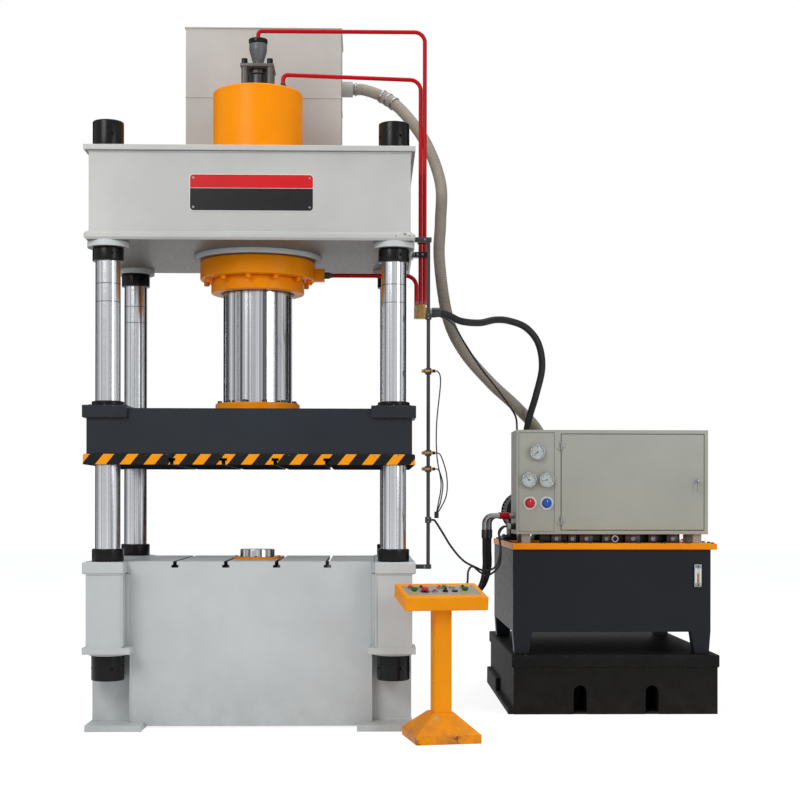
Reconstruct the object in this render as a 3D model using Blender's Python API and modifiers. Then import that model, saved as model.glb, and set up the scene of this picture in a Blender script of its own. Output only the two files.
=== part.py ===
# Four-column hydraulic press with overhead oil tank, power unit and control stand.
# Metres, +Z up. The press faces -Y, and the power unit stands on its right, towards +X.

import math

import bmesh
import bpy
from mathutils import Matrix, Vector

# Driving dimensions of the press frame
FIT = 0.0003
PRESS_WIDTH = 1.800
PRESS_DEPTH = 1.200
COLUMN_INSET_X = 0.115
COLUMN_INSET_Y = 0.120
COLUMN_X = PRESS_WIDTH / 2 - COLUMN_INSET_X
COLUMN_Y = PRESS_DEPTH / 2 - COLUMN_INSET_Y
COLUMN_DIAMETER = 0.138
BORE_PLAY = 0.0010
PAD_PROUD = 0.005

# Bed
TABLE_HEIGHT = 0.920
TABLE_PLATE_THICKNESS = 0.065
TABLE_PLATE_SETBACK = 0.140
BED_RAIL_WIDTH = 0.225
BED_RAIL_EDGE = 0.006
BED_PANEL_STEP = 0.016
BED_CLEARANCE = 0.012
PILLAR_INSET = 0.014
PILLAR_WIDTH = 0.196
PILLAR_SETBACK = 0.012
NUT_POCKET_DEPTH = 0.210
NUT_POCKET_TOP = 0.419
LOWER_PAD_THICKNESS = 0.036
LOWER_PAD_LAP = 0.020
LOWER_BOSS_DIAMETER = 0.206
LOWER_BOSS_THICKNESS = 0.012
FOOT_PLATE_THICKNESS = 0.035
FOOT_PLATE_WIDTH = 0.305
FOOT_PLATE_PROUD = 0.004
BED_PAD_OUTER_X = PRESS_WIDTH / 2 + PAD_PROUD
BED_PAD_INNER_X = BED_PAD_OUTER_X - BED_RAIL_WIDTH
PILLAR_OUTER_X = PRESS_WIDTH / 2 - PILLAR_INSET
PILLAR_INNER_X = PILLAR_OUTER_X - PILLAR_WIDTH
BODY_HALF_WIDTH = BED_PAD_INNER_X - BED_PANEL_STEP
BODY_HALF_DEPTH = PRESS_DEPTH / 2 - TABLE_PLATE_SETBACK
NUT_POCKET_Y = PRESS_DEPTH / 2 - NUT_POCKET_DEPTH

# Crown
CROWN_BOTTOM = 2.672
CROWN_HEIGHT = 0.514
CROWN_FLANGE_THICKNESS = 0.030
CROWN_FLANGE_CHAMFER = 0.012
CROWN_TOP_EDGE = 0.003
CROWN_WEB_INSET = 0.025
CROWN_BOSS_DIAMETER = 0.226
CROWN_BOSS_THICKNESS = 0.032
CROWN_TOP = CROWN_BOTTOM + CROWN_HEIGHT

# Column nuts and collars
NUT_DIAMETER = 0.170
NUT_CHAMFER = 0.008
TOP_NUT_HEIGHT = 0.146
COLUMN_END_DROP = 0.010
UNDER_CROWN_NUT_HEIGHT = 0.074
BED_COLLAR_DIAMETER = 0.173
BED_COLLAR_HEIGHT = 0.070
LOWER_NUT_DIAMETER = 0.180
LOWER_NUT_HEIGHT = 0.138
SPANNER_HOLE_DIAMETER = 0.018
SPANNER_HOLE_DEPTH = 0.012

# T-slots in the table and the slide platen
T_SLOT_PITCH = 0.280
T_SLOT_COUNT = 4
T_SLOT_NECK = 0.020
T_SLOT_TEE = 0.039
T_SLOT_DEPTH = 0.035
T_SLOT_TEE_HEIGHT = 0.015

# Slide
SLIDE_BOTTOM = 1.450
SLIDE_HEIGHT = 0.307
PLATEN_THICKNESS = 0.058
PLATEN_BEVEL = 0.016
SLIDE_BODY_INSET = 0.016
SLIDE_PAD_WIDTH = 0.245
SLIDE_PAD_DEPTH = 0.250
SLIDE_PAD_HEIGHT = 0.069
SLIDE_PAD_RISE = 0.016
SLIDE_PAD_OVERHANG = 0.006
SLIDE_PAD_EDGE = 0.004
GUIDE_BUSH_DIAMETER = 0.176
GUIDE_BUSH_RISE = 0.024
GUIDE_BUSH_SINK = 0.050
GUIDE_PLAY = 0.0010
SLIDE_TOP = SLIDE_BOTTOM + SLIDE_HEIGHT
SLIDE_PAD_OUTER_X = PRESS_WIDTH / 2 + PAD_PROUD
SLIDE_PAD_INNER_X = SLIDE_PAD_OUTER_X - SLIDE_PAD_WIDTH

# Main cylinder, gland and ram
CYLINDER_DIAMETER = 0.520
CYLINDER_BORE = 0.440
CYLINDER_RISE = 0.436
CYLINDER_HEAD_THICKNESS = 0.080
CYLINDER_HEAD_PORT = 0.090
CYLINDER_FLANGE_DIAMETER = 0.667
CYLINDER_FLANGE_HEIGHT = 0.108
CYLINDER_EDGE = 0.014
CYLINDER_FLANGE_EDGE = 0.006
PORT_BLOCK_WIDTH = 0.070
PORT_BLOCK_LENGTH = 0.055
GLAND_BOSS_DIAMETER = 0.741
GLAND_BOSS_THICKNESS = 0.030
GLAND_DIAMETER = 0.540
GLAND_HEIGHT = 0.077
GLAND_EDGE = 0.010
WIPER_WIDTH = 0.012
WIPER_DEPTH = 0.006
FLANGE_BOLT_COUNT = 24
FLANGE_BOLT_CIRCLE = 0.604
FLANGE_BOLT_DIAMETER = 0.036
FLANGE_BOLT_HEIGHT = 0.026
RAM_DIAMETER = 0.400
RAM_LENGTH = 1.303
PISTON_HEIGHT = 0.100
PISTON_EDGE = 0.006
PISTON_PLAY = 0.0010
CLAMP_RING_DIAMETER = 0.490
CLAMP_RING_HEIGHT = 0.060
CLAMP_RING_EDGE = 0.006
CLAMP_BOLT_COUNT = 12
CLAMP_BOLT_DIAMETER = 0.026
CLAMP_BOLT_HEIGHT = 0.014
CYLINDER_TOP = CROWN_TOP + CYLINDER_RISE
RAM_TOP = SLIDE_TOP + RAM_LENGTH

# Prefill valve on the cylinder head
VALVE_BODY_WIDTH = 0.186
VALVE_BODY_HEIGHT = 0.140
VALVE_WINDOW_WIDTH = 0.100
VALVE_WINDOW_DEPTH = 0.030
VALVE_WINDOW_MARGIN = 0.012
VALVE_PLATE_WIDTH = 0.194
VALVE_PLATE_THICKNESS = 0.018
VALVE_CONE_HEIGHT = 0.157
VALVE_CONE_FOOT = 0.118
VALVE_CONE_TOP = 0.064
VALVE_CAP_DIAMETER = 0.112
VALVE_CAP_HEIGHT = 0.033
VALVE_BOLT_SPACING = 0.146
VALVE_BOLT_DIAMETER = 0.034
VALVE_BOLT_HEIGHT = 0.030

# Overhead oil tank
OVERHEAD_WIDTH = 0.951
OVERHEAD_DEPTH = 0.450
OVERHEAD_HEIGHT = 0.973
OVERHEAD_SETBACK = 0.150
OVERHEAD_SHIFT_X = -0.001
OVERHEAD_LID_THICKNESS = 0.006
OVERHEAD_LID_OVERHANG = 0.006
OVERHEAD_BRACKET_HEIGHT = 0.240
OVERHEAD_BRACKET_INSET = 0.100
OVERHEAD_BRACKET_THICKNESS = 0.020
OVERHEAD_BRACKET_TOE = 0.050
RETURN_PORT_RISE = 0.654
RETURN_PORT_SETBACK = 0.200
RETURN_PORT_LENGTH = 0.070
RETURN_PORT_DIAMETER = 0.095
OVERHEAD_FRONT_Y = PRESS_DEPTH / 2 - OVERHEAD_SETBACK
OVERHEAD_TOP = CROWN_TOP + OVERHEAD_HEIGHT
RETURN_PORT_Z = CROWN_TOP + RETURN_PORT_RISE

# Pressure pipes, their union and their bracket
PIPE_DIAMETER = 0.018
PIPE_BEND_RADIUS = 0.060
PIPE_TIGHT_BEND = 0.024
PIPE_RISER_STANDOFF = 0.060
PIPE_RISER_SPACING = 0.022
PREFILL_PIPE_RISE = 0.028
CYLINDER_PORT_X = 0.150
CYLINDER_PORT_Y = -0.090
CYLINDER_PIPE_RISE = 0.093
GLAND_PIPE_Z = 2.570
GLAND_PIPE_SETBACK = 0.036
UNION_TOP = 2.400
UNION_HEIGHT = 0.080
UNION_WIDTH = 0.060
UNION_LENGTH = 0.066
UNION_SETBACK = 0.015
UNION_EDGE = 0.005
UNION_NOSE_DIAMETER = 0.046
UNION_NOSE_LENGTH = 0.038
PIPE_BRACKET_WIDTH = 0.120
PIPE_BRACKET_HEIGHT = 0.040
PIPE_BRACKET_THICKNESS = 0.006
PIPE_CLAMP_WIDTH = 0.048
PIPE_CLAMP_MARGIN = 0.020
PIPE_RISER_X = PRESS_WIDTH / 2 + PIPE_RISER_STANDOFF
PIPE_INNER_X = PIPE_RISER_X - PIPE_RISER_SPACING / 2
PIPE_OUTER_X = PIPE_RISER_X + PIPE_RISER_SPACING / 2
UNION_CENTRE_X = PIPE_RISER_X - UNION_SETBACK

# Limit sensor rod beside the right front column
SENSOR_ROD_STANDOFF = 0.075
SENSOR_ROD_SETBACK = 0.100
SENSOR_ROD_DIAMETER = 0.020
SENSOR_ROD_DROP = 0.040
SENSOR_ROD_RISE = 0.028
SENSOR_OFFSETS = (0.518, 0.068, -0.020)
SENSOR_LENGTH = 0.075
SENSOR_DIAMETER = 0.018
SENSOR_CLAMP = 0.034
SENSOR_SINK = 0.004
UPPER_CLIP_DROP = 0.402
LOWER_CLIP_RISE = 0.230
ROD_BRACKET_THICKNESS = 0.024
ROD_BRACKET_INSET = 0.018
SENSOR_ROD_X = PRESS_WIDTH / 2 + SENSOR_ROD_STANDOFF
SENSOR_ROD_Y = -PRESS_DEPTH / 2 + SENSOR_ROD_SETBACK
SENSOR_HEIGHTS = [SLIDE_BOTTOM + offset for offset in SENSOR_OFFSETS]
CABLE_CLIP_HEIGHTS = (CROWN_BOTTOM - UPPER_CLIP_DROP, TABLE_HEIGHT + LOWER_CLIP_RISE)

# Ejector in the bed
EJECTOR_ROD_DIAMETER = 0.200
EJECTOR_RAISED = 0.055
EJECTOR_ROD_LENGTH = 0.655
EJECTOR_ROD_EDGE = 0.004
EJECTOR_RING_DIAMETER = 0.285
EJECTOR_RING_HEIGHT = 0.012
EJECTOR_RING_EDGE = 0.003
EJECTOR_RING_DEPTH = 0.045
EJECTOR_CYLINDER_DIAMETER = 0.260
EJECTOR_CYLINDER_BOTTOM = 0.120
EJECTOR_CYLINDER_HEAD = 0.040
EJECTOR_PORT_DIAMETER = 0.040
EJECTOR_TUBE_BORE = 0.202

# Plinth and oil tank of the power unit
UNIT_GAP = 1.204
UNIT_Y = 0.030
PLINTH_WIDTH = 1.206
PLINTH_DEPTH = 1.640
PLINTH_HEIGHT = 0.350
PLINTH_TOP_THICKNESS = 0.074
PLINTH_TOP_OVERHANG = 0.010
PLINTH_TOP_EDGE = 0.006
PLINTH_SLOT_WIDTH = 0.078
PLINTH_SLOT_HEIGHT = 0.170
PLINTH_SLOT_DEPTH = 0.270
PLINTH_SLOTS_X = (-0.210, 0.215)
PLINTH_LUG_HEIGHT = 0.110
PLINTH_LUG_PROUD = 0.030
PLINTH_LUG_SETBACK = 0.900
PLINTH_LUG_END = 0.050
PLINTH_FLANGE_HEIGHT = 0.030
TANK_WIDTH = 1.174
TANK_DEPTH = 1.300
TANK_SHIFT_X = -0.015
TANK_FRONT_INSET = 0.060
TANK_BOTTOM = 0.481
TANK_TOP = 0.969
TANK_SHEET = 0.006
TANK_LEG_WIDTH = 0.115
TANK_LEG_FOOT = 0.085
TANK_LEG_TAPER = 0.010
TANK_LEG_DEPTH = 0.090
LID_WIDTH = 1.212
LID_OVERHANG = 0.020
LID_THICKNESS = 0.036
LID_EDGE = 0.003
FILLER_DIAMETER = 0.090
FILLER_HEIGHT = 0.065
FILLER_SPOT = (0.400, 0.200)
LEVEL_GAUGE_SIZE = (0.040, 0.018, 0.134)
LEVEL_GAUGE_X = 0.494
LEVEL_GAUGE_Z = 0.815
LEVEL_GAUGE_EDGE = 0.003
LEVEL_GLASS_DIAMETER = 0.016
LEVEL_GLASS_SHARE = 0.7
UNIT_X = PRESS_WIDTH / 2 + UNIT_GAP
LID_TOP = TANK_TOP + FIT + LID_THICKNESS

# Valve cabinet of the power unit
CABINET_WIDTH = 1.149
CABINET_DEPTH = 0.330
CABINET_BOTTOM = 1.058
CABINET_TOP = 1.681
CABINET_SETBACK = 0.080
CABINET_SHEET = 0.003
CABINET_FRAME = 0.022
CABINET_FOOT_WIDTH = 0.050
CABINET_FOOT_INSET = 0.060
CABINET_FOOT_SETBACK = 0.045
GAUGE_PANEL_WIDTH = 0.216
GAUGE_PANEL_MARGIN = 0.012
GAUGE_PANEL_BORDER = 0.014
GAUGE_PANEL_RECESS = 0.0015
DOOR_POST = 0.049
DOOR_PLAY = 0.004
DOOR_PROUD = 0.002
DOOR_SHEET = 0.003
DOOR_RIM = 0.016
DOOR_RIM_INSET = (0.030, 0.020)
DOOR_RIM_WALL = 0.004
HINGE_BARREL_DIAMETER = 0.012
HINGE_BARREL_LENGTH = 0.032
HINGE_LEAF_WIDTH = 0.020
HINGE_LEAF_MARGIN = 0.001
FIXED_KNUCKLE_LENGTH = 0.016
HINGE_AXIS_PROUD = 0.008
HINGE_AXIS_INSET = 0.003
HINGE_FROM_EDGE = 0.062
LOCK_DIAMETER = 0.030
LOCK_BARREL_DIAMETER = 0.024
LOCK_BARREL_LENGTH = 0.030
LOCK_FACE_THICKNESS = 0.006
LOCK_FROM_EDGE = 0.045
LOCK_RISE = 0.005
LOCK_KEY_SIZE = (0.003, 0.036, 0.024)
LOCK_CAM_REACH = 0.016
LOCK_CAM_WIDTH = 0.016
LOCK_CAM_THICKNESS = 0.004
CABINET_FRONT = TANK_FRONT_INSET + CABINET_SETBACK

# Gauges, knobs, motor and valve block of the power unit
GAUGE_DIAMETER = 0.092
GAUGE_DEPTH = 0.030
GAUGE_BEZEL = 0.008
GAUGE_LIP = 0.004
GAUGE_SPOTS = ((0.0025, -0.134), (-0.0465, -0.299), (0.0595, -0.299))
KNOB_DIAMETER = 0.058
KNOB_HEIGHT = 0.034
KNOB_SPOTS = ((-0.0390, -0.4374), (0.0618, -0.4374))
PUMP_MOTOR_DIAMETER = 0.270
PUMP_MOTOR_LENGTH = 0.420
PUMP_MOTOR_X = -0.444
PUMP_MOTOR_Y = 0.930
PUMP_MOTOR_FOOT = 0.045
PUMP_SIZE = (0.140, 0.180, 0.140)
MOTOR_BELL_DIAMETER = 0.200
MOTOR_BELL_LENGTH = 0.090
MOTOR_BOX_SIZE = (0.120, 0.140, 0.060)
MOTOR_RIB_COUNT = 12
MOTOR_RIB_SIZE = (0.022, 0.360, 0.008)
MANIFOLD_SIZE = (0.380, 0.140, 0.160)
MANIFOLD_SETBACK = 0.185
SOLENOID_SPACING = 0.200
SOLENOID_BODY = (0.070, 0.100, 0.080)
SOLENOID_COIL = (0.055, 0.220)

# Control stand
STAND_GAP = 0.130
STAND_Y = -0.850
STAND_TURN = math.radians(10)
BASE_WIDTH = 0.344
BASE_DEPTH = 0.380
BASE_BAND = 0.045
BASE_RISE = 0.100
BASE_TOP_SHARE = 0.34
POST_WIDTH = 0.095
POST_EDGE = 0.006
CONSOLE_WIDTH = 0.442
CONSOLE_DEPTH = 0.300
CONSOLE_THICKNESS = 0.072
CONSOLE_EDGE = 0.004
CONSOLE_TILT = math.radians(11)
CONSOLE_TOP_Z = 0.783
PANEL_DEPTH = 0.190
PANEL_WIDTH = 0.388
PANEL_RECESS = 0.002
CONSOLE_GLAND_X = 0.120
CONSOLE_GLAND_Z = -0.045
CONSOLE_GLAND_LENGTH = 0.025
CONSOLE_GLAND_DIAMETER = 0.024
STAND_X = PRESS_WIDTH / 2 + STAND_GAP

# Controls on the console, each as (x, y, kind)
BUTTON_TRAVEL = 0.005
STEM_DIAMETER = 0.016
STEM_LENGTH = 0.032
COLLAR_DIAMETER = {"mushroom": 0.046, "push": 0.030, "selector": 0.030}
CONTROL_SEAT = 0.005
LAMP_DIAMETER = 0.026
LAMP_TOP_DIAMETER = 0.022
LAMP_HEIGHT = 0.018
LAMP_SPOTS = ((-0.156, 0.050), (0.028, 0.050))
CONTROLS = {
    "button_black_left": (-0.098, 0.050, "push"),
    "button_orange": (0.000, 0.050, "push"),
    "button_yellow": (0.070, 0.050, "push"),
    "button_black_right": (0.128, 0.050, "push"),
    "mushroom_green_left": (-0.150, -0.028, "mushroom"),
    "mushroom_red": (-0.094, -0.028, "mushroom"),
    "button_pink": (-0.042, -0.028, "push"),
    "selector_switch": (0.016, -0.028, "selector"),
    "mushroom_green_right": (0.122, -0.028, "mushroom"),
}
CONTROL_MATERIAL = {
    "button_black_left": "button_black", "button_orange": "knob_red", "button_yellow": "stand_yellow",
    "button_black_right": "button_black", "mushroom_green_left": "button_green", "mushroom_red": "knob_red",
    "button_pink": "knob_red", "selector_switch": "button_black", "mushroom_green_right": "button_green",
}

# Fittings that the hoses and cables end in
PRESSURE_FITTING = (-0.489, 0.520)
RETURN_FITTING = (-0.304, 0.620)
HOSE_FITTING_HEIGHT = 0.070
HOSE_FITTING_WALL = 0.008
CONNECTOR_LENGTH = 0.048
CONNECTOR_DIAMETER = 0.036
CONNECTOR_SETBACK = (0.060, 0.110)
CONNECTOR_Z = 1.103
GLAND_LENGTH = 0.030
GLAND_FITTING_DIAMETER = 0.026
GLAND_FITTING_INSET = 0.045
GLAND_FITTING_DROP = 0.050
BED_PORTS_Y = (0.300, 0.400)
BED_PORT_Z = 0.660
BED_PORT_LENGTH = 0.050
BED_PORT_DIAMETER = 0.044
ELBOW_REACH = (0.1795, 0.1445)
ELBOW_HIGH_Z = 1.167
ELBOW_LOW_Z = 1.070
ELBOW_DIAMETER = 0.032
ELBOW_BEND = 0.050
PRESSURE_HOSE = 0.042
RETURN_HOSE = 0.072
EJECTOR_HOSE = 0.030
SIGNAL_CABLE = 0.012
BRANCH_CABLE = 0.007
JUNCTION_SIZE = (0.024, 0.024, 0.036)
JUNCTION_SPOT = (1.020, 1.178)

# World place of the press, which puts the whole machine's box over the origin
WORLD_SHIFT = Vector((-0.9075, -0.3150, 0.0))

# Joined and cut shapes reach past their face by this much
LAP = 0.005

ROUND = 24
BIG_ROUND = 36
COLUMN_ROUND = 20
SMALL_ROUND = 12

COLOURS = {
    "light_grey_paint": ((0.56, 0.57, 0.57), 0.45, 0.0),
    "slate_paint": ((0.035, 0.040, 0.050), 0.45, 0.0),
    "gloss_black": ((0.010, 0.010, 0.011), 0.15, 0.0),
    "hard_chrome": ((0.72, 0.72, 0.73), 0.12, 1.0),
    "machined_steel": ((0.50, 0.50, 0.50), 0.35, 1.0),
    "orange_paint": ((0.90, 0.28, 0.01), 0.35, 0.0),
    "red_paint": ((0.50, 0.01, 0.015), 0.35, 0.0),
    "cabinet_grey": ((0.38, 0.39, 0.35), 0.45, 0.0),
    "cast_iron": ((0.018, 0.016, 0.015), 0.65, 0.3),
    "stand_yellow": ((0.85, 0.32, 0.01), 0.40, 0.0),
    "brass": ((0.65, 0.45, 0.18), 0.30, 1.0),
    "black_rubber": ((0.012, 0.012, 0.012), 0.60, 0.0),
    "grey_hose": ((0.30, 0.28, 0.25), 0.60, 0.0),
    "dial_white": ((0.80, 0.80, 0.80), 0.30, 0.0),
    "knob_red": ((0.60, 0.02, 0.02), 0.35, 0.0),
    "knob_blue": ((0.02, 0.12, 0.45), 0.35, 0.0),
    "button_green": ((0.01, 0.16, 0.06), 0.35, 0.0),
    "button_black": ((0.012, 0.012, 0.012), 0.35, 0.0),
}


# Scene set-up


def clear_scene():
    for obj in list(bpy.data.objects):
        bpy.data.objects.remove(obj, do_unlink=True)
    for name in ("hydraulic_press", "cutters_and_joined_shapes"):
        old = bpy.data.collections.get(name)
        if old:
            bpy.data.collections.remove(old)


def new_collection(name):
    collection = bpy.data.collections.new(name)
    bpy.context.scene.collection.children.link(collection)
    return collection


def make_material(name):
    colour, roughness, metallic = COLOURS[name]
    material = bpy.data.materials.get(name) or bpy.data.materials.new(name)
    material.use_nodes = True
    shader = material.node_tree.nodes["Principled BSDF"]
    shader.inputs["Base Color"].default_value = (*colour, 1.0)
    shader.inputs["Roughness"].default_value = roughness
    shader.inputs["Metallic"].default_value = metallic
    return material


clear_scene()
PARTS = new_collection("hydraulic_press")
HELPERS = new_collection("cutters_and_joined_shapes")


# Shape makers


def place(obj, parent, location=(0, 0, 0), rotation=(0, 0, 0)):
    obj.parent = parent
    obj.location = location
    obj.rotation_euler = rotation
    return obj


def object_from_bmesh(name, bm):
    mesh = bpy.data.meshes.new(name)
    bm.to_mesh(mesh)
    bm.free()
    obj = bpy.data.objects.new(name, mesh)
    HELPERS.objects.link(obj)
    return obj


def box(name, low, high, parent):
    bm = bmesh.new()
    bmesh.ops.create_cube(bm, size=1.0)
    size = Vector(high) - Vector(low)
    bmesh.ops.scale(bm, vec=size, verts=bm.verts)
    obj = object_from_bmesh(name, bm)
    return place(obj, parent, (Vector(high) + Vector(low)) / 2)


AXIS_TURN = {"Z": (0, 0, 0), "X": (0, math.pi / 2, 0), "Y": (math.pi / 2, 0, 0)}


def cylinder(name, diameter, length, centre, parent, axis="Z", top=None, sides=ROUND):
    bm = bmesh.new()
    top_diameter = diameter if top is None else top
    bmesh.ops.create_cone(
        bm, cap_ends=True, segments=sides, radius1=diameter / 2, radius2=top_diameter / 2, depth=length
    )
    obj = object_from_bmesh(name, bm)
    shade_round(obj)
    return place(obj, parent, centre, AXIS_TURN[axis])


def turned(name, profile, parent, location=(0, 0, 0), steps=ROUND):
    """profile: (radius, height) pairs down the outer side and back up the axis or bore."""
    bm = bmesh.new()
    verts = [bm.verts.new((radius, 0.0, height)) for radius, height in profile]
    for first, second in zip(verts, verts[1:]):
        bm.edges.new((first, second))
    if profile[0][0] > 0 and profile[-1][0] > 0:
        bm.edges.new((verts[-1], verts[0]))
    obj = object_from_bmesh(name, bm)
    screw = obj.modifiers.new("Turn", "SCREW")
    screw.axis = "Z"
    screw.steps = steps
    screw.render_steps = steps
    screw.use_merge_vertices = True
    screw.merge_threshold = 0.00005
    screw.use_smooth_shade = False
    return place(obj, parent, location)


def plate(name, outline, thickness, parent, location=(0, 0, 0), rotation=(0, 0, 0)):
    """A flat outline in its own XY plane, made thick along its own Z."""
    curve = bpy.data.curves.new(name, "CURVE")
    curve.dimensions = "2D"
    curve.fill_mode = "BOTH"
    curve.extrude = thickness / 2
    curve.resolution_u = 1
    spline = curve.splines.new("POLY")
    spline.points.add(len(outline) - 1)
    for point, (x, y) in zip(spline.points, outline):
        point.co = (x, y, 0.0, 1.0)
    spline.use_cyclic_u = True
    flat = bpy.data.objects.new(name, curve)
    HELPERS.objects.link(flat)
    place(flat, parent, location, rotation)
    return curve_to_mesh(flat)


def curve_to_mesh(source):
    bpy.context.view_layer.update()
    evaluated = source.evaluated_get(bpy.context.evaluated_depsgraph_get())
    mesh = bpy.data.meshes.new_from_object(evaluated)
    bm = bmesh.new()
    bm.from_mesh(mesh)
    bmesh.ops.remove_doubles(bm, verts=bm.verts, dist=0.00001)
    bmesh.ops.recalc_face_normals(bm, faces=bm.faces)
    bm.to_mesh(mesh)
    bm.free()
    name = source.name
    parent, location, rotation = source.parent, source.location.copy(), source.rotation_euler.copy()
    bpy.data.objects.remove(source)
    obj = bpy.data.objects.new(name, mesh)
    HELPERS.objects.link(obj)
    return place(obj, parent, location, rotation)


def tube(name, points, diameter, parent, resolution=3):
    curve = bpy.data.curves.new(name, "CURVE")
    curve.dimensions = "3D"
    curve.bevel_depth = diameter / 2
    curve.bevel_resolution = resolution
    curve.use_fill_caps = True
    curve.resolution_u = 1
    spline = curve.splines.new("POLY")
    spline.points.add(len(points) - 1)
    for point, place_at in zip(spline.points, points):
        point.co = (*place_at, 1.0)
    obj = bpy.data.objects.new(name, curve)
    HELPERS.objects.link(obj)
    return place(obj, parent)


def bent_route(corners, radius, steps=6):
    """Straight runs between the corners, each corner rounded by an arc of the bend radius."""
    corners = [Vector(corner) for corner in corners]
    points = [corners[0]]
    for before, corner, after in zip(corners, corners[1:], corners[2:]):
        towards = (before - corner).normalized()
        away = (after - corner).normalized()
        half = towards.angle(away) / 2
        reach = radius / math.tan(half)
        centre = corner + (towards + away).normalized() * (radius / math.sin(half))
        start = corner + towards * reach - centre
        stop = corner + away * reach - centre
        for step in range(steps + 1):
            points.append(centre + start.lerp(stop, step / steps).normalized() * radius)
    points.append(corners[-1])
    return points


def smooth_route(guides, spacing):
    """A Catmull-Rom curve through the guide points, read at even steps, with straight ends."""
    guides = [Vector(guide) for guide in guides]
    fine = []
    for a, b, c, d in zip(guides, guides[1:], guides[2:], guides[3:]):
        for step in range(24):
            t = step / 24
            fine.append(
                0.5 * (2 * b + (c - a) * t + (2 * a - 5 * b + 4 * c - d) * t**2 + (3 * b - a - 3 * c + d) * t**3)
            )
    fine.append(guides[-2])
    lengths = [0.0]
    for first, second in zip(fine, fine[1:]):
        lengths.append(lengths[-1] + (second - first).length)
    count = max(4, round(lengths[-1] / spacing))
    points, at = [], 0
    for index in range(count + 1):
        target = lengths[-1] * index / count
        while at < len(fine) - 2 and lengths[at + 1] < target:
            at += 1
        share = (target - lengths[at]) / max(lengths[at + 1] - lengths[at], 1e-9)
        points.append(fine[at].lerp(fine[at + 1], min(share, 1.0)))
    return [guides[0], *points, guides[-1]]


def shade_round(obj):
    obj.data.shade_smooth()
    obj.data.set_sharp_from_angle(angle=math.radians(40))


def boolean(target, operation, helpers):
    for helper in helpers:
        modifier = target.modifiers.new(operation.title(), "BOOLEAN")
        modifier.operation = operation
        modifier.solver = "EXACT"
        modifier.object = helper
        helper.hide_render = True
        helper.display_type = "WIRE"
    return target


def join(target, *helpers):
    return boolean(target, "UNION", helpers)


def cut(target, *helpers):
    return boolean(target, "DIFFERENCE", helpers)


def bevel(target, width, segments=1):
    modifier = target.modifiers.new("Edge", "BEVEL")
    modifier.width = width
    modifier.segments = segments
    modifier.limit_method = "ANGLE"
    modifier.angle_limit = math.radians(50)
    return target


def part(obj, material):
    """Makes an object one of the machine's own pieces."""
    HELPERS.objects.unlink(obj)
    PARTS.objects.link(obj)
    obj.data.materials.append(make_material(material))
    return obj


def empty(name, location, parent=None, rotation=(0, 0, 0)):
    obj = bpy.data.objects.new(name, None)
    PARTS.objects.link(obj)
    return place(obj, parent, location, rotation)


# Corners and slots that repeat


CORNERS = {"front_left": (-1, -1), "front_right": (1, -1), "rear_left": (-1, 1), "rear_right": (1, 1)}


def slot_centres():
    return [(index - (T_SLOT_COUNT - 1) / 2) * T_SLOT_PITCH for index in range(T_SLOT_COUNT)]


def t_slot_outline(up):
    """The cross-section of a T-slot, open at the top or the bottom of its plate, from height 0."""
    neck, tee, over = T_SLOT_NECK / 2, T_SLOT_TEE / 2, 2 * LAP
    lip = T_SLOT_DEPTH - T_SLOT_TEE_HEIGHT
    right = [(neck, over), (neck, -lip), (tee, -lip), (tee, -T_SLOT_DEPTH)]
    outline = right + [(-x, z) for x, z in reversed(right)]
    return [(x, z if up else -z) for x, z in outline]


def t_slot_cutters(name, face_z, half_depth, up, parent):
    """Slots run from front to rear, past both faces."""
    return [
        plate(f"{name}_{index}", t_slot_outline(up), 2 * half_depth + 4 * LAP, parent, (x, 0, face_z),
              AXIS_TURN["Y"])
        for index, x in enumerate(slot_centres())
    ]


def column_bores(name, diameter, low, high, parent):
    return [
        cylinder(f"{name}_{corner}", diameter, high - low + 4 * LAP,
                 (sx * COLUMN_X, sy * COLUMN_Y, (low + high) / 2), parent, sides=COLUMN_ROUND)
        for corner, (sx, sy) in CORNERS.items()
    ]


def mirrored_box(name, signs, x_range, y_range, z_range, parent):
    """A box given for the rear right corner and mirrored to the corner with these signs."""
    xs, ys = sorted(signs[0] * x for x in x_range), sorted(signs[1] * y for y in y_range)
    return box(name, (xs[0], ys[0], z_range[0]), (xs[1], ys[1], z_range[1]), parent)


# Bed


def bed_corner(corner, parent):
    """One pillar with its lower pad and the boss that seats the lower nut."""
    signs = CORNERS[corner]
    under_plate = TABLE_HEIGHT - TABLE_PLATE_THICKNESS
    lower_top = NUT_POCKET_TOP + LOWER_PAD_THICKNESS
    inner_y = NUT_POCKET_Y - LAP
    pillar = mirrored_box(f"bed_pillar_{corner}", signs, (PILLAR_INNER_X, PILLAR_OUTER_X),
                          (inner_y, PRESS_DEPTH / 2 - PILLAR_SETBACK),
                          (lower_top - LAP, under_plate + LAP), parent)
    pad = mirrored_box(f"bed_lower_pad_{corner}", signs, (BODY_HALF_WIDTH - LOWER_PAD_LAP, BED_PAD_OUTER_X),
                       (inner_y, PRESS_DEPTH / 2), (NUT_POCKET_TOP, lower_top), parent)
    boss = cylinder(f"bed_boss_{corner}", LOWER_BOSS_DIAMETER, LOWER_BOSS_THICKNESS + LAP,
                    (signs[0] * COLUMN_X, signs[1] * COLUMN_Y,
                     NUT_POCKET_TOP - LOWER_BOSS_THICKNESS / 2 + LAP / 2),
                    parent)
    return [pillar, pad, boss]


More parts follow.
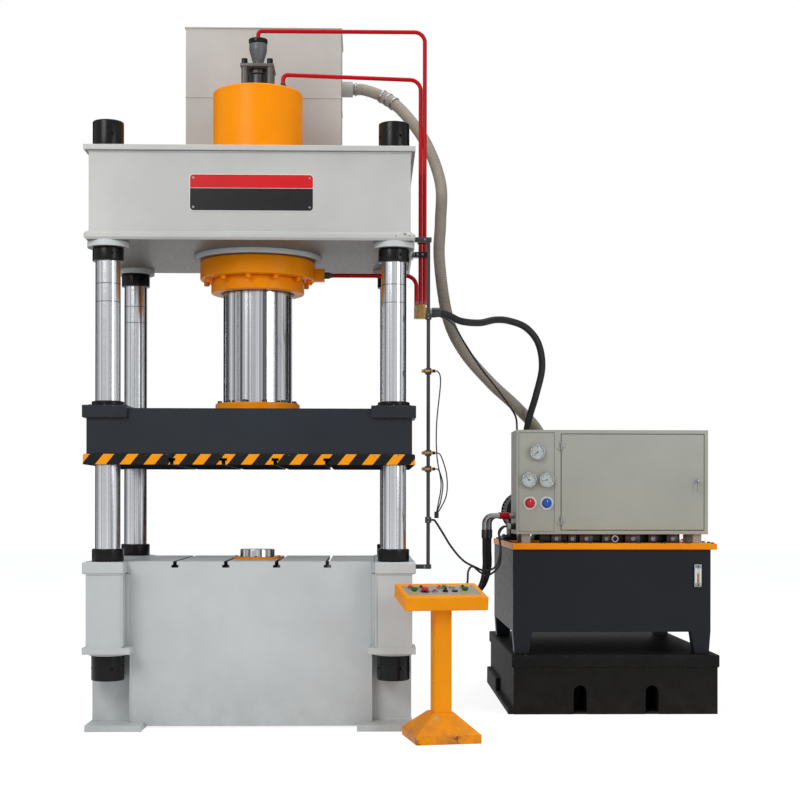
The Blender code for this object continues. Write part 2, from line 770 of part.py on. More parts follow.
def make_bed(parent):
    under_plate = TABLE_HEIGHT - TABLE_PLATE_THICKNESS
    bed = box("bed", (-BODY_HALF_WIDTH, -BODY_HALF_DEPTH, BED_CLEARANCE),
              (BODY_HALF_WIDTH, BODY_HALF_DEPTH, under_plate), parent)
    shapes = [
        box("bed_cross_body", (-PILLAR_OUTER_X, -NUT_POCKET_Y, BED_CLEARANCE + LAP),
            (PILLAR_OUTER_X, NUT_POCKET_Y, under_plate), parent)
    ]
    foot_outer = PILLAR_OUTER_X + FOOT_PLATE_PROUD
    for name, side in (("left", -1), ("right", 1)):
        rail = mirrored_box(f"bed_top_rail_{name}", (side, 1), (BED_PAD_INNER_X, BED_PAD_OUTER_X),
                            (-PRESS_DEPTH / 2, PRESS_DEPTH / 2), (under_plate, TABLE_HEIGHT), parent)
        foot = mirrored_box(f"bed_foot_plate_{name}", (side, 1), (foot_outer - FOOT_PLATE_WIDTH, foot_outer),
                            (-PRESS_DEPTH / 2, PRESS_DEPTH / 2), (0.0, FOOT_PLATE_THICKNESS), parent)
        shapes += [bevel(rail, BED_RAIL_EDGE), foot]
    for corner in CORNERS:
        shapes += bed_corner(corner, parent)
    for index, y in enumerate(BED_PORTS_Y):
        shapes.append(cylinder(f"bed_ejector_port_{index}", BED_PORT_DIAMETER, BED_PORT_LENGTH + LAP,
                               (PILLAR_OUTER_X + (BED_PORT_LENGTH - LAP) / 2, y, BED_PORT_Z), parent, "X",
                               sides=6))
    join(bed, *shapes)
    bore = COLUMN_DIAMETER + 2 * BORE_PLAY
    cut(bed, *column_bores("bed_column_bore", bore, NUT_POCKET_TOP - LOWER_BOSS_THICKNESS, TABLE_HEIGHT,
                           parent))
    well = EJECTOR_CYLINDER_DIAMETER + 2 * BORE_PLAY
    well_low = EJECTOR_CYLINDER_BOTTOM - FIT
    cut(bed, cylinder("bed_ejector_well", well, TABLE_HEIGHT - well_low,
                      (0, 0, (TABLE_HEIGHT + well_low) / 2), parent))
    cut(bed, cylinder("bed_ejector_port", EJECTOR_PORT_DIAMETER, 2 * EJECTOR_CYLINDER_BOTTOM,
                      (0, 0, EJECTOR_CYLINDER_BOTTOM / 2), parent, sides=SMALL_ROUND))
    return part(bed, "light_grey_paint")


def make_table_plate(parent):
    low = TABLE_HEIGHT - TABLE_PLATE_THICKNESS + FIT
    side = BED_PAD_INNER_X - FIT
    table = box("table_plate", (-side, -BODY_HALF_DEPTH, low), (side, BODY_HALF_DEPTH, TABLE_HEIGHT), parent)
    cut(table, *t_slot_cutters("table_slot", TABLE_HEIGHT, BODY_HALF_DEPTH, True, parent))
    well = EJECTOR_RING_DIAMETER + 2 * BORE_PLAY
    cut(table, cylinder("table_ejector_hole", well, 4 * TABLE_PLATE_THICKNESS, (0, 0, TABLE_HEIGHT), parent))
    return part(table, "light_grey_paint")


# Crown


def make_crown(parent):
    half_width, half_depth = PRESS_WIDTH / 2, PRESS_DEPTH / 2
    web_x, web_y = half_width - CROWN_WEB_INSET, half_depth - CROWN_WEB_INSET
    crown = box("crown", (-web_x, -web_y, CROWN_BOTTOM + LAP), (web_x, web_y, CROWN_TOP - LAP), parent)
    lower = box("crown_lower_flange", (-half_width, -half_depth, CROWN_BOTTOM),
                (half_width, half_depth, CROWN_BOTTOM + CROWN_FLANGE_THICKNESS + CROWN_FLANGE_CHAMFER),
                parent)
    upper = box("crown_upper_flange", (-half_width, -half_depth, CROWN_TOP - CROWN_FLANGE_THICKNESS),
                (half_width, half_depth, CROWN_TOP), parent)
    shapes = [bevel(lower, CROWN_FLANGE_CHAMFER), bevel(upper, CROWN_TOP_EDGE)]
    for corner, (sx, sy) in CORNERS.items():
        shapes.append(cylinder(f"crown_boss_{corner}", CROWN_BOSS_DIAMETER, CROWN_BOSS_THICKNESS + 2 * LAP,
                               (sx * COLUMN_X, sy * COLUMN_Y,
                                CROWN_BOTTOM - CROWN_BOSS_THICKNESS / 2 + LAP), parent))
    shapes.append(cylinder("crown_gland_boss", GLAND_BOSS_DIAMETER, GLAND_BOSS_THICKNESS + 2 * LAP,
                           (0, 0, CROWN_BOTTOM - GLAND_BOSS_THICKNESS / 2 + LAP), parent, sides=BIG_ROUND))
    join(crown, *shapes)
    low = CROWN_BOTTOM - CROWN_BOSS_THICKNESS
    bore = COLUMN_DIAMETER + 2 * BORE_PLAY
    cut(crown, *column_bores("crown_column_bore", bore, low, CROWN_TOP, parent))
    throat = CYLINDER_DIAMETER + 2 * BORE_PLAY
    cut(crown, cylinder("crown_cylinder_bore", throat, CROWN_TOP - low + 4 * LAP,
                        (0, 0, (CROWN_TOP + low) / 2), parent, sides=BIG_ROUND))
    return part(crown, "light_grey_paint")


# Columns and nuts


def nut_profile(radius, low, high, bore, open_end="low"):
    """The chamfer is on the open end, away from the seat."""
    c = NUT_CHAMFER
    if open_end == "low":
        return [(bore, high), (radius, high), (radius, low + c), (radius - c, low), (bore, low)]
    return [(bore, high), (radius - c, high), (radius, high - c), (radius, low), (bore, low)]


def make_column(corner, parent):
    """The tie rod, with its bed collar, its nut under the crown and its lower nut."""
    sx, sy = CORNERS[corner]
    shaft = COLUMN_DIAMETER / 2
    column_top = CROWN_TOP + TOP_NUT_HEIGHT - COLUMN_END_DROP
    nut_top = CROWN_BOTTOM - CROWN_BOSS_THICKNESS - FIT
    low_top = NUT_POCKET_TOP - LOWER_BOSS_THICKNESS - FIT
    collar_low = TABLE_HEIGHT + FIT
    profile = [(0.0, column_top), (shaft, column_top)]
    for radius, low, high, open_end in (
        (NUT_DIAMETER / 2, nut_top - UNDER_CROWN_NUT_HEIGHT, nut_top, "low"),
        (BED_COLLAR_DIAMETER / 2, collar_low, collar_low + BED_COLLAR_HEIGHT, "high"),
        (LOWER_NUT_DIAMETER / 2, low_top - LOWER_NUT_HEIGHT, low_top, "low"),
    ):
        profile += nut_profile(radius, low, high, shaft, open_end)
    profile[-1] = (0.0, profile[-1][1])
    column = turned(f"column_{corner}", profile, parent, (sx * COLUMN_X, sy * COLUMN_Y, 0),
                    steps=COLUMN_ROUND)
    for place_name, z, radius in (("upper", nut_top - UNDER_CROWN_NUT_HEIGHT / 2, NUT_DIAMETER / 2),
                                  ("lower", low_top - LOWER_NUT_HEIGHT / 2, LOWER_NUT_DIAMETER / 2)):
        hole = cylinder(f"spanner_hole_{place_name}_{corner}", SPANNER_HOLE_DIAMETER, 2 * SPANNER_HOLE_DEPTH,
                        (sx * COLUMN_X, sy * (COLUMN_Y + radius), z), parent, "Y", sides=SMALL_ROUND)
        cut(column, hole)
    return part(column, "hard_chrome")


def make_top_nut(corner, parent):
    sx, sy = CORNERS[corner]
    low = CROWN_TOP + FIT
    profile = nut_profile(NUT_DIAMETER / 2, low, low + TOP_NUT_HEIGHT, COLUMN_DIAMETER / 2 + FIT, "high")
    nut = turned(f"top_nut_{corner}", profile, parent, (sx * COLUMN_X, sy * COLUMN_Y, 0), steps=COLUMN_ROUND)
    return part(nut, "gloss_black")


# Main cylinder, gland and ram


def make_main_cylinder(parent):
    outer, bore, port = CYLINDER_DIAMETER / 2, CYLINDER_BORE / 2, CYLINDER_HEAD_PORT / 2
    flange = CYLINDER_FLANGE_DIAMETER / 2
    flange_top = CROWN_BOTTOM - GLAND_BOSS_THICKNESS - FIT
    flange_low = flange_top - CYLINDER_FLANGE_HEIGHT
    edge, lip = CYLINDER_EDGE, CYLINDER_FLANGE_EDGE
    head_low = CYLINDER_TOP - CYLINDER_HEAD_THICKNESS
    profile = [
        (port, CYLINDER_TOP), (outer - edge, CYLINDER_TOP), (outer, CYLINDER_TOP - edge), (outer, flange_top),
        (flange - lip, flange_top), (flange, flange_top - lip), (flange, flange_low + lip),
        (flange - lip, flange_low),
        (bore, flange_low), (bore, head_low), (port, head_low),
    ]
    body = turned("main_cylinder", profile, parent, steps=BIG_ROUND)
    bolts = []
    for index in range(FLANGE_BOLT_COUNT):
        angle = 2 * math.pi * index / FLANGE_BOLT_COUNT
        spot = (FLANGE_BOLT_CIRCLE / 2 * math.cos(angle), FLANGE_BOLT_CIRCLE / 2 * math.sin(angle),
                flange_low - (FLANGE_BOLT_HEIGHT - LAP) / 2)
        bolts.append(cylinder(f"flange_bolt_{index}", FLANGE_BOLT_DIAMETER, FLANGE_BOLT_HEIGHT + LAP,
                              spot, parent,
                              sides=6))
    join(body, *bolts)
    half = PORT_BLOCK_WIDTH / 2
    join(body, box("cylinder_port_block", (flange - 4 * LAP, -half, GLAND_PIPE_Z - half),
                   (flange + PORT_BLOCK_LENGTH, half, GLAND_PIPE_Z + half), parent))
    return part(body, "orange_paint")


def make_gland(parent):
    top = CROWN_BOTTOM - GLAND_BOSS_THICKNESS - CYLINDER_FLANGE_HEIGHT - 2 * FIT
    low = top - GLAND_HEIGHT
    outer, bore = GLAND_DIAMETER / 2, RAM_DIAMETER / 2 + FIT
    profile = [
        (bore, top), (outer, top), (outer, low + GLAND_EDGE), (outer - GLAND_EDGE, low),
        (bore + WIPER_WIDTH, low),
        (bore + WIPER_WIDTH, low + WIPER_DEPTH), (bore, low + WIPER_DEPTH),
    ]
    return part(turned("gland_ring", profile, parent, steps=BIG_ROUND), "orange_paint")


def make_ram(slide_axis):
    piston, rod = CYLINDER_BORE / 2 - PISTON_PLAY, RAM_DIAMETER / 2
    low, edge, step = SLIDE_TOP + FIT, PISTON_EDGE, RAM_TOP - PISTON_HEIGHT
    profile = [(0.0, RAM_TOP), (piston - edge, RAM_TOP), (piston, RAM_TOP - edge), (piston, step),
               (rod, step),
               (rod, low), (0.0, low)]
    return part(turned("ram", profile, slide_axis, steps=BIG_ROUND), "hard_chrome")


def make_clamp_ring(slide_axis):
    low = SLIDE_TOP + FIT
    outer, bore, edge = CLAMP_RING_DIAMETER / 2, RAM_DIAMETER / 2 + FIT, CLAMP_RING_EDGE
    top = low + CLAMP_RING_HEIGHT
    profile = [(bore, top), (outer - edge, top), (outer, top - edge), (outer, low), (bore, low)]
    ring = turned("ram_clamp_ring", profile, slide_axis, steps=BIG_ROUND)
    reach = (outer + bore) / 2
    bolts = []
    for index in range(CLAMP_BOLT_COUNT):
        angle = 2 * math.pi * (index + 0.5) / CLAMP_BOLT_COUNT
        spot = (reach * math.cos(angle), reach * math.sin(angle), top + (CLAMP_BOLT_HEIGHT - LAP) / 2)
        bolts.append(cylinder(f"clamp_bolt_{index}", CLAMP_BOLT_DIAMETER, CLAMP_BOLT_HEIGHT + LAP, spot,
                              slide_axis,
                              sides=6))
    return part(join(ring, *bolts), "orange_paint")


# Slide


def make_slide(slide_axis):
    half_width = PRESS_WIDTH / 2 - SLIDE_BODY_INSET
    half_depth = PRESS_DEPTH / 2 - SLIDE_BODY_INSET
    low = SLIDE_BOTTOM + PLATEN_THICKNESS + FIT
    slide = box("slide", (-half_width, -half_depth, low), (half_width, half_depth, SLIDE_TOP), slide_axis)
    shapes = []
    pad_top = SLIDE_TOP + SLIDE_PAD_RISE
    for corner, (sx, sy) in CORNERS.items():
        pad = mirrored_box(f"slide_pad_{corner}", (sx, sy), (SLIDE_PAD_INNER_X, SLIDE_PAD_OUTER_X),
                           (PRESS_DEPTH / 2 - SLIDE_PAD_DEPTH, PRESS_DEPTH / 2 + SLIDE_PAD_OVERHANG),
                           (pad_top - SLIDE_PAD_HEIGHT, pad_top), slide_axis)
        bush = cylinder(f"guide_bush_{corner}", GUIDE_BUSH_DIAMETER, GUIDE_BUSH_SINK + GUIDE_BUSH_RISE,
                        (sx * COLUMN_X, sy * COLUMN_Y, pad_top + (GUIDE_BUSH_RISE - GUIDE_BUSH_SINK) / 2),
                        slide_axis)
        shapes += [bevel(pad, SLIDE_PAD_EDGE), bush]
    join(slide, *shapes)
    bore = COLUMN_DIAMETER + 2 * GUIDE_PLAY
    cut(slide, *column_bores("slide_column_bore", bore, SLIDE_BOTTOM, pad_top + GUIDE_BUSH_RISE, slide_axis))
    return part(slide, "slate_paint")


def make_platen(slide_axis):
    half_width, half_depth = PRESS_WIDTH / 2, PRESS_DEPTH / 2
    top = SLIDE_BOTTOM + PLATEN_THICKNESS
    platen = box("slide_platen", (-half_width, -half_depth, SLIDE_BOTTOM), (half_width, half_depth, top),
                 slide_axis)
    corner = [(2 * LAP, 2 * LAP), (-PLATEN_BEVEL, 2 * LAP), (2 * LAP, -PLATEN_BEVEL)]
    cutters = []
    for name, side in (("low", -1), ("high", 1)):
        turn = 0 if side > 0 else math.pi
        cutters.append(plate(f"platen_bevel_x_{name}", corner, PRESS_DEPTH + 4 * LAP, slide_axis,
                             (side * half_width, 0, top), (math.pi / 2, 0, turn)))
        cutters.append(plate(f"platen_bevel_y_{name}", corner, PRESS_WIDTH + 4 * LAP, slide_axis,
                             (0, side * half_depth, top), (math.pi / 2, 0, side * math.pi / 2)))
    cut(platen, *cutters)
    cut(platen, *t_slot_cutters("platen_slot", SLIDE_BOTTOM, half_depth, False, slide_axis))
    bore = COLUMN_DIAMETER + 2 * GUIDE_PLAY
    cut(platen, *column_bores("platen_column_bore", bore, SLIDE_BOTTOM, top, slide_axis))
    return part(platen, "slate_paint")


# Valve, tank and pipes on top


def make_prefill_valve(parent):
    half, low = VALVE_BODY_WIDTH / 2, CYLINDER_TOP + FIT
    body_top = low + VALVE_BODY_HEIGHT
    plate_top = body_top + VALVE_PLATE_THICKNESS
    cone_top = plate_top + VALVE_CONE_HEIGHT
    wide = VALVE_PLATE_WIDTH / 2
    valve = box("prefill_valve", (-half, -half, low), (half, half, body_top + LAP), parent)
    shapes = [
        box("valve_plate", (-wide, -wide, body_top), (wide, wide, plate_top), parent),
        cylinder("valve_cone", VALVE_CONE_FOOT, VALVE_CONE_HEIGHT + LAP,
                 (0, 0, plate_top + VALVE_CONE_HEIGHT / 2), parent, top=VALVE_CONE_TOP),
        cylinder("valve_cap", VALVE_CAP_DIAMETER, VALVE_CAP_HEIGHT,
                 (0, 0, cone_top + VALVE_CAP_HEIGHT / 2), parent,
                 sides=6),
    ]
    for corner, (sx, sy) in CORNERS.items():
        spot = (sx * VALVE_BOLT_SPACING / 2, sy * VALVE_BOLT_SPACING / 2,
                plate_top + (VALVE_BOLT_HEIGHT - LAP) / 2)
        shapes.append(cylinder(f"valve_bolt_{corner}", VALVE_BOLT_DIAMETER, VALVE_BOLT_HEIGHT + LAP, spot,
                               parent,
                               sides=SMALL_ROUND))
    join(valve, *shapes)
    window, deep = VALVE_WINDOW_WIDTH / 2, VALVE_WINDOW_DEPTH
    z_range = (low + VALVE_WINDOW_MARGIN, body_top - VALVE_WINDOW_MARGIN)
    for name, side in (("low", -1), ("high", 1)):
        cut(valve, mirrored_box(f"valve_window_x_{name}", (side, 1), (half - deep, half + deep),
                                (-window, window),
                                z_range, parent))
        cut(valve, mirrored_box(f"valve_window_y_{name}", (1, side), (-window, window),
                                (half - deep, half + deep),
                                z_range, parent))
    return part(valve, "machined_steel")


def valve_top():
    return (CYLINDER_TOP + FIT + VALVE_BODY_HEIGHT + VALVE_PLATE_THICKNESS + VALVE_CONE_HEIGHT
            + VALVE_CAP_HEIGHT)


def make_overhead_tank(parent):
    """Sits on the rear of the crown, with welded brackets down the crown's rear flange."""
    low = CROWN_TOP + FIT
    left, right = OVERHEAD_SHIFT_X - OVERHEAD_WIDTH / 2, OVERHEAD_SHIFT_X + OVERHEAD_WIDTH / 2
    rear, over = OVERHEAD_FRONT_Y + OVERHEAD_DEPTH, OVERHEAD_LID_OVERHANG
    tank = box("overhead_tank", (left, OVERHEAD_FRONT_Y, low), (right, rear, OVERHEAD_TOP - LAP), parent)
    shapes = [
        box("overhead_tank_lid", (left - over, OVERHEAD_FRONT_Y - over,
                                  OVERHEAD_TOP - OVERHEAD_LID_THICKNESS),
            (right + over, rear + over, OVERHEAD_TOP), parent),
        cylinder("tank_outlet", RETURN_PORT_DIAMETER, RETURN_PORT_LENGTH + LAP,
                 (right + (RETURN_PORT_LENGTH - LAP) / 2, OVERHEAD_FRONT_Y + RETURN_PORT_SETBACK,
                  RETURN_PORT_Z),
                 parent, "X", sides=16),
    ]
    wall = PRESS_DEPTH / 2 + FIT
    reach, toe = rear - wall, OVERHEAD_BRACKET_TOE
    outline = [(0, LAP), (reach, LAP), (reach, -toe), (toe, -OVERHEAD_BRACKET_HEIGHT),
               (0, -OVERHEAD_BRACKET_HEIGHT)]
    for side, x in (("left", left + OVERHEAD_BRACKET_INSET), ("right", right - OVERHEAD_BRACKET_INSET)):
        shapes.append(plate(f"tank_bracket_{side}", outline, OVERHEAD_BRACKET_THICKNESS, parent,
                            (x, wall, low),
                            (math.pi / 2, 0, math.pi / 2)))
    return part(join(tank, *shapes), "cabinet_grey")


def make_pipes(parent):
    union_top = UNION_TOP + FIT
    prefill_z = valve_top() + FIT + PREFILL_PIPE_RISE
    feed_z = CYLINDER_TOP + CYLINDER_PIPE_RISE
    prefill = [(0, 0, valve_top() + FIT), (0, 0, prefill_z), (PIPE_OUTER_X, 0, prefill_z),
               (PIPE_OUTER_X, 0, union_top)]
    feed = [(CYLINDER_PORT_X, CYLINDER_PORT_Y, CYLINDER_TOP + FIT),
            (CYLINDER_PORT_X, CYLINDER_PORT_Y, feed_z),
            (PIPE_INNER_X, 0, feed_z), (PIPE_INNER_X, 0, union_top)]
    gland_x = PIPE_RISER_X - GLAND_PIPE_SETBACK
    port_face = CYLINDER_FLANGE_DIAMETER / 2 + PORT_BLOCK_LENGTH + FIT
    gland = [(port_face, 0, GLAND_PIPE_Z), (gland_x, 0, GLAND_PIPE_Z), (gland_x, 0, union_top)]
    for name, corners, radius in (("prefill_pipe", prefill, PIPE_TIGHT_BEND),
                                  ("cylinder_pipe", feed, PIPE_TIGHT_BEND),
                                  ("gland_pipe", gland, PIPE_BEND_RADIUS)):
        part(tube(name, bent_route(corners, radius), PIPE_DIAMETER, parent, resolution=2), "red_paint")


def make_pipe_union(parent):
    """Brass block that the three pipes enter and the two hoses leave."""
    half_x, half_y = UNION_LENGTH / 2, UNION_WIDTH / 2
    union = box("pipe_union", (UNION_CENTRE_X - half_x, -half_y, UNION_TOP - UNION_HEIGHT),
                (UNION_CENTRE_X + half_x, half_y, UNION_TOP), parent)
    nose = cylinder("union_hose_nose", UNION_NOSE_DIAMETER, UNION_NOSE_LENGTH + LAP,
                    (UNION_CENTRE_X + half_x + (UNION_NOSE_LENGTH - LAP) / 2, 0,
                     UNION_TOP - UNION_HEIGHT / 2),
                    parent, "X", sides=6)
    return part(join(bevel(union, UNION_EDGE), nose), "brass")


def make_pipe_bracket(parent):
    """Angle on the end of the crown that carries the risers in a split clamp."""
    inner = PRESS_WIDTH / 2 + FIT
    low, high, wide = CROWN_BOTTOM, CROWN_BOTTOM + PIPE_BRACKET_HEIGHT, PIPE_BRACKET_WIDTH / 2
    bracket = box("pipe_bracket", (inner, -wide, low), (inner + PIPE_BRACKET_THICKNESS, wide, high), parent)
    half = PIPE_CLAMP_WIDTH / 2
    clamp = box("pipe_clamp_block", (inner + PIPE_BRACKET_THICKNESS - LAP, -half, low + LAP),
                (PIPE_OUTER_X + PIPE_CLAMP_MARGIN, half, high - LAP), parent)
    join(bracket, clamp)
    for name, x in (("inner", PIPE_INNER_X), ("outer", PIPE_OUTER_X)):
        cut(bracket, cylinder(f"pipe_clamp_bore_{name}", PIPE_DIAMETER + 2 * FIT, 2 * PIPE_BRACKET_HEIGHT,
                              (x, 0, (low + high) / 2), parent, sides=16))
    return part(bracket, "gloss_black")


def make_sensor_rod(parent):
    """Rod with its brackets, its split clamps and three proximity sensors."""
    x, y, half = SENSOR_ROD_X, SENSOR_ROD_Y, SENSOR_CLAMP / 2
    low, high = TABLE_HEIGHT - SENSOR_ROD_DROP, CROWN_BOTTOM + SENSOR_ROD_RISE
    rod = cylinder("sensor_rod", SENSOR_ROD_DIAMETER, high - low, (x, y, (low + high) / 2), parent,
                   sides=SMALL_ROUND)
    shapes = []
    for index, z in enumerate(SENSOR_HEIGHTS):
        shapes.append(box(f"sensor_clamp_{index}", (x - half, y - half, z - half),
                          (x + half, y + half, z + half),
                          parent))
        shapes.append(cylinder(f"sensor_body_{index}", SENSOR_DIAMETER, SENSOR_LENGTH,
                               (x, y - half - SENSOR_DIAMETER / 2 + SENSOR_SINK, z), parent, "X",
                               sides=SMALL_ROUND))
    for index, z in enumerate(CABLE_CLIP_HEIGHTS):
        shapes.append(box(f"cable_clip_{index}", (x - half, y - half, z - half),
                          (x + half, y + half, z + half),
                          parent))
    thick = ROD_BRACKET_THICKNESS / 2
    for name, z, wall in (("lower", low + ROD_BRACKET_INSET - LAP, BED_PAD_OUTER_X),
                          ("upper", high - ROD_BRACKET_INSET + 2 * LAP, PRESS_WIDTH / 2)):
        shapes.append(box(f"rod_bracket_{name}", (wall + FIT, y - half, z - thick),
                          (x + half, y + half, z + thick),
                          parent))
    return part(join(rod, *shapes), "gloss_black")


# Ejector


def make_ejector(parent, ejector_axis):
    outer, bore = EJECTOR_CYLINDER_DIAMETER / 2, EJECTOR_TUBE_BORE / 2
    ring, edge, port = EJECTOR_RING_DIAMETER / 2, EJECTOR_RING_EDGE, EJECTOR_PORT_DIAMETER / 2
    top = TABLE_HEIGHT + EJECTOR_RING_HEIGHT
    neck, low = TABLE_HEIGHT - EJECTOR_RING_DEPTH, EJECTOR_CYLINDER_BOTTOM
    head = low + EJECTOR_CYLINDER_HEAD
    profile = [
        (bore, top), (ring - edge, top), (ring, top - edge), (ring, neck), (outer, neck), (outer, low),
        (port, low),
        (port, head), (bore, head),
    ]
    part(turned("ejector_cylinder", profile, parent), "orange_paint")
    radius, edge = EJECTOR_ROD_DIAMETER / 2, EJECTOR_ROD_EDGE
    rod_top = TABLE_HEIGHT + EJECTOR_RAISED
    rod_low = rod_top - EJECTOR_ROD_LENGTH
    profile = [(0.0, rod_top), (radius - edge, rod_top), (radius, rod_top - edge), (radius, rod_low),
               (0.0, rod_low)]
    part(turned("ejector_rod", profile, ejector_axis), "hard_chrome")


# Power unit


def make_plinth(unit):
    half, over = PLINTH_WIDTH / 2, PLINTH_TOP_OVERHANG
    deck_low = PLINTH_HEIGHT - PLINTH_TOP_THICKNESS
    plinth = box("plinth", (-half, over, 0.0), (half, PLINTH_DEPTH, deck_low + LAP), unit)
    deck = box("plinth_deck", (-half - over, 0.0, deck_low),
               (half + over, PLINTH_DEPTH + over, PLINTH_HEIGHT), unit)
    foot_x, foot_end = -half - PLINTH_LUG_PROUD, PLINTH_DEPTH - PLINTH_LUG_END
    lug = box("plinth_foot_lug", (foot_x, PLINTH_LUG_SETBACK, 0.0),
              (-half + LAP, foot_end, PLINTH_LUG_HEIGHT), unit)
    flange = box("plinth_foot_flange", (foot_x, 2 * over, 0.0),
                 (-half + LAP, foot_end, PLINTH_FLANGE_HEIGHT), unit)
    join(plinth, bevel(deck, PLINTH_TOP_EDGE), bevel(lug, PLINTH_TOP_EDGE), flange)
    width = PLINTH_SLOT_WIDTH
    spring = PLINTH_SLOT_HEIGHT - width / 2
    arch = [(-width / 2, -2 * LAP), (width / 2, -2 * LAP)]
    arch += [(width / 2 * math.cos(math.pi * step / 10), spring + width / 2 * math.sin(math.pi * step / 10))
             for step in range(11)]
    for name, x in zip(("left", "right"), PLINTH_SLOTS_X):
        cut(plinth, plate(f"plinth_slot_{name}", arch, PLINTH_SLOT_DEPTH + 2 * LAP, unit,
                          (x, over + (PLINTH_SLOT_DEPTH - 2 * LAP) / 2, 0), AXIS_TURN["Y"]))
    return part(plinth, "cast_iron")


def leg_outline(side):
    """A leg seen from the front, tapered on its inner side, with 0 at the tank's outer wall."""
    leg = TANK_BOTTOM - PLINTH_HEIGHT - FIT
    outline = [(0, leg + LAP), (TANK_LEG_WIDTH, leg + LAP), (TANK_LEG_FOOT + TANK_LEG_TAPER, 0),
               (TANK_LEG_TAPER, 0)]
    return [(-side * x, z) for x, z in outline]


def make_oil_tank(unit):
    """Welded tank, hollow and closed by its lid, on four tapered legs."""
    half, wall, middle = TANK_WIDTH / 2, TANK_SHEET, TANK_SHIFT_X
    front, rear = TANK_FRONT_INSET, TANK_FRONT_INSET + TANK_DEPTH
    tank = box("oil_tank", (middle - half, front, TANK_BOTTOM), (middle + half, rear, TANK_TOP), unit)
    legs = []
    for corner, (side, end) in CORNERS.items():
        y = front + TANK_LEG_DEPTH / 2 if end < 0 else rear - TANK_LEG_DEPTH / 2
        legs.append(plate(f"tank_leg_{corner}", leg_outline(side), TANK_LEG_DEPTH, unit,
                          (middle + side * half, y, PLINTH_HEIGHT + FIT), AXIS_TURN["Y"]))
    join(tank, *legs)
    cavity = box("oil_tank_cavity", (middle - half + wall, front + wall, TANK_BOTTOM + wall),
                 (middle + half - wall, rear - wall, TANK_TOP + LAP), unit)
    return part(cut(tank, cavity), "slate_paint")


def make_tank_lid(unit):
    half = LID_WIDTH / 2
    front, rear = TANK_FRONT_INSET - LID_OVERHANG, TANK_FRONT_INSET + TANK_DEPTH + LID_OVERHANG
    lid = box("tank_lid", (-half, front, TANK_TOP + FIT), (half, rear, LID_TOP), unit)
    filler_x, filler_setback = FILLER_SPOT
    fittings = [cylinder("tank_filler", FILLER_DIAMETER, FILLER_HEIGHT + LAP,
                         (filler_x, rear - filler_setback, LID_TOP + (FILLER_HEIGHT - LAP) / 2), unit,
                         sides=16)]
    for name, (x, y), hose in (("pressure", PRESSURE_FITTING, PRESSURE_HOSE),
                               ("return", RETURN_FITTING, RETURN_HOSE)):
        fittings.append(cylinder(f"lid_fitting_{name}", hose + 2 * HOSE_FITTING_WALL,
                                 HOSE_FITTING_HEIGHT + LAP,
                                 (x, y, LID_TOP + (HOSE_FITTING_HEIGHT - LAP) / 2), unit,
                                 sides=SMALL_ROUND))
    return part(join(bevel(lid, LID_EDGE), *fittings), "orange_paint")


def make_pump_motor(unit):
    """Motor on its feet, behind the cabinet, with the pump on its inner end."""
    radius, x, y = PUMP_MOTOR_DIAMETER / 2, PUMP_MOTOR_X, PUMP_MOTOR_Y
    foot_low = LID_TOP + FIT
    axis_z = foot_low + radius + PUMP_MOTOR_FOOT
    end = y + PUMP_MOTOR_LENGTH / 2
    motor = cylinder("pump_motor", PUMP_MOTOR_DIAMETER, PUMP_MOTOR_LENGTH, (x, y, axis_z), unit, "Y")
    bell_end = end + MOTOR_BELL_LENGTH
    pump_x, pump_y, pump_z = PUMP_SIZE
    box_x, box_y, box_z = MOTOR_BOX_SIZE
    shapes = [
        cylinder("motor_bell", MOTOR_BELL_DIAMETER, MOTOR_BELL_LENGTH + LAP,
                 (x, (end + bell_end - LAP) / 2, axis_z),
                 unit, "Y"),
        box("pump_body", (x - pump_x / 2, bell_end - LAP, axis_z - pump_z / 2),
            (x + pump_x / 2, bell_end + pump_y, axis_z + pump_z / 2), unit),
        box("motor_terminal_box", (x - box_x / 2, y - box_y / 2, axis_z + radius - 4 * LAP),
            (x + box_x / 2, y + box_y / 2, axis_z + radius + box_z), unit),
    ]
    rib_x, rib_y, rib_z = MOTOR_RIB_SIZE
    for index in range(MOTOR_RIB_COUNT):
        angle = 2 * math.pi * (index + 0.5) / MOTOR_RIB_COUNT
        if math.sin(angle) > -0.5:
            rib = box(f"motor_rib_{index}", (-rib_x / 2, -rib_y / 2, -rib_z / 2),
                      (rib_x / 2, rib_y / 2, rib_z / 2),
                      unit)
            place(rib, unit, (x + radius * math.cos(angle), y, axis_z + radius * math.sin(angle)),
                  (0, -angle, 0))
            shapes.append(rib)
    for name, side in (("left", -1), ("right", 1)):
        xs = sorted((x + side * 0.4 * radius, x + side * 1.1 * radius))
        shapes.append(box(f"motor_foot_{name}", (xs[0], y - radius, foot_low),
                          (xs[1], y + radius, axis_z - radius / 2),
                          unit))
    return part(join(motor, *shapes), "slate_paint")


def door_edges():
    right = CABINET_WIDTH / 2 - CABINET_FRAME
    left = -CABINET_WIDTH / 2 + GAUGE_PANEL_WIDTH + DOOR_POST
    return left, right


def hinge_heights():
    bottom = CABINET_BOTTOM + CABINET_FRAME + DOOR_PLAY
    top = CABINET_TOP - CABINET_FRAME - DOOR_PLAY
    return bottom + HINGE_FROM_EDGE, top - HINGE_FROM_EDGE


def hinge_axis():
    return door_edges()[0] + DOOR_PLAY - HINGE_AXIS_INSET, CABINET_FRONT - HINGE_AXIS_PROUD


def gauge_panel_point(offset_x, offset_z):
    """A place on the gauge panel, from the middle of the panel's width and the cabinet's top."""
    middle = -CABINET_WIDTH / 2 + GAUGE_PANEL_MARGIN + GAUGE_PANEL_WIDTH / 2
    return (middle + offset_x, CABINET_FRONT + GAUGE_PANEL_RECESS - FIT, CABINET_TOP + offset_z)


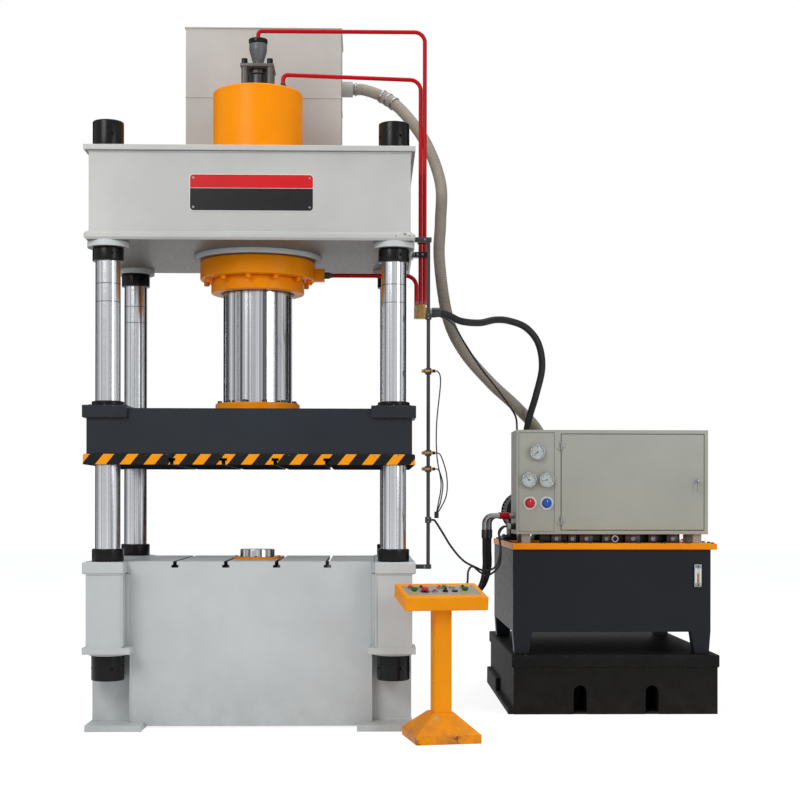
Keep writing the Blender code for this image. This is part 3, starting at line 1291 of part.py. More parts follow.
def cabinet_fittings(unit):
    """Standoffs, cable connectors, the ejector's hose elbows and the fixed half of the hinges."""
    half, rear = CABINET_WIDTH / 2, CABINET_FRONT + CABINET_DEPTH
    shapes = []
    for corner, (sx, sy) in CORNERS.items():
        foot = CABINET_FOOT_WIDTH / 2
        x = sx * (half - CABINET_FOOT_INSET)
        y = CABINET_FRONT + CABINET_DEPTH / 2 + sy * (CABINET_DEPTH / 2 - CABINET_FOOT_SETBACK)
        shapes.append(box(f"cabinet_standoff_{corner}", (x - foot, y - foot, LID_TOP + FIT),
                          (x + foot, y + foot, CABINET_BOTTOM + CABINET_SHEET / 2), unit))
    for index, setback in enumerate(CONNECTOR_SETBACK):
        shapes.append(cylinder(f"cabinet_connector_{index}", CONNECTOR_DIAMETER, CONNECTOR_LENGTH + 2 * LAP,
                               (-half - CONNECTOR_LENGTH / 2 + LAP, CABINET_FRONT + setback, CONNECTOR_Z),
                               unit, "X",
                               sides=SMALL_ROUND))
    shapes.append(cylinder("cabinet_gland", GLAND_FITTING_DIAMETER, GLAND_LENGTH + 2 * LAP,
                           (-half + GLAND_FITTING_INSET, rear + GLAND_LENGTH / 2 - LAP,
                            CABINET_TOP - GLAND_FITTING_DROP), unit, "Y", sides=SMALL_ROUND))
    for index, (reach, y) in enumerate(zip(ELBOW_REACH, BED_PORTS_Y)):
        corners = [(-half + 2 * LAP, y - UNIT_Y, ELBOW_HIGH_Z), (-half - reach, y - UNIT_Y, ELBOW_HIGH_Z),
                   (-half - reach, y - UNIT_Y, ELBOW_LOW_Z)]
        elbow = tube(f"ejector_elbow_{index}", bent_route(corners, ELBOW_BEND), ELBOW_DIAMETER, unit, 2)
        shapes.append(curve_to_mesh(elbow))
    hinge_x, hinge_y = hinge_axis()
    for index, z in enumerate(hinge_heights()):
        top = z - HINGE_BARREL_LENGTH / 2 - FIT
        low = top - FIXED_KNUCKLE_LENGTH
        shapes.append(cylinder(f"fixed_knuckle_{index}", HINGE_BARREL_DIAMETER, FIXED_KNUCKLE_LENGTH,
                               (hinge_x, hinge_y, (low + top) / 2), unit, sides=16))
        shapes.append(box(f"fixed_leaf_{index}", (hinge_x - HINGE_LEAF_WIDTH, hinge_y,
                                                  low + HINGE_LEAF_MARGIN),
                          (hinge_x, CABINET_FRONT + CABINET_SHEET / 2, top - HINGE_LEAF_MARGIN), unit))
    return shapes


def make_cabinet(unit):
    """Sheet box open behind its door, with a closed gauge panel and standoffs to the lid."""
    half, front = CABINET_WIDTH / 2, CABINET_FRONT
    rear, sheet = front + CABINET_DEPTH, CABINET_SHEET
    cabinet = box("valve_cabinet", (-half, front, CABINET_BOTTOM), (half, rear, CABINET_TOP), unit)
    join(cabinet, *cabinet_fittings(unit))
    inside = box("cabinet_inside", (-half + sheet, front + sheet, CABINET_BOTTOM + sheet),
                 (half - sheet, rear - sheet, CABINET_TOP - sheet), unit)
    left, right = door_edges()
    doorway = box("cabinet_doorway", (left, front - 4 * LAP, CABINET_BOTTOM + CABINET_FRAME),
                  (right, front + 4 * LAP, CABINET_TOP - CABINET_FRAME), unit)
    cut(cabinet, inside, doorway)
    panel_left, border = -half + GAUGE_PANEL_MARGIN, GAUGE_PANEL_BORDER
    recess = box("gauge_panel_recess", (panel_left, front - 4 * LAP, CABINET_BOTTOM + border),
                 (panel_left + GAUGE_PANEL_WIDTH, front + GAUGE_PANEL_RECESS, CABINET_TOP - border), unit)
    return part(cut(cabinet, recess), "cabinet_grey")


def make_door(door_axis):
    """The leaf turns about its hinge barrels, which stand proud of the cabinet's face."""
    left, right = door_edges()
    start = HINGE_AXIS_INSET
    end = start + right - left - 2 * DOOR_PLAY
    bottom = CABINET_BOTTOM + CABINET_FRAME + DOOR_PLAY
    top = CABINET_TOP - CABINET_FRAME - DOOR_PLAY
    face = HINGE_AXIS_PROUD - DOOR_PROUD
    side, ends = DOOR_RIM_INSET
    wall, half_sheet = DOOR_RIM_WALL, DOOR_SHEET / 2
    door = box("cabinet_door", (start, face, bottom), (end, face + DOOR_SHEET, top), door_axis)
    rim = box("door_rim", (start + side, face + half_sheet, bottom + ends),
              (end - side, face + DOOR_RIM, top - ends),
              door_axis)
    hollow = box("door_rim_hollow", (start + side + wall, face + DOOR_SHEET, bottom + ends + wall),
                 (end - side - wall, face + DOOR_RIM + LAP, top - ends - wall), door_axis)
    cut(join(door, rim), hollow)
    for index, z in enumerate(hinge_heights()):
        half = HINGE_BARREL_LENGTH / 2
        barrel = cylinder(f"hinge_barrel_{index}", HINGE_BARREL_DIAMETER, 2 * half, (0, 0, z), door_axis,
                          sides=16)
        leaf = box(f"hinge_leaf_{index}", (0, 0, z - half + HINGE_LEAF_MARGIN),
                   (start + HINGE_LEAF_WIDTH, face + half_sheet, z + half - HINGE_LEAF_MARGIN), door_axis)
        join(door, barrel, leaf)
    cut(door, cylinder("lock_hole", LOCK_BARREL_DIAMETER + 2 * FIT, 8 * DOOR_RIM, lock_spot(), door_axis, "Y",
                       sides=16))
    return part(door, "cabinet_grey")


def lock_spot():
    left, right = door_edges()
    width = right - left - 2 * DOOR_PLAY
    return (HINGE_AXIS_INSET + width - LOCK_FROM_EDGE, HINGE_AXIS_PROUD - DOOR_PROUD - FIT,
            (CABINET_BOTTOM + CABINET_TOP) / 2 + LOCK_RISE)


def make_lock(lock_axis):
    """Quarter-turn lock with its key and cam."""
    face, length = LOCK_FACE_THICKNESS, LOCK_BARREL_LENGTH
    lock = cylinder("door_lock", LOCK_DIAMETER, face, (0, -face / 2, 0), lock_axis, "Y", sides=16)
    barrel = cylinder("lock_barrel", LOCK_BARREL_DIAMETER, length + face / 2,
                      (0, length / 2 - face / 4, 0), lock_axis,
                      "Y", sides=16)
    key_x, key_y, key_z = LOCK_KEY_SIZE
    key = box("lock_key", (-key_x / 2, -face - key_y + LAP, -key_z / 2), (key_x / 2, -face + LAP, key_z / 2),
              lock_axis)
    cam_x, cam_y = LOCK_CAM_WIDTH / 2, LOCK_CAM_THICKNESS
    cam = box("lock_cam", (-cam_x, length - 2 * cam_y, -LOCK_BARREL_DIAMETER / 2),
              (cam_x, length - cam_y, LOCK_FROM_EDGE + LOCK_CAM_REACH), lock_axis)
    return part(join(lock, barrel, key, cam), "machined_steel")


def make_manifold(unit):
    """Valve block with two solenoid valves, held to the cabinet's floor."""
    size_x, size_y, size_z = MANIFOLD_SIZE
    y = CABINET_FRONT + MANIFOLD_SETBACK
    low = CABINET_BOTTOM + CABINET_SHEET + FIT
    top = low + size_z
    block = box("valve_manifold", (-size_x / 2, y - size_y / 2, low), (size_x / 2, y + size_y / 2, top), unit)
    body_x, body_y, body_z = SOLENOID_BODY
    coil_diameter, coil_length = SOLENOID_COIL
    shapes = []
    for name, x in (("left", -SOLENOID_SPACING / 2), ("right", SOLENOID_SPACING / 2)):
        shapes.append(box(f"solenoid_body_{name}", (x - body_x / 2, y - body_y / 2, top - LAP),
                          (x + body_x / 2, y + body_y / 2, top + body_z), unit))
        shapes.append(cylinder(f"solenoid_coil_{name}", coil_diameter, coil_length,
                               (x, y, top + body_z / 2), unit,
                               "Y", sides=16))
    return part(join(block, *shapes), "machined_steel")


def make_gauge(index, unit):
    radius, bezel, depth, lip = GAUGE_DIAMETER / 2, GAUGE_BEZEL, GAUGE_DEPTH, GAUGE_LIP
    profile = [
        (0.0, depth - lip), (radius - bezel, depth - lip), (radius - bezel, depth), (radius - lip, depth),
        (radius, depth - lip), (radius, 0.0), (0.0, 0.0),
    ]
    gauge = turned(f"pressure_gauge_{index + 1}", profile, unit, gauge_panel_point(*GAUGE_SPOTS[index]))
    gauge.rotation_euler = AXIS_TURN["Y"]
    return part(gauge, "dial_white")


def make_knob(name, knob_axis, material):
    """Knob with a skirt and a raised mark that points up at rest."""
    radius, height = KNOB_DIAMETER / 2, KNOB_HEIGHT
    grip, skirt = radius * 0.8, height * 0.3
    profile = [
        (0.0, height), (grip * 0.85, height), (grip, height * 0.9), (grip, skirt), (radius, skirt * 0.8),
        (radius, 0.0), (0.0, 0.0),
    ]
    knob = turned(name, profile, knob_axis)
    knob.rotation_euler = AXIS_TURN["Y"]
    mark = box(f"{name}_mark", (-height * 0.05, -height * 1.1, grip * 0.2),
               (height * 0.05, -height * 0.9, grip * 0.7),
               knob_axis)
    return part(join(knob, mark), material)


def make_level_gauge(unit):
    size_x, size_y, size_z = LEVEL_GAUGE_SIZE
    rear, x, z = TANK_FRONT_INSET - FIT, LEVEL_GAUGE_X, LEVEL_GAUGE_Z
    gauge = box("oil_level_gauge", (x - size_x / 2, rear - size_y, z - size_z / 2),
                (x + size_x / 2, rear, z + size_z / 2), unit)
    glass = cylinder("level_glass", LEVEL_GLASS_DIAMETER, size_z * LEVEL_GLASS_SHARE,
                     (x, rear - size_y, z), unit,
                     sides=16)
    return part(join(bevel(gauge, LEVEL_GAUGE_EDGE), glass), "dial_white")


# Control stand


def make_stand(stand):
    half_w, half_d = BASE_WIDTH / 2, BASE_DEPTH / 2
    base = box("control_stand", (-half_w, -half_d, 0.0), (half_w, half_d, BASE_BAND), stand)
    bm = bmesh.new()
    bmesh.ops.create_cone(bm, cap_ends=True, segments=4, radius1=math.sqrt(0.5),
                          radius2=math.sqrt(0.5) * BASE_TOP_SHARE, depth=1.0,
                          matrix=Matrix.Rotation(math.pi / 4, 4, "Z"))
    bmesh.ops.scale(bm, vec=(BASE_WIDTH, BASE_DEPTH, BASE_RISE), verts=bm.verts)
    skirt = place(object_from_bmesh("stand_skirt", bm), stand, (0, 0, BASE_BAND + BASE_RISE / 2 - FIT))
    post_top = CONSOLE_TOP_Z - CONSOLE_THICKNESS / math.cos(CONSOLE_TILT)
    half = POST_WIDTH / 2
    post = box("stand_post", (-half, -half, LAP), (half, half, post_top + POST_WIDTH), stand)
    join(base, skirt, bevel(post, POST_EDGE))
    slope, reach = math.tan(CONSOLE_TILT), 2 * POST_WIDTH
    wedge = [(-reach, -reach * slope), (reach, reach * slope), (reach, 2 * reach), (-reach, 2 * reach)]
    cut(base, plate("post_top_cut", wedge, 2 * reach, stand, (0, 0, post_top - FIT),
                    (math.pi / 2, 0, math.pi / 2)))
    return part(base, "stand_yellow")


def make_console(panel):
    """Sloping desk. Its own frame has +Z square to the panel and the origin at its top centre."""
    half_w, half_d = CONSOLE_WIDTH / 2, CONSOLE_DEPTH / 2
    console = box("control_console", (-half_w, -half_d, -CONSOLE_THICKNESS), (half_w, half_d, 0.0), panel)
    bevel(console, CONSOLE_EDGE)
    join(console, cylinder("console_gland", CONSOLE_GLAND_DIAMETER, CONSOLE_GLAND_LENGTH + 2 * LAP,
                           (CONSOLE_GLAND_X, half_d + CONSOLE_GLAND_LENGTH / 2 - LAP, CONSOLE_GLAND_Z),
                           panel, "Y",
                           sides=SMALL_ROUND))
    cut(console, box("console_panel_recess", (-PANEL_WIDTH / 2, -PANEL_DEPTH / 2, -PANEL_RECESS),
                     (PANEL_WIDTH / 2, PANEL_DEPTH / 2, 2 * LAP), panel))
    for index, (x, y) in enumerate(LAMP_SPOTS):
        join(console, cylinder(f"pilot_lamp_{index}", LAMP_DIAMETER, LAMP_HEIGHT + LAP,
                               (x, y, (LAMP_HEIGHT - LAP) / 2), panel, top=LAMP_TOP_DIAMETER,
                               sides=SMALL_ROUND))
    for name, (x, y, kind) in CONTROLS.items():
        join(console, cylinder(f"collar_{name}", COLLAR_DIAMETER[kind], 2 * CONTROL_SEAT, (x, y, 0.0), panel,
                               sides=SMALL_ROUND))
    for name, (x, y, kind) in CONTROLS.items():
        cut(console, cylinder(f"hole_{name}", STEM_DIAMETER + 2 * GUIDE_PLAY, 2 * STEM_LENGTH,
                              (x, y, 0.0), panel, sides=SMALL_ROUND))
    return part(console, "stand_yellow")


def make_control(name, axis):
    """A control's own frame has its origin on the collar's top face and +Z along its stem."""
    kind = CONTROLS[name][2]
    stem, low = STEM_DIAMETER / 2, -STEM_LENGTH
    if kind == "mushroom":
        rise = BUTTON_TRAVEL + FIT
        cap = COLLAR_DIAMETER[kind] * 0.41
        profile = [(0.0, rise + 0.016), (cap * 0.52, rise + 0.015), (cap * 0.9, rise + 0.010),
                   (cap, rise + 0.004),
                   (cap * 0.95, rise), (stem, rise), (stem, low), (0.0, low)]
    elif kind == "push":
        top = 2 * BUTTON_TRAVEL
        profile = [(0.0, top), (stem - 0.0015, top), (stem, top - 0.0015), (stem, low), (0.0, low)]
    else:
        disc = COLLAR_DIAMETER[kind] * 0.43
        profile = [(0.0, 0.006), (disc - 0.001, 0.006), (disc, 0.005), (disc, FIT), (stem, FIT), (stem, low),
                   (0.0, low)]
    control = turned(name, profile, axis, steps=16)
    if kind == "selector":
        join(control, box(f"{name}_lever", (-0.004, -0.013, 0.003), (0.004, 0.013, 0.020), axis))
    return part(control, CONTROL_MATERIAL[name])


# Hoses and cables


def port_points():
    """Where the hoses and cables leave the machine's own ports, in the press's frame."""
    tank_right = OVERHEAD_SHIFT_X + OVERHEAD_WIDTH / 2
    left_wall = UNIT_X - CABINET_WIDTH / 2
    cabinet_y = UNIT_Y + CABINET_FRONT
    lid_z = LID_TOP + HOSE_FITTING_HEIGHT + FIT
    clip_x = SENSOR_ROD_X + SENSOR_CLAMP / 2 + FIT
    bed_x = PILLAR_OUTER_X + BED_PORT_LENGTH + FIT
    connector_x = left_wall - CONNECTOR_LENGTH - FIT
    return {
        "union": (UNION_CENTRE_X + UNION_LENGTH / 2 + UNION_NOSE_LENGTH + FIT, 0,
                  UNION_TOP - UNION_HEIGHT / 2),
        "overhead": (tank_right + RETURN_PORT_LENGTH + FIT, OVERHEAD_FRONT_Y + RETURN_PORT_SETBACK,
                     RETURN_PORT_Z),
        "lid_black": (UNIT_X + PRESSURE_FITTING[0], UNIT_Y + PRESSURE_FITTING[1], lid_z),
        "lid_grey": (UNIT_X + RETURN_FITTING[0], UNIT_Y + RETURN_FITTING[1], lid_z),
        "connector": (connector_x, cabinet_y + CONNECTOR_SETBACK[0], CONNECTOR_Z),
        "connector_rear": (connector_x, cabinet_y + CONNECTOR_SETBACK[1], CONNECTOR_Z),
        "cabinet_gland": (left_wall + GLAND_FITTING_INSET, cabinet_y + CABINET_DEPTH + GLAND_LENGTH + FIT,
                          CABINET_TOP - GLAND_FITTING_DROP),
        "upper_clip": (clip_x, SENSOR_ROD_Y, CABLE_CLIP_HEIGHTS[0]),
        "lower_clip": (clip_x, SENSOR_ROD_Y, CABLE_CLIP_HEIGHTS[1]),
        "bed_front": (bed_x, BED_PORTS_Y[0], BED_PORT_Z),
        "bed_rear": (bed_x, BED_PORTS_Y[1], BED_PORT_Z),
        "elbow_front": (left_wall - ELBOW_REACH[0], BED_PORTS_Y[0], ELBOW_LOW_Z - FIT),
        "elbow_rear": (left_wall - ELBOW_REACH[1], BED_PORTS_Y[1], ELBOW_LOW_Z - FIT),
    }


def leaving(port, x=0.0, y=0.0, z=0.0):
    """The port and a second point straight out of it, so that the cord starts square to its face."""
    return [port, (port[0] + x, port[1] + y, port[2] + z)]


def entering(port, x=0.0, y=0.0, z=0.0):
    return leaving(port, x, y, z)[::-1]


def panel_point(x, y, z):
    """A point of the console's own frame, given in the press's frame."""
    turn = Matrix.Rotation(STAND_TURN, 4, "Z") @ Matrix.Translation((0, 0, CONSOLE_TOP_Z))
    return tuple(Vector((STAND_X, STAND_Y, 0)) + turn @ (Matrix.Rotation(CONSOLE_TILT, 4,
                                                                         "X") @ Vector((x, y, z))))


def make_hoses(parent):
    at = port_points()
    gland_y = CONSOLE_DEPTH / 2 + CONSOLE_GLAND_LENGTH + FIT
    front_x, front_y, _ = at["elbow_front"]
    rear_x, rear_y, _ = at["elbow_rear"]
    routes = {
        "pressure_hose": (PRESSURE_HOSE, "black_rubber", [
            *leaving(at["union"], x=0.035), (1.110, 0.018, 2.345), (1.190, 0.085, 2.318),
            (1.308, 0.200, 2.322),
            (1.410, 0.275, 2.350), (1.502, 0.350, 2.353), (1.610, 0.400, 2.318), (1.689, 0.430, 2.225),
            (1.715, 0.455, 2.080), (1.681, 0.478, 1.913), (1.640, 0.515, 1.760), (1.618, 0.545, 1.600),
            (1.615, 0.550, 1.400), (1.615, 0.550, 1.250), *entering(at["lid_black"], z=0.060),
        ]),
        "return_hose": (RETURN_HOSE, "grey_hose", [
            *leaving(at["overhead"], x=0.060), (0.730, 0.625, 3.790), (0.855, 0.560, 3.680),
            (0.998, 0.480, 3.463),
            (1.085, 0.420, 3.204), (1.082, 0.350, 2.950), (1.074, 0.320, 2.720), (1.123, 0.320, 2.378),
            (1.225, 0.380, 2.172), (1.400, 0.475, 1.985), (1.573, 0.580, 1.842), (1.715, 0.636, 1.690),
            (1.785, 0.650, 1.500), (1.800, 0.650, 1.300), *entering(at["lid_grey"], z=0.080),
        ]),
        "signal_cable": (SIGNAL_CABLE, "black_rubber", [
            *leaving(at["upper_clip"], x=0.016), (1.050, -0.430, 2.278), (1.131, -0.200, 2.261),
            (1.200, 0.000, 2.190),
            (1.310, 0.180, 2.058), (1.420, 0.300, 1.940), (1.500, 0.400, 1.850), (1.555, 0.490, 1.780),
            (1.572, 0.570, 1.710), (1.572, 0.572, 1.665), *entering(at["cabinet_gland"], y=0.016),
        ]),
        "trunk_cable": (SIGNAL_CABLE, "black_rubber", [
            *leaving(at["lower_clip"], x=0.016), (1.050, -0.460, 1.090), (1.108, -0.400, 1.000),
            (1.180, -0.300, 0.920), (1.255, -0.200, 0.878), (1.330, -0.080, 0.850), (1.400, 0.030, 0.880),
            (1.430, 0.120, 0.970), (1.428, 0.180, 1.060), *entering(at["connector"], x=-0.018),
        ]),
        "console_cable": (SIGNAL_CABLE, "black_rubber", [
            panel_point(CONSOLE_GLAND_X, gland_y, CONSOLE_GLAND_Z),
            panel_point(CONSOLE_GLAND_X, gland_y + 0.020, CONSOLE_GLAND_Z),
            (1.140, -0.600, 0.775), (1.185, -0.560, 0.800), (1.200, -0.450, 0.865), (1.235, -0.300, 0.885),
            (1.290, -0.170, 0.845), (1.350, -0.040, 0.825), (1.420, 0.080, 0.880), (1.435, 0.180, 0.980),
            (1.430, 0.235, 1.070), *entering(at["connector_rear"], x=-0.018),
        ]),
        "ejector_hose_front": (EJECTOR_HOSE, "black_rubber", [
            at["elbow_front"], (front_x, front_y, 0.960), (front_x, front_y, 0.850), (1.325, front_y, 0.740),
            (1.255, front_y, 0.665), (1.150, front_y, 0.640), (1.040, front_y, 0.652),
            *entering(at["bed_front"], x=0.040),
        ]),
        "ejector_hose_rear": (EJECTOR_HOSE, "black_rubber", [
            at["elbow_rear"], (rear_x, rear_y, 0.960), (rear_x, rear_y, 0.850), (1.350, rear_y, 0.740),
            (1.270, rear_y, 0.668), (1.160, rear_y, 0.642), (1.040, rear_y, 0.653),
            *entering(at["bed_rear"], x=0.040),
        ]),
    }
    for name, (diameter, material, guides) in routes.items():
        spacing = 5 * diameter if diameter == SIGNAL_CABLE else 2.5 * diameter
        resolution = 1 if diameter == SIGNAL_CABLE else 2
        part(tube(name, smooth_route(guides, spacing), diameter, parent, resolution), material)


def make_sensor_harness(parent):
    """The three sensor leads, moulded into one junction that is clipped to the rod."""
    x = SENSOR_ROD_X + SENSOR_LENGTH / 2 + FIT
    y = SENSOR_ROD_Y - SENSOR_CLAMP / 2 - SENSOR_DIAMETER / 2 + SENSOR_SINK
    high, middle, low = SENSOR_HEIGHTS
    routes = [
        [*leaving((x, y, high), x=0.010), (1.038, y, 1.945), (1.040, y, 1.883), (1.020, y, 1.675),
         (1.022, y, 1.500),
         (1.045, y, 1.350), (1.030, y, 1.240), (1.020, y, 1.190)],
        [*leaving((x, y, middle), x=0.010), (1.045, y, 1.500), (1.075, y, 1.400), (1.075, y, 1.290),
         (1.040, y, 1.210),
         (1.020, y, 1.182)],
        [*leaving((x, y, low), x=0.010), (1.038, y, 1.412), (1.055, y, 1.340), (1.040, y, 1.240),
         (1.020, y, 1.186)],
    ]
    branches = []
    for index, guides in enumerate(routes):
        lead = tube(f"sensor_lead_{index}", smooth_route(guides, 8 * BRANCH_CABLE), BRANCH_CABLE, parent, 1)
        branches.append(curve_to_mesh(lead))
    half = Vector(JUNCTION_SIZE) / 2
    spot = Vector((JUNCTION_SPOT[0], y, JUNCTION_SPOT[1]))
    junction = box("sensor_harness", spot - half, spot + half, parent)
    return part(join(bevel(junction, CONSOLE_EDGE), *branches), "black_rubber")


# Assembly


def main():
    press = empty("press_origin", WORLD_SHIFT)
    slide_axis = empty("slide_axis", (0, 0, 0), press)
    ejector_axis = empty("ejector_axis", (0, 0, 0), press)
    unit = empty("power_unit_origin", (UNIT_X, UNIT_Y, 0), press)
    stand = empty("control_stand_origin", (STAND_X, STAND_Y, 0), press, (0, 0, STAND_TURN))
    panel = empty("console_panel_origin", (0, 0, CONSOLE_TOP_Z), stand, (CONSOLE_TILT, 0, 0))
    make_bed(press)
    make_table_plate(press)
    make_crown(press)
    for corner in CORNERS:
        make_column(corner, press)
        make_top_nut(corner, press)
    make_main_cylinder(press)
    make_gland(press)
    make_ram(slide_axis)
    make_clamp_ring(slide_axis)
    make_slide(slide_axis)
    make_platen(slide_axis)
    make_prefill_valve(press)
    make_overhead_tank(press)
    make_pipes(press)
    make_pipe_union(press)
    make_pipe_bracket(press)
    make_sensor_rod(press)
    make_ejector(press, ejector_axis)
    make_plinth(unit)
    make_oil_tank(unit)
    make_tank_lid(unit)
    make_pump_motor(unit)
    make_cabinet(unit)
    door_axis = empty("door_axis", (*hinge_axis(), 0), unit)
    make_door(door_axis)
    make_lock(empty("lock_axis", lock_spot(), door_axis))
    make_manifold(unit)
    for index in range(len(GAUGE_SPOTS)):
        make_gauge(index, unit)
    for name, offset in zip(("knob_red", "knob_blue"), KNOB_SPOTS):
        axis = empty(f"{name}_axis", gauge_panel_point(*offset), unit)
        make_knob(f"pressure_{name}", axis, name)
    make_level_gauge(unit)
    make_hoses(press)
    make_sensor_harness(press)
    make_stand(stand)
    make_console(panel)
    for name, (x, y, kind) in CONTROLS.items():
        make_control(name, empty(f"{name}_axis", (x, y, CONTROL_SEAT), panel))


main()
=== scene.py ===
import math
import random

import bmesh
import bpy
from mathutils import Matrix, Vector


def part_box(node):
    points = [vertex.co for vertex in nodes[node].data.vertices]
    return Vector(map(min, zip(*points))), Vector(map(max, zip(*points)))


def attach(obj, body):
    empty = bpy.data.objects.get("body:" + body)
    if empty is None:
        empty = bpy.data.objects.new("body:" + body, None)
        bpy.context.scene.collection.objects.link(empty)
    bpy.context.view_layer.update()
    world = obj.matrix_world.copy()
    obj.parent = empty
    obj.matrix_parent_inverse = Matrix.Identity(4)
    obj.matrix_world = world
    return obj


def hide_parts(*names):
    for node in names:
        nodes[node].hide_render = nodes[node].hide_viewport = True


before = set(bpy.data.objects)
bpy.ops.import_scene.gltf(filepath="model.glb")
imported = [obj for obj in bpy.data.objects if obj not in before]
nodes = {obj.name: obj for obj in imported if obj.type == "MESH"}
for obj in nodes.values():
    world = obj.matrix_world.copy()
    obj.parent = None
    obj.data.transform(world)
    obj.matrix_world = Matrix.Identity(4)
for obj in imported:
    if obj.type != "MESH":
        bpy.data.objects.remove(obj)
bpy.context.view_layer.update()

random.seed(7)
scene = bpy.context.scene
pressOrigin = Vector((-0.9075, -0.3150, 0.0))
unitOrigin = pressOrigin + Vector((2.104, 0.030, 0.0))
# These turn a piece that was made facing up
towardsFront = Matrix.Rotation(math.radians(90), 4, "X")
towardsRight = Matrix.Rotation(math.radians(90), 4, "Y")
towardsBack = Matrix.Rotation(-math.pi / 2, 4, "X")
print("frame loaded")


# Camera

cameraSettings = {"spot": (0.6493, -8.6079, 1.2405), "yaw": -1.2055, "roll": -0.0723, "lens": 66.29,
    "shift": 0.1293}
cameraData = bpy.data.cameras.new("photoCamera")
cameraData.lens = cameraSettings["lens"]
cameraData.sensor_width = 36.0
cameraData.shift_y = cameraSettings["shift"]
camera = bpy.data.objects.new("photoCamera", cameraData)
camera.location = pressOrigin + Vector(cameraSettings["spot"])
camera.rotation_euler = (math.radians(90), math.radians(cameraSettings["roll"]),
    math.radians(cameraSettings["yaw"]))
scene.collection.objects.link(camera)
scene.camera = camera
scene.view_settings.view_transform = "Standard"
print("camera set")


# Helpers


# Display values from 0 to 255, as a shader socket takes them
def colour(red, green, blue):
    def linear(value):
        value /= 255
        return value / 12.92 if value <= 0.04045 else ((value + 0.055) / 1.055) ** 2.4
    return (linear(red), linear(green), linear(blue), 1.0)


# The same tone, lighter or darker
def shaded(tone, factor, lift=0.0):
    return tuple(min(1.0, value * factor + lift) for value in tone[:3]) + (1.0,)


# A node tree being built, with short calls for the nodes that the materials share
class Shader:
    def __init__(self, name):
        self.material = bpy.data.materials.new(name)
        self.material.use_nodes = True
        self.tree = self.material.node_tree
        self.tree.nodes.clear()
        self.output = self.tree.nodes.new("ShaderNodeOutputMaterial")
        self.shader = self.tree.nodes.new("ShaderNodeBsdfPrincipled")
        self.link(self.shader.outputs["BSDF"], self.output.inputs["Surface"])
        self.coordinates = self.node("ShaderNodeTexCoord").outputs["Object"]

    def node(self, kind, **values):
        made = self.tree.nodes.new(kind)
        for key, value in values.items():
            setattr(made, key, value)
        return made

    def link(self, source, target):
        self.tree.links.new(source, target)

    def put(self, target, value):
        if isinstance(value, bpy.types.NodeSocket):
            self.link(value, target)
        else:
            target.default_value = value

    def stretched(self, scale, shift=(0.0, 0.0, 0.0)):
        mapping = self.node("ShaderNodeMapping")
        mapping.inputs["Scale"].default_value = scale
        mapping.inputs["Location"].default_value = shift
        self.link(self.coordinates, mapping.inputs["Vector"])
        return mapping.outputs["Vector"]

    def noise(self, scale, detail=3.0, roughness=0.5, vector=None):
        noise = self.node("ShaderNodeTexNoise")
        noise.inputs["Scale"].default_value = scale
        noise.inputs["Detail"].default_value = detail
        noise.inputs["Roughness"].default_value = roughness
        self.link(vector or self.coordinates, noise.inputs["Vector"])
        return noise.outputs["Fac"]

    def remap(self, value, low, high, start=0.0, stop=1.0):
        mapped = self.node("ShaderNodeMapRange")
        for key, number in (("From Min", low), ("From Max", high), ("To Min", start), ("To Max", stop)):
            mapped.inputs[key].default_value = number
        self.link(value, mapped.inputs["Value"])
        return mapped.outputs["Result"]

    def maths(self, operation, first, second=0.0, clamp=False):
        made = self.node("ShaderNodeMath", operation=operation, use_clamp=clamp)
        self.put(made.inputs[0], first)
        self.put(made.inputs[1], second)
        return made.outputs[0]

    def mix(self, factor, first, second):
        made = self.node("ShaderNodeMix", data_type="RGBA")
        self.put(made.inputs["Factor"], factor)
        self.put(made.inputs[6], first)
        self.put(made.inputs[7], second)
        return made.outputs[2]

    def axis(self, name, vector=None):
        split = self.node("ShaderNodeSeparateXYZ")
        self.link(vector or self.coordinates, split.inputs[0])
        return split.outputs[name]

    def nearTo(self, spot, reach):
        # 1 at the spot and 0 past the reach
        distance = self.node("ShaderNodeVectorMath", operation="DISTANCE")
        self.link(self.coordinates, distance.inputs[0])
        distance.inputs[1].default_value = spot
        return self.remap(distance.outputs["Value"], reach, 0.0)

    def normalAxis(self, name):
        return self.axis(name, self.node("ShaderNodeNewGeometry").outputs["Normal"])

    def rounded(self, radius):
        made = self.node("ShaderNodeBevel", samples=4)
        made.inputs["Radius"].default_value = radius
        return made.outputs["Normal"]

    def edges(self, radius):
        # 1 near the piece's outer edges, 0 on its flats
        geometry = self.node("ShaderNodeNewGeometry")
        dot = self.node("ShaderNodeVectorMath", operation="DOT_PRODUCT")
        self.link(self.rounded(radius), dot.inputs[0])
        self.link(geometry.outputs["Normal"], dot.inputs[1])
        return self.remap(dot.outputs["Value"], 0.999, 0.90)

    def bump(self, height, strength, distance, normal=None):
        made = self.node("ShaderNodeBump")
        made.inputs["Strength"].default_value = strength
        made.inputs["Distance"].default_value = distance
        self.link(height, made.inputs["Height"])
        if normal:
            self.link(normal, made.inputs["Normal"])
        return made.outputs["Normal"]

    def finish(self, **values):
        names = {"base": "Base Color", "metallic": "Metallic", "roughness": "Roughness", "normal": "Normal",
            "coat": "Coat Weight", "coatRoughness": "Coat Roughness", "transmission": "Transmission Weight",
            "ior": "IOR", "specular": "Specular IOR Level", "glow": "Emission Color",
            "glowStrength": "Emission Strength"}
        for key, value in values.items():
            self.put(self.shader.inputs[names[key]], value)
        return self.material


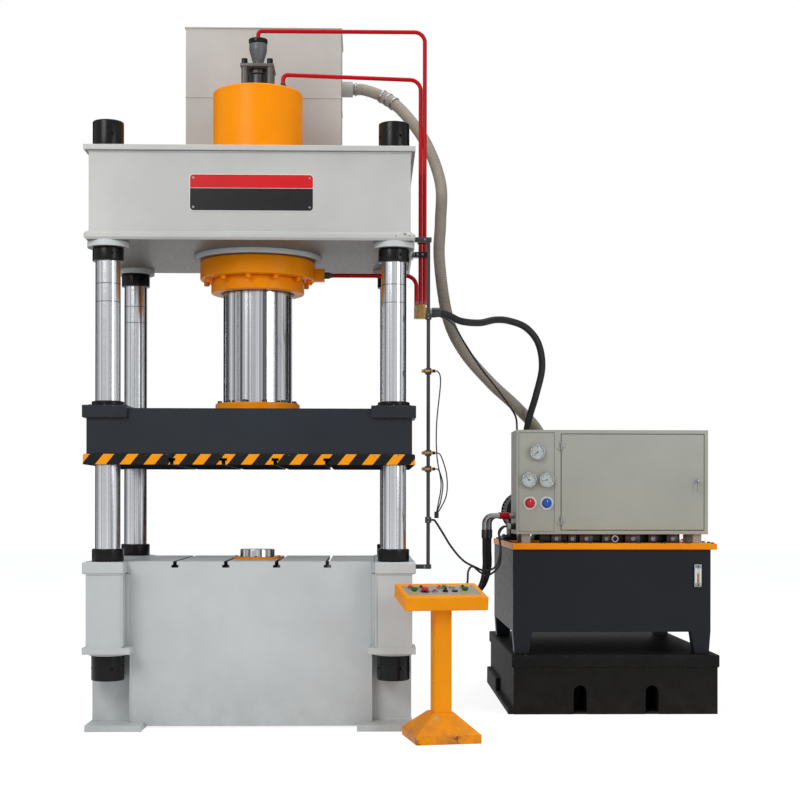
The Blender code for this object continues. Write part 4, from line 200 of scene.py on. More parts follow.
# Sprayed machine paint: slow tone changes, orange peel, faint streaks, grime low down and chips on the
# edges, with painted shade on faces that look down and painted shade in the table's T-slots where the
# settings ask for them
def paint(name, settings):
    make = Shader(name)
    base = settings["colour"]
    pale, deep = shaded(base, 1.07), shaded(base, settings.get("deep", 0.90))
    slow = make.remap(make.noise(settings.get("scale", 1.6), 4.0, 0.6), 0.35, 0.65)
    tone = make.mix(slow, deep, pale)
    streaks = make.remap(make.noise(3.0, 5.0, 0.65, make.stretched((7.0, 7.0, 0.7))), 0.52, 0.78)
    tone = make.mix(make.maths("MULTIPLY", streaks, settings.get("streaks", 0.25)), tone, deep)
    if "grime" in settings:
        grime, low, high, amount = settings["grime"]
        near = make.remap(make.axis("Z"), high, low)
        patch = make.remap(make.noise(9.0, 6.0, 0.7), 0.38, 0.62)
        tone = make.mix(make.maths("MULTIPLY", make.maths("MULTIPLY", near, patch), amount), tone, grime)
    rough = make.remap(make.noise(40.0, 4.0), 0.3, 0.7, settings["roughness"] - 0.05,
        settings["roughness"] + 0.07)
    if "chip" in settings:
        chipColour, amount = settings["chip"]
        spots = make.remap(make.noise(55.0, 7.0, 0.72), 0.63 - amount, 0.66 - amount)
        chips = make.maths("MULTIPLY", spots, make.edges(settings.get("chipReach", 0.010)), True)
        tone = make.mix(chips, tone, chipColour)
    for spot, reach, patchColour in settings.get("patches", []):
        broken = make.remap(make.noise(38.0, 8.0, 0.75), 0.46, 0.60)
        worn = make.maths("MULTIPLY", make.nearTo(spot, reach), broken, True)
        tone = make.mix(make.remap(worn, 0.22, 0.40), tone, patchColour)
    # Painted shade: faces that look down are darkened towards the given tone
    if "under" in settings:
        shade, amount = settings["under"]
        paintedUnderShade = make.remap(make.normalAxis("Z"), -0.85, -0.95)
        tone = make.mix(make.maths("MULTIPLY", paintedUnderShade, amount), tone, shade)
    # Painted shade inside the T-slots: a dark tone that also stands for the bare oily steel there
    if "inside" in settings:
        slotShadeAndOil, top, halfDepth, middle = settings["inside"]
        inShadedSlot = make.maths("LESS_THAN", make.maths("ABSOLUTE",
            make.maths("SUBTRACT", make.axis("Y"), middle)), halfDepth)
        inShadedSlot = make.maths("MULTIPLY", inShadedSlot, make.maths("LESS_THAN", make.axis("Z"), top))
        tone = make.mix(inShadedSlot, tone, slotShadeAndOil)
    peel = make.noise(settings.get("peelScale", 170.0), 2.0)
    normal = make.bump(peel, settings.get("peel", 0.10), 0.0008, make.rounded(settings.get("round", 0.004)))
    return make.finish(base=tone, roughness=rough, normal=normal, coat=settings.get("coat", 0.0),
        coatRoughness=0.18, specular=settings.get("specular", 0.5))


# Bare metal with fine marks along or round the piece, slow changes of roughness and, where the settings ask,
# painted reflection bands set by the facing direction
def metal(name, settings):
    make = Shader(name)
    base = settings["colour"]
    dark = shaded(base, settings.get("dark", 0.8))
    lines = make.noise(settings.get("scale", 30.0), 5.0, 0.6,
        make.stretched(settings.get("stretch", (1, 1, 12))))
    tone = make.mix(make.remap(lines, 0.3, 0.7), dark, base)
    # Painted reflection: dark bands laid on by which way the surface faces along X
    if "bands" in settings:
        paintedReflectionTone, count, amount = settings["bands"]
        across = make.node("ShaderNodeCombineXYZ")
        make.link(make.maths("MULTIPLY", make.normalAxis("X"), count), across.inputs[0])
        bands = make.remap(make.noise(1.0, 3.0, 0.6, across.outputs[0]), 0.42, 0.60)
        tone = make.mix(make.maths("MULTIPLY", bands, amount), tone, paintedReflectionTone)
    for height, width in settings.get("marks", []):
        apart = make.maths("ABSOLUTE", make.maths("SUBTRACT", make.axis("Z"), height))
        tone = make.mix(make.remap(apart, width, width * 0.5, 0.0, 0.75), tone, colour(70, 72, 76))
    if "stain" in settings:
        stain, amount = settings["stain"]
        spots = make.remap(make.noise(14.0, 6.0, 0.7), 0.60, 0.72)
        tone = make.mix(make.maths("MULTIPLY", spots, amount), tone, stain)
    spread = settings.get("spread", 0.04)
    rough = make.remap(lines, 0.3, 0.7, settings["roughness"], settings["roughness"] + spread)
    normal = make.bump(lines, settings.get("bump", 0.04), 0.0005, make.rounded(settings.get("round", 0.002)))
    return make.finish(base=tone, metallic=1.0, roughness=rough, normal=normal)


# Rubber or plastic with a fine grain and dust in patches
def rubber(name, settings):
    make = Shader(name)
    base = settings["colour"]
    dust = settings.get("dust", shaded(base, 1.8, 0.01))
    patch = make.remap(make.noise(settings.get("scale", 12.0), 6.0, 0.68), 0.45, 0.75)
    tone = make.mix(make.maths("MULTIPLY", patch, settings.get("amount", 0.45)), base, dust)
    rough = make.remap(make.noise(60.0, 3.0), 0.3, 0.7, settings["roughness"] - 0.05,
        settings["roughness"] + 0.08)
    grain = make.noise(settings.get("grain", 260.0), 3.0)
    normal = make.bump(grain, settings.get("bump", 0.15), 0.0006)
    return make.finish(base=tone, roughness=rough, normal=normal, specular=settings.get("specular", 0.3))


# Slate paint with leaning warning stripes on the upright faces of the platen's edge
def warningPaint(name, settings):
    make = Shader(name)
    slow = make.remap(make.noise(1.8, 4.0, 0.6), 0.35, 0.65)
    plain = make.mix(slow, settings["plain"], shaded(settings["plain"], 0.75))
    ahead = make.maths("GREATER_THAN", make.maths("ABSOLUTE", make.normalAxis("Y")), 0.5)
    across = make.maths("MULTIPLY", ahead, make.axis("X"))
    along = make.maths("MULTIPLY", make.maths("SUBTRACT", 1.0, ahead), make.axis("Y"))
    run = make.maths("ADD", across, along)
    lean = make.maths("MULTIPLY", make.maths("SUBTRACT", make.axis("Z"), settings["foot"]), settings["lean"])
    turns = make.maths("DIVIDE", make.maths("SUBTRACT", make.maths("SUBTRACT", run, lean),
        settings["start"]), settings["pitch"])
    share = make.maths("FRACT", turns)
    stripe = make.maths("LESS_THAN", share, settings["share"])
    worn = make.remap(make.noise(26.0, 8.0, 0.75), 0.60, 0.66)
    bright = make.mix(make.maths("MULTIPLY", worn, 0.6), settings["stripe"], colour(70, 60, 45))
    band = make.mix(stripe, settings["ground"], bright)
    standing = make.maths("LESS_THAN", make.maths("ABSOLUTE", make.normalAxis("Z")), 0.85)
    painted = make.maths("MULTIPLY", standing, make.maths("LESS_THAN", make.axis("Z"), settings["top"]))
    outer = make.maths("ABSOLUTE", make.maths("SUBTRACT", make.axis("X"), settings["middle"]))
    outer = make.maths("GREATER_THAN", outer, settings["half"])
    outer = make.maths("MAXIMUM", outer, ahead)
    painted = make.maths("MULTIPLY", painted, outer)
    tone = make.mix(painted, plain, band)
    chips = make.maths("MULTIPLY", make.remap(make.noise(55.0, 7.0, 0.72), 0.60, 0.63), make.edges(0.008),
        True)
    tone = make.mix(chips, tone, colour(150, 148, 142))
    rough = make.remap(make.noise(40.0, 4.0), 0.3, 0.7, 0.44, 0.58)
    normal = make.bump(make.noise(150.0, 2.0), 0.08, 0.0008, make.rounded(0.003))
    return make.finish(base=tone, roughness=rough, normal=normal,
        specular=make.maths("MULTIPLY", standing, 0.15))


# The object of a finished mesh, smooth up to the angle
def shownPiece(name, mesh, smooth=35, finish=None):
    if finish:
        mesh.materials.append(palette[finish])
    mesh.polygons.foreach_set("use_smooth", [smooth > 0] * len(mesh.polygons))
    if smooth > 0:
        mesh.set_sharp_from_angle(angle=math.radians(smooth))
    obj = bpy.data.objects.new(name, mesh)
    scene.collection.objects.link(obj)
    return obj


def meshPiece(name, vertices, faces, finish, smooth=35):
    mesh = bpy.data.meshes.new(name)
    mesh.from_pydata([tuple(vertex) for vertex in vertices], [], faces)
    return shownPiece(name, mesh, smooth, finish)


def solidPiece(name, shape, place, finish):
    if place:
        bmesh.ops.transform(shape, matrix=place, verts=shape.verts)
    mesh = bpy.data.meshes.new(name)
    shape.to_mesh(mesh)
    shape.free()
    return shownPiece(name, mesh, 35, finish)


def evaluatedMesh(source):
    return bpy.data.meshes.new_from_object(source.evaluated_get(bpy.context.evaluated_depsgraph_get()))


# The outline runs from top to bottom on the outer side and is turned round the local Z axis
def lathe(name, outline, place, finish, sides=96, smooth=35, wave=None):
    vertices, faces, rings = [], [], []
    if not isinstance(place, Matrix):
        place = Matrix.Translation(place)
    closed = outline[0] == outline[-1] and outline[0][0] > 1e-6
    for radius, z in outline[:-1] if closed else outline:
        if radius < 1e-6:
            rings.append([len(vertices)] * sides)
            vertices.append(place @ Vector((0, 0, z)))
            continue
        rings.append(list(range(len(vertices), len(vertices) + sides)))
        for step in range(sides):
            angle = 2 * math.pi * step / sides
            reach = radius * (wave(angle, radius, z) if wave else 1.0)
            vertices.append(place @ Vector((reach * math.cos(angle), reach * math.sin(angle), z)))
    if closed:
        rings.append(rings[0])
    for upper, lower in zip(rings, rings[1:]):
        for step in range(sides):
            after = (step + 1) % sides
            face = list(dict.fromkeys([upper[step], lower[step], lower[after], upper[after]]))
            if len(face) > 2:
                faces.append(face)
    return meshPiece(name, vertices, faces, finish, smooth)


# The outline of a plain round rod
def rodOutline(radius, high, low):
    return [(0, high), (radius, high), (radius, low), (0, low)]


# The same outline with its inner corners rounded by arcs
def rounded(outline, radius, steps=3):
    points = [Vector(outline[0])]
    for before, corner, after in zip(outline, outline[1:], outline[2:]):
        before, corner, after = Vector(before), Vector(corner), Vector(after)
        back, ahead = before - corner, after - corner
        reach = min(radius, back.length * 0.45, ahead.length * 0.45)
        if reach < 1e-5 or abs(back.normalized().dot(ahead.normalized())) > 0.995:
            points.append(corner)
            continue
        start, stop = corner + back.normalized() * reach, corner + ahead.normalized() * reach
        for step in range(steps + 1):
            share = step / steps
            points.append((1 - share) ** 2 * start + 2 * share * (1 - share) * corner + share ** 2 * stop)
    points.append(Vector(outline[-1]))
    return [tuple(point) for point in points]


# The outline of a ring's section, closed on itself, with rounded outer corners
def ringOutline(inner, outer, low, high, edge, steps=3):
    points = rounded([(inner, high), (outer, high), (outer, low), (inner, low)], edge, steps)
    return [*points, points[0]]


# A box with rounded edges
def block(name, low, high, edge, finish, segments=2, place=None):
    low, high = Vector(low), Vector(high)
    shape = bmesh.new()
    bmesh.ops.create_cube(shape, size=1.0)
    size, middle = high - low, (high + low) / 2
    fit = Matrix.Translation(middle) @ Matrix.Diagonal((*size, 1.0))
    bmesh.ops.transform(shape, matrix=fit, verts=shape.verts)
    if edge > 0:
        bmesh.ops.bevel(shape, geom=shape.edges[:], offset=edge, segments=segments, profile=0.5,
            affect="EDGES")
    return solidPiece(name, shape, place, finish)


# A quarter of a circle in steps of 15 degrees
def quarter(x, y, radius, start):
    angles = [math.radians(start + 15 * step) for step in range(7)]
    return [(x + radius * math.cos(angle), y + radius * math.sin(angle)) for angle in angles]


# A flat plate with rounded corners, lying in the local XY plane between two heights
def roundedPlate(name, width, depth, corner, low, high, finish, place, edge=0.0006):
    outline = []
    for sx, sy, start in ((1, 1, 0), (-1, 1, 90), (-1, -1, 180), (1, -1, 270)):
        outline += quarter(sx * (width / 2 - corner), sy * (depth / 2 - corner), corner, start)
    shape = bmesh.new()
    face = shape.faces.new([shape.verts.new((x, y, low)) for x, y in outline])
    raised = bmesh.ops.extrude_face_region(shape, geom=[face])
    lifted = [item for item in raised["geom"] if isinstance(item, bmesh.types.BMVert)]
    bmesh.ops.translate(shape, vec=(0, 0, high - low), verts=lifted)
    rims = [side for side in shape.edges if all(abs(vert.co.z - high) < 1e-7 for vert in side.verts)]
    bmesh.ops.bevel(shape, geom=rims, offset=edge, segments=2, profile=0.5, affect="EDGES")
    bmesh.ops.recalc_face_normals(shape, faces=shape.faces)
    return solidPiece(name, shape, place, finish)


# One piece out of several, each keeping its own materials
def merged(name, *parts):
    joined = bmesh.new()
    materials = []
    for piece in parts:
        for material in piece.data.materials:
            if material not in materials:
                materials.append(material)
    for piece in parts:
        start = len(joined.faces)
        joined.from_mesh(piece.data)
        joined.faces.ensure_lookup_table()
        own = list(piece.data.materials)
        for face in joined.faces[start:]:
            face.material_index = materials.index(own[min(face.material_index, len(own) - 1)])
        bpy.data.objects.remove(piece)
    mesh = bpy.data.meshes.new(name)
    joined.to_mesh(mesh)
    joined.free()
    for material in materials:
        mesh.materials.append(material)
    obj = bpy.data.objects.new(name, mesh)
    scene.collection.objects.link(obj)
    return obj


# Vertices and faces of a tube along the points, closed at both ends
def sweep(points, radiusAt, sides):
    points = [Vector(point) for point in points]
    tangents = [(after - before).normalized() for before, after in zip([points[0], *points[:-1]],
        [*points[1:], points[-1]])]
    normal = tangents[0].orthogonal().normalized()
    vertices, faces = [], []
    travelled = 0.0
    for index, (point, tangent) in enumerate(zip(points, tangents)):
        if index:
            travelled += (point - points[index - 1]).length
            normal = (normal - tangent * normal.dot(tangent)).normalized()
        side = tangent.cross(normal)
        for step in range(sides):
            angle = 2 * math.pi * step / sides
            radius = radiusAt(travelled, angle)
            vertices.append(point + (normal * math.cos(angle) + side * math.sin(angle)) * radius)
    for ring in range(len(points) - 1):
        for step in range(sides):
            after = (step + 1) % sides
            first, second = ring * sides, (ring + 1) * sides
            faces.append([first + step, first + after, second + after, second + step])
    faces.append(list(range(sides))[::-1])
    faces.append(list(range((len(points) - 1) * sides, len(points) * sides)))
    return vertices, faces


def tubePiece(name, points, radius, finish, sides=16):
    vertices, faces = sweep(points, lambda travelled, angle: radius, sides)
    return meshPiece(name, vertices, faces, finish)


# An even Catmull-Rom curve through the guides, whose first and last stretch are straight
def smoothRoute(guides, spacing):
    guides = [Vector(guide) for guide in guides]
    fine = []
    for a, b, c, d in zip(guides, guides[1:], guides[2:], guides[3:]):
        for step in range(24):
            t = step / 24
            fine.append(0.5 * (2 * b + (c - a) * t + (2 * a - 5 * b + 4 * c - d) * t**2
                + (3 * b - a - 3 * c + d) * t**3))
    fine.append(guides[-2])
    fine = [guides[0], *fine, guides[-1]]
    lengths = [0.0]
    for first, second in zip(fine, fine[1:]):
        lengths.append(lengths[-1] + (second - first).length)
    count = max(6, round(lengths[-1] / spacing))
    points, at = [], 0
    for index in range(count + 1):
        target = lengths[-1] * index / count
        while at < len(fine) - 2 and lengths[at + 1] < target:
            at += 1
        share = (target - lengths[at]) / max(lengths[at + 1] - lengths[at], 1e-9)
        points.append(fine[at].lerp(fine[at + 1], min(share, 1.0)))
    return points, lengths[-1]


# Straight runs with each corner rounded by an arc
def bentRoute(corners, radii, steps=14):
    corners = [Vector(corner) for corner in corners]
    points = [corners[0]]
    if not isinstance(radii, tuple):
        radii = (radii,) * (len(corners) - 2)
    for before, corner, after, radius in zip(corners, corners[1:], corners[2:], radii):
        towards, away = (before - corner).normalized(), (after - corner).normalized()
        half = towards.angle(away) / 2
        reach = radius / math.tan(half)
        centre = corner + (towards + away).normalized() * (radius / math.sin(half))
        start, stop = corner + towards * reach - centre, corner + away * reach - centre
        for step in range(steps + 1):
            points.append(centre + start.lerp(stop, step / steps).normalized() * radius)
    points.append(corners[-1])
    return points


def linkAll(tree, rows):
    for source, leaving, target, entering in rows:
        tree.links.new(source.outputs[leaving], target.inputs[entering])


# A node tree that sets one screw head on every point of a mesh, turned along the point's own direction
def screwTree(name, sides):
    tree = bpy.data.node_groups.new(name, "GeometryNodeTree")
    tree.is_modifier = True
    face = tree.interface
    face.new_socket("Geometry", in_out="INPUT", socket_type="NodeSocketGeometry")
    for label, value in (("Head Radius", 0.01), ("Head Height", 0.008), ("Recess Share", 0.55)):
        face.new_socket(label, in_out="INPUT", socket_type="NodeSocketFloat").default_value = value
    face.new_socket("Finish", in_out="INPUT", socket_type="NodeSocketMaterial")
    face.new_socket("Geometry", in_out="OUTPUT", socket_type="NodeSocketGeometry")
    made = tree.nodes.new
    entry, leave = made("NodeGroupInput"), made("NodeGroupOutput")
    head, inset = made("GeometryNodeMeshCylinder"), made("GeometryNodeExtrudeMesh")
    head.inputs["Vertices"].default_value = sides
    inset.inputs["Offset Scale"].default_value = 0.0
    topOnly = made("FunctionNodeCompare")
    topOnly.data_type, topOnly.operation = "FLOAT", "GREATER_THAN"
    topOnly.inputs[1].default_value = 0.9
    normal, split = made("GeometryNodeInputNormal"), made("ShaderNodeSeparateXYZ")
    shrink, sink = made("GeometryNodeScaleElements"), made("GeometryNodeExtrudeMesh")
    deep, half = made("ShaderNodeMath"), made("ShaderNodeMath")
    deep.operation = half.operation = "MULTIPLY"
    deep.inputs[1].default_value, half.inputs[1].default_value = -0.55, 0.5
    lift, stand = made("GeometryNodeTransform"), made("ShaderNodeCombineXYZ")
    direction = made("GeometryNodeInputNamedAttribute")
    direction.data_type = "FLOAT_VECTOR"
    direction.inputs["Name"].default_value = "facing"
    turn = made("FunctionNodeAlignRotationToVector")
    turn.axis = "Z"
    points, spread = made("GeometryNodeMeshToPoints"), made("GeometryNodeInstanceOnPoints")
    solid, dressed = made("GeometryNodeRealizeInstances"), made("GeometryNodeSetMaterial")
    linkAll(tree, (
        (entry, "Head Radius", head, "Radius"), (entry, "Head Height", head, "Depth"),
        (normal, 0, split, 0), (split, "Z", topOnly, 0), (head, "Mesh", inset, "Mesh"),
        (topOnly, 0, inset, "Selection"), (inset, "Mesh", shrink, "Geometry"),
        (inset, "Top", shrink, "Selection"), (entry, "Recess Share", shrink, "Scale"),
        (shrink, "Geometry", sink, "Mesh"), (inset, "Top", sink, "Selection"),
        (entry, "Head Height", deep, 0), (deep, 0, sink, "Offset Scale"), (sink, "Mesh", lift, "Geometry"),
        (entry, "Head Height", half, 0), (half, 0, stand, "Z"), (stand, 0, lift, "Translation"),
        (entry, "Geometry", points, "Mesh"), (points, "Points", spread, "Points"),
        (lift, "Geometry", spread, "Instance"), (direction, "Attribute", turn, "Vector"),
        (turn, "Rotation", spread, "Rotation"), (spread, "Instances", solid, "Geometry"),
        (solid, "Geometry", dressed, "Geometry"), (entry, "Finish", dressed, "Material"),
        (dressed, "Geometry", leave, "Geometry")))
    return tree


screwTrees = {}


# Screw heads at the spots, each spot a place and the direction that its head faces
def screws(name, spots, radius, height, finish, sides=6, recess=0.55):
    if sides not in screwTrees:
        screwTrees[sides] = screwTree(f"screwHeads{sides}", sides)
    tree = screwTrees[sides]
    mesh = bpy.data.meshes.new(name)
    mesh.from_pydata([tuple(spot) for spot, direction in spots], [], [])
    facing = mesh.attributes.new("facing", "FLOAT_VECTOR", "POINT")
    for index, (spot, direction) in enumerate(spots):
        facing.data[index].vector = direction
    source = bpy.data.objects.new(name + "_points", mesh)
    scene.collection.objects.link(source)
    modifier = source.modifiers.new("screws", "NODES")
    modifier.node_group = tree
    values = {"Head Radius": radius, "Head Height": height, "Recess Share": recess,
        "Finish": palette[finish]}
    for item in tree.interface.items_tree:
        if item.in_out == "INPUT" and item.name in values:
            modifier[item.identifier] = values[item.name]
    made = evaluatedMesh(source)
    bpy.data.objects.remove(source)
    return shownPiece(name, made)


# Places round a circle, as screws() takes them
def circleSpots(centre, radius, count, direction, start=0.0):
    spots = []
    for index in range(count):
        angle = start + 2 * math.pi * index / count
        spots.append((Vector(centre) + Vector((radius * math.cos(angle), radius * math.sin(angle), 0)),
            direction))
    return spots


# Clear or tinted plastic and glass with faint dust
def clearCover(name, tint, roughness, weight):
    make = Shader(name)
    dust = make.remap(make.noise(30.0, 6.0, 0.7), 0.5, 0.8, roughness, roughness + 0.12)
    return make.finish(base=make.mix(make.noise(8.0), tint, shaded(tint, 0.9)), roughness=dust,
        transmission=weight, ior=1.45)


# Materials

rust = colour(122, 74, 44)
# What paints have in common
lightPaint = {"roughness": 0.46, "deep": 0.94, "streaks": 0.16, "peel": 0.08, "coat": 0.05,
    "specular": 0.35}
platePrint = {"roughness": 0.34, "specular": 0.3, "round": 0.0005}
paintSettings = {
    "framePaint": {**lightPaint, "colour": colour(199, 203, 203),
        "grime": (colour(158, 158, 152), 0.0, 0.30, 0.3), "chip": (rust, -0.01)},
    # The table plate's T-slots get painted shade, dark like bare oily steel
    "tablePaint": {**lightPaint, "colour": colour(199, 203, 203), "chip": (rust, -0.01),
        "inside": (colour(52, 50, 48), 0.9188, 0.4575, pressOrigin.y)},
    # The crown gets painted shade on its faces that look down
    "crownPaint": {**lightPaint, "colour": colour(194, 194, 190), "chip": (colour(128, 112, 96), 0.015),
        "under": (colour(92, 85, 80), 0.95), "patches": [(pressOrigin + Vector((0.868, -0.600, 2.684)),
        0.026, rust), (pressOrigin + Vector((0.790, -0.598, 2.690)), 0.018, colour(120, 108, 96)),
        (pressOrigin + Vector((0.842, -0.590, 2.700)), 0.022, colour(126, 112, 98)),
        (pressOrigin + Vector((-0.886, -0.600, 2.684)), 0.020, rust)]},
    "slatePaint": {"colour": colour(38, 42, 48), "roughness": 0.44, "deep": 0.78, "streaks": 0.4,
        "chip": (colour(150, 150, 148), 0.02), "specular": 0.22},
    "tankPaint": {"colour": colour(24, 28, 34), "roughness": 0.46, "deep": 0.80, "streaks": 0.3,
        "chip": (colour(110, 108, 102), -0.01), "specular": 0.18},
    "orangePaint": {"colour": colour(255, 147, 0), "roughness": 0.36, "deep": 0.88, "streaks": 0.2,
        "chip": (colour(120, 84, 40), -0.01), "specular": 0.12},
    "standPaint": {"colour": colour(250, 154, 6), "roughness": 0.48, "deep": 0.88, "specular": 0.15,
        "grime": (colour(186, 118, 62), 0.0, 0.17, 0.95), "chip": (rust, 0.04), "chipReach": 0.014,
        "patches": [(pressOrigin + Vector((0.900, -1.060, 0.010)), 0.060, rust),
        (pressOrigin + Vector((1.100, -1.020, 0.014)), 0.050, rust),
        (pressOrigin + Vector((1.000, -0.960, 0.115)), 0.050, colour(206, 170, 130)),
        (pressOrigin + Vector((1.060, -0.850, 0.150)), 0.045, colour(196, 150, 104))]},
    "redPaint": {"colour": colour(182, 2, 14), "roughness": 0.36, "deep": 0.8, "specular": 0.15,
        "round": 0.001},
    "cabinetPaint": {"colour": colour(164, 165, 155), "specular": 0.3, "roughness": 0.50, "deep": 0.95,
        "streaks": 0.12, "peel": 0.14, "peelScale": 320.0, "round": 0.002},
    "insetPaint": {"colour": colour(150, 152, 148), "roughness": 0.40, "deep": 0.93, "streaks": 0.15,
        "peel": 0.06, "peelScale": 320.0, "round": 0.001},
    "overheadPaint": {"colour": colour(188, 184, 179), "roughness": 0.55, "deep": 0.94, "streaks": 0.2,
        "peel": 0.08, "specular": 0.3},
    "valvePaint": {"colour": colour(86, 88, 90), "roughness": 0.38, "deep": 0.74, "streaks": 0.3,
        "peel": 0.12, "round": 0.002, "coat": 0.1, "specular": 0.4, "chip": (colour(66, 62, 58), 0.0)},
    "plateRed": {**platePrint, "colour": colour(210, 12, 22), "deep": 0.92, "streaks": 0.1},
    "plateWhite": {**platePrint, "colour": colour(226, 226, 224), "roughness": 0.36, "deep": 0.95,
        "streaks": 0.1},
    "plateBlack": {**platePrint, "colour": colour(20, 19, 21), "deep": 0.85, "streaks": 0.15},
    "castIron": {"colour": colour(20, 19, 18), "roughness": 0.66, "deep": 0.6, "scale": 4.0, "streaks": 0.5,
        "peel": 0.5, "specular": 0.15, "peelScale": 60.0, "chip": (colour(84, 76, 70), 0.05),
        "chipReach": 0.014, "round": 0.006, "grime": (colour(48, 42, 37), 0.0, 0.30, 0.45)},
    "glossBlack": {"colour": colour(15, 15, 17), "roughness": 0.26, "deep": 0.7, "specular": 0.2,
        "peel": 0.05, "round": 0.002},
    "rodPaint": {"colour": colour(52, 52, 55), "roughness": 0.42, "deep": 0.8, "streaks": 0.2, "peel": 0.05,
        "round": 0.001, "specular": 0.35},
}
metalSettings = {
    # The bands of the chrome and polished finishes are painted reflections
    "columnChrome": {"colour": colour(240, 241, 243), "roughness": 0.15, "spread": 0.05, "scale": 18.0,
        "stretch": (1, 1, 9), "bump": 0.006, "dark": 0.96, "bands": (colour(126, 130, 138), 3.5, 0.9),
        "marks": [(2.4419, 0.003), (2.3427, 0.003)]},
    "chrome": {"colour": colour(240, 241, 244), "roughness": 0.14, "spread": 0.05, "scale": 18.0,
        "stretch": (1, 1, 9), "bump": 0.006, "dark": 0.96, "bands": (colour(66, 70, 80), 6.0, 0.95)},
    "polished": {"colour": colour(206, 209, 213), "roughness": 0.14, "spread": 0.06, "dark": 0.85,
        "bands": (colour(46, 48, 54), 3.0, 0.85)},
    "steel": {"colour": colour(150, 152, 154), "roughness": 0.32, "spread": 0.14, "dark": 0.72,
        "stain": (colour(96, 84, 72), 0.4)},
    "darkSteel": {"colour": colour(82, 82, 84), "roughness": 0.36, "spread": 0.16, "dark": 0.6,
        "stain": (colour(70, 56, 44), 0.5)},
    "brass": {"colour": colour(176, 140, 78), "roughness": 0.30, "spread": 0.15, "dark": 0.6,
        "stain": (colour(92, 66, 40), 0.5)},
}
rubberSettings = {
    "blackRubber": {"colour": colour(28, 28, 30), "roughness": 0.48},
    "greyRubber": {"colour": colour(118, 119, 114), "roughness": 0.55, "amount": 0.2},
    "greyHose": {"colour": colour(152, 144, 132), "roughness": 0.5, "scale": 5.0,
        "dust": colour(108, 100, 90), "amount": 0.6},
    "dialWhite": {"colour": colour(222, 223, 220), "roughness": 0.35, "amount": 0.1,
        "dust": colour(200, 200, 196)},
}
stripeSettings = {"plain": colour(38, 42, 48), "ground": colour(22, 22, 24), "stripe": colour(252, 158, 8),
    "pitch": 0.1313, "share": 0.45, "lean": 0.80, "start": pressOrigin.x - 0.8345, "foot": 1.4505,
    "top": 1.5072, "middle": pressOrigin.x, "half": 0.80}
plasticTones = {"knobRed": (190, 30, 34), "buttonPink": (206, 60, 74), "buttonOrange": (214, 66, 30),
    "knobBlue": (30, 84, 170), "buttonGreen": (22, 84, 52), "buttonBlack": (24, 24, 26),
    "buttonYellow": (226, 178, 50)}
# Each cover's tone, roughness and share of light that passes through
coverSettings = {
    "gaugeGlass": (colour(244, 248, 248), 0.03, 1.0),
    "lampRed": (colour(220, 40, 36), 0.12, 0.45),
    "lampGreen": (colour(40, 150, 84), 0.12, 0.45),
}
palette = {"platenPaint": warningPaint("platenPaint", stripeSettings)}
for makeFinish, group in ((paint, paintSettings), (metal, metalSettings), (rubber, rubberSettings)):
    for name, settings in group.items():
        palette[name] = makeFinish(name, settings)
for name, tone in plasticTones.items():
    palette[name] = rubber(name, {"colour": colour(*tone), "roughness": 0.35, "amount": 0.2, "bump": 0.05})
for name, (tint, roughness, weight) in coverSettings.items():
    palette[name] = clearCover(name, tint, roughness, weight)

# The CAD's slot that each finish belongs to
finishes = {
    "framePaint": ["bed"],
    "tablePaint": ["table_plate"],
    "crownPaint": ["crown"],
    "slatePaint": ["slide"],
    "platenPaint": ["slide_platen"],
    "tankPaint": ["oil_tank", "pump_motor"],
    "orangePaint": ["main_cylinder", "gland_ring", "ram_clamp_ring", "tank_lid", "ejector_cylinder"],
    "standPaint": ["control_stand", "control_console"],
    "redPaint": ["prefill_pipe", "cylinder_pipe", "gland_pipe"],
    "cabinetPaint": ["valve_cabinet", "cabinet_door"],
    "overheadPaint": ["overhead_tank"],
    "valvePaint": ["prefill_valve"],
    "castIron": ["plinth"],
    "glossBlack": ["top_nut_front_left", "top_nut_front_right", "top_nut_rear_left", "top_nut_rear_right",
        "pipe_bracket"],
    "rodPaint": ["sensor_rod"],
    "chrome": ["column_front_left", "column_front_right", "column_rear_left", "column_rear_right", "ram",
        "ejector_rod"],
    "steel": ["door_lock", "valve_manifold", "pressure_gauge_1", "pressure_gauge_2", "pressure_gauge_3"],
    "brass": ["pipe_union"],
    "blackRubber": ["sensor_harness"],
    "dialWhite": ["oil_level_gauge"],
    "knobRed": ["pressure_knob_red", "mushroom_red"],
    "buttonOrange": ["button_orange"],
    "buttonPink": ["button_pink"],
    "knobBlue": ["pressure_knob_blue"],
    "buttonGreen": ["mushroom_green_left", "mushroom_green_right"],
    "buttonBlack": ["button_black_left", "button_black_right", "selector_switch"],
    "buttonYellow": ["button_yellow"],
}
for finish, names in finishes.items():
    for name in names:
        nodes[name].data.materials.clear()
        nodes[name].data.materials.append(palette[finish])
print("materials made")


# The new piece rides on the body and hides the CAD nodes that it stands for
def dress(piece, *replaced, body="machine", finish=None):
    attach(piece, body)
    if replaced:
        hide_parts(*replaced)
    return piece


def pressPoint(x, y, z):
    return pressOrigin + Vector((x, y, z))


def unitPoint(x, y, z):
    return unitOrigin + Vector((x, y, z))


# Each corner with the next one, round to the first
def roundPairs(corners):
    return list(zip(corners, corners[1:] + corners[:1]))


def frontAt(point):
    return Matrix.Translation(point) @ towardsFront


# From the rear of a box towards the front
def onFront(low, high):
    return frontAt(Vector(((low.x + high.x) / 2, high.y, (low.z + high.z) / 2)))


def rightAt(point):
    return Matrix.Translation(point) @ towardsRight


# Hoses and cables

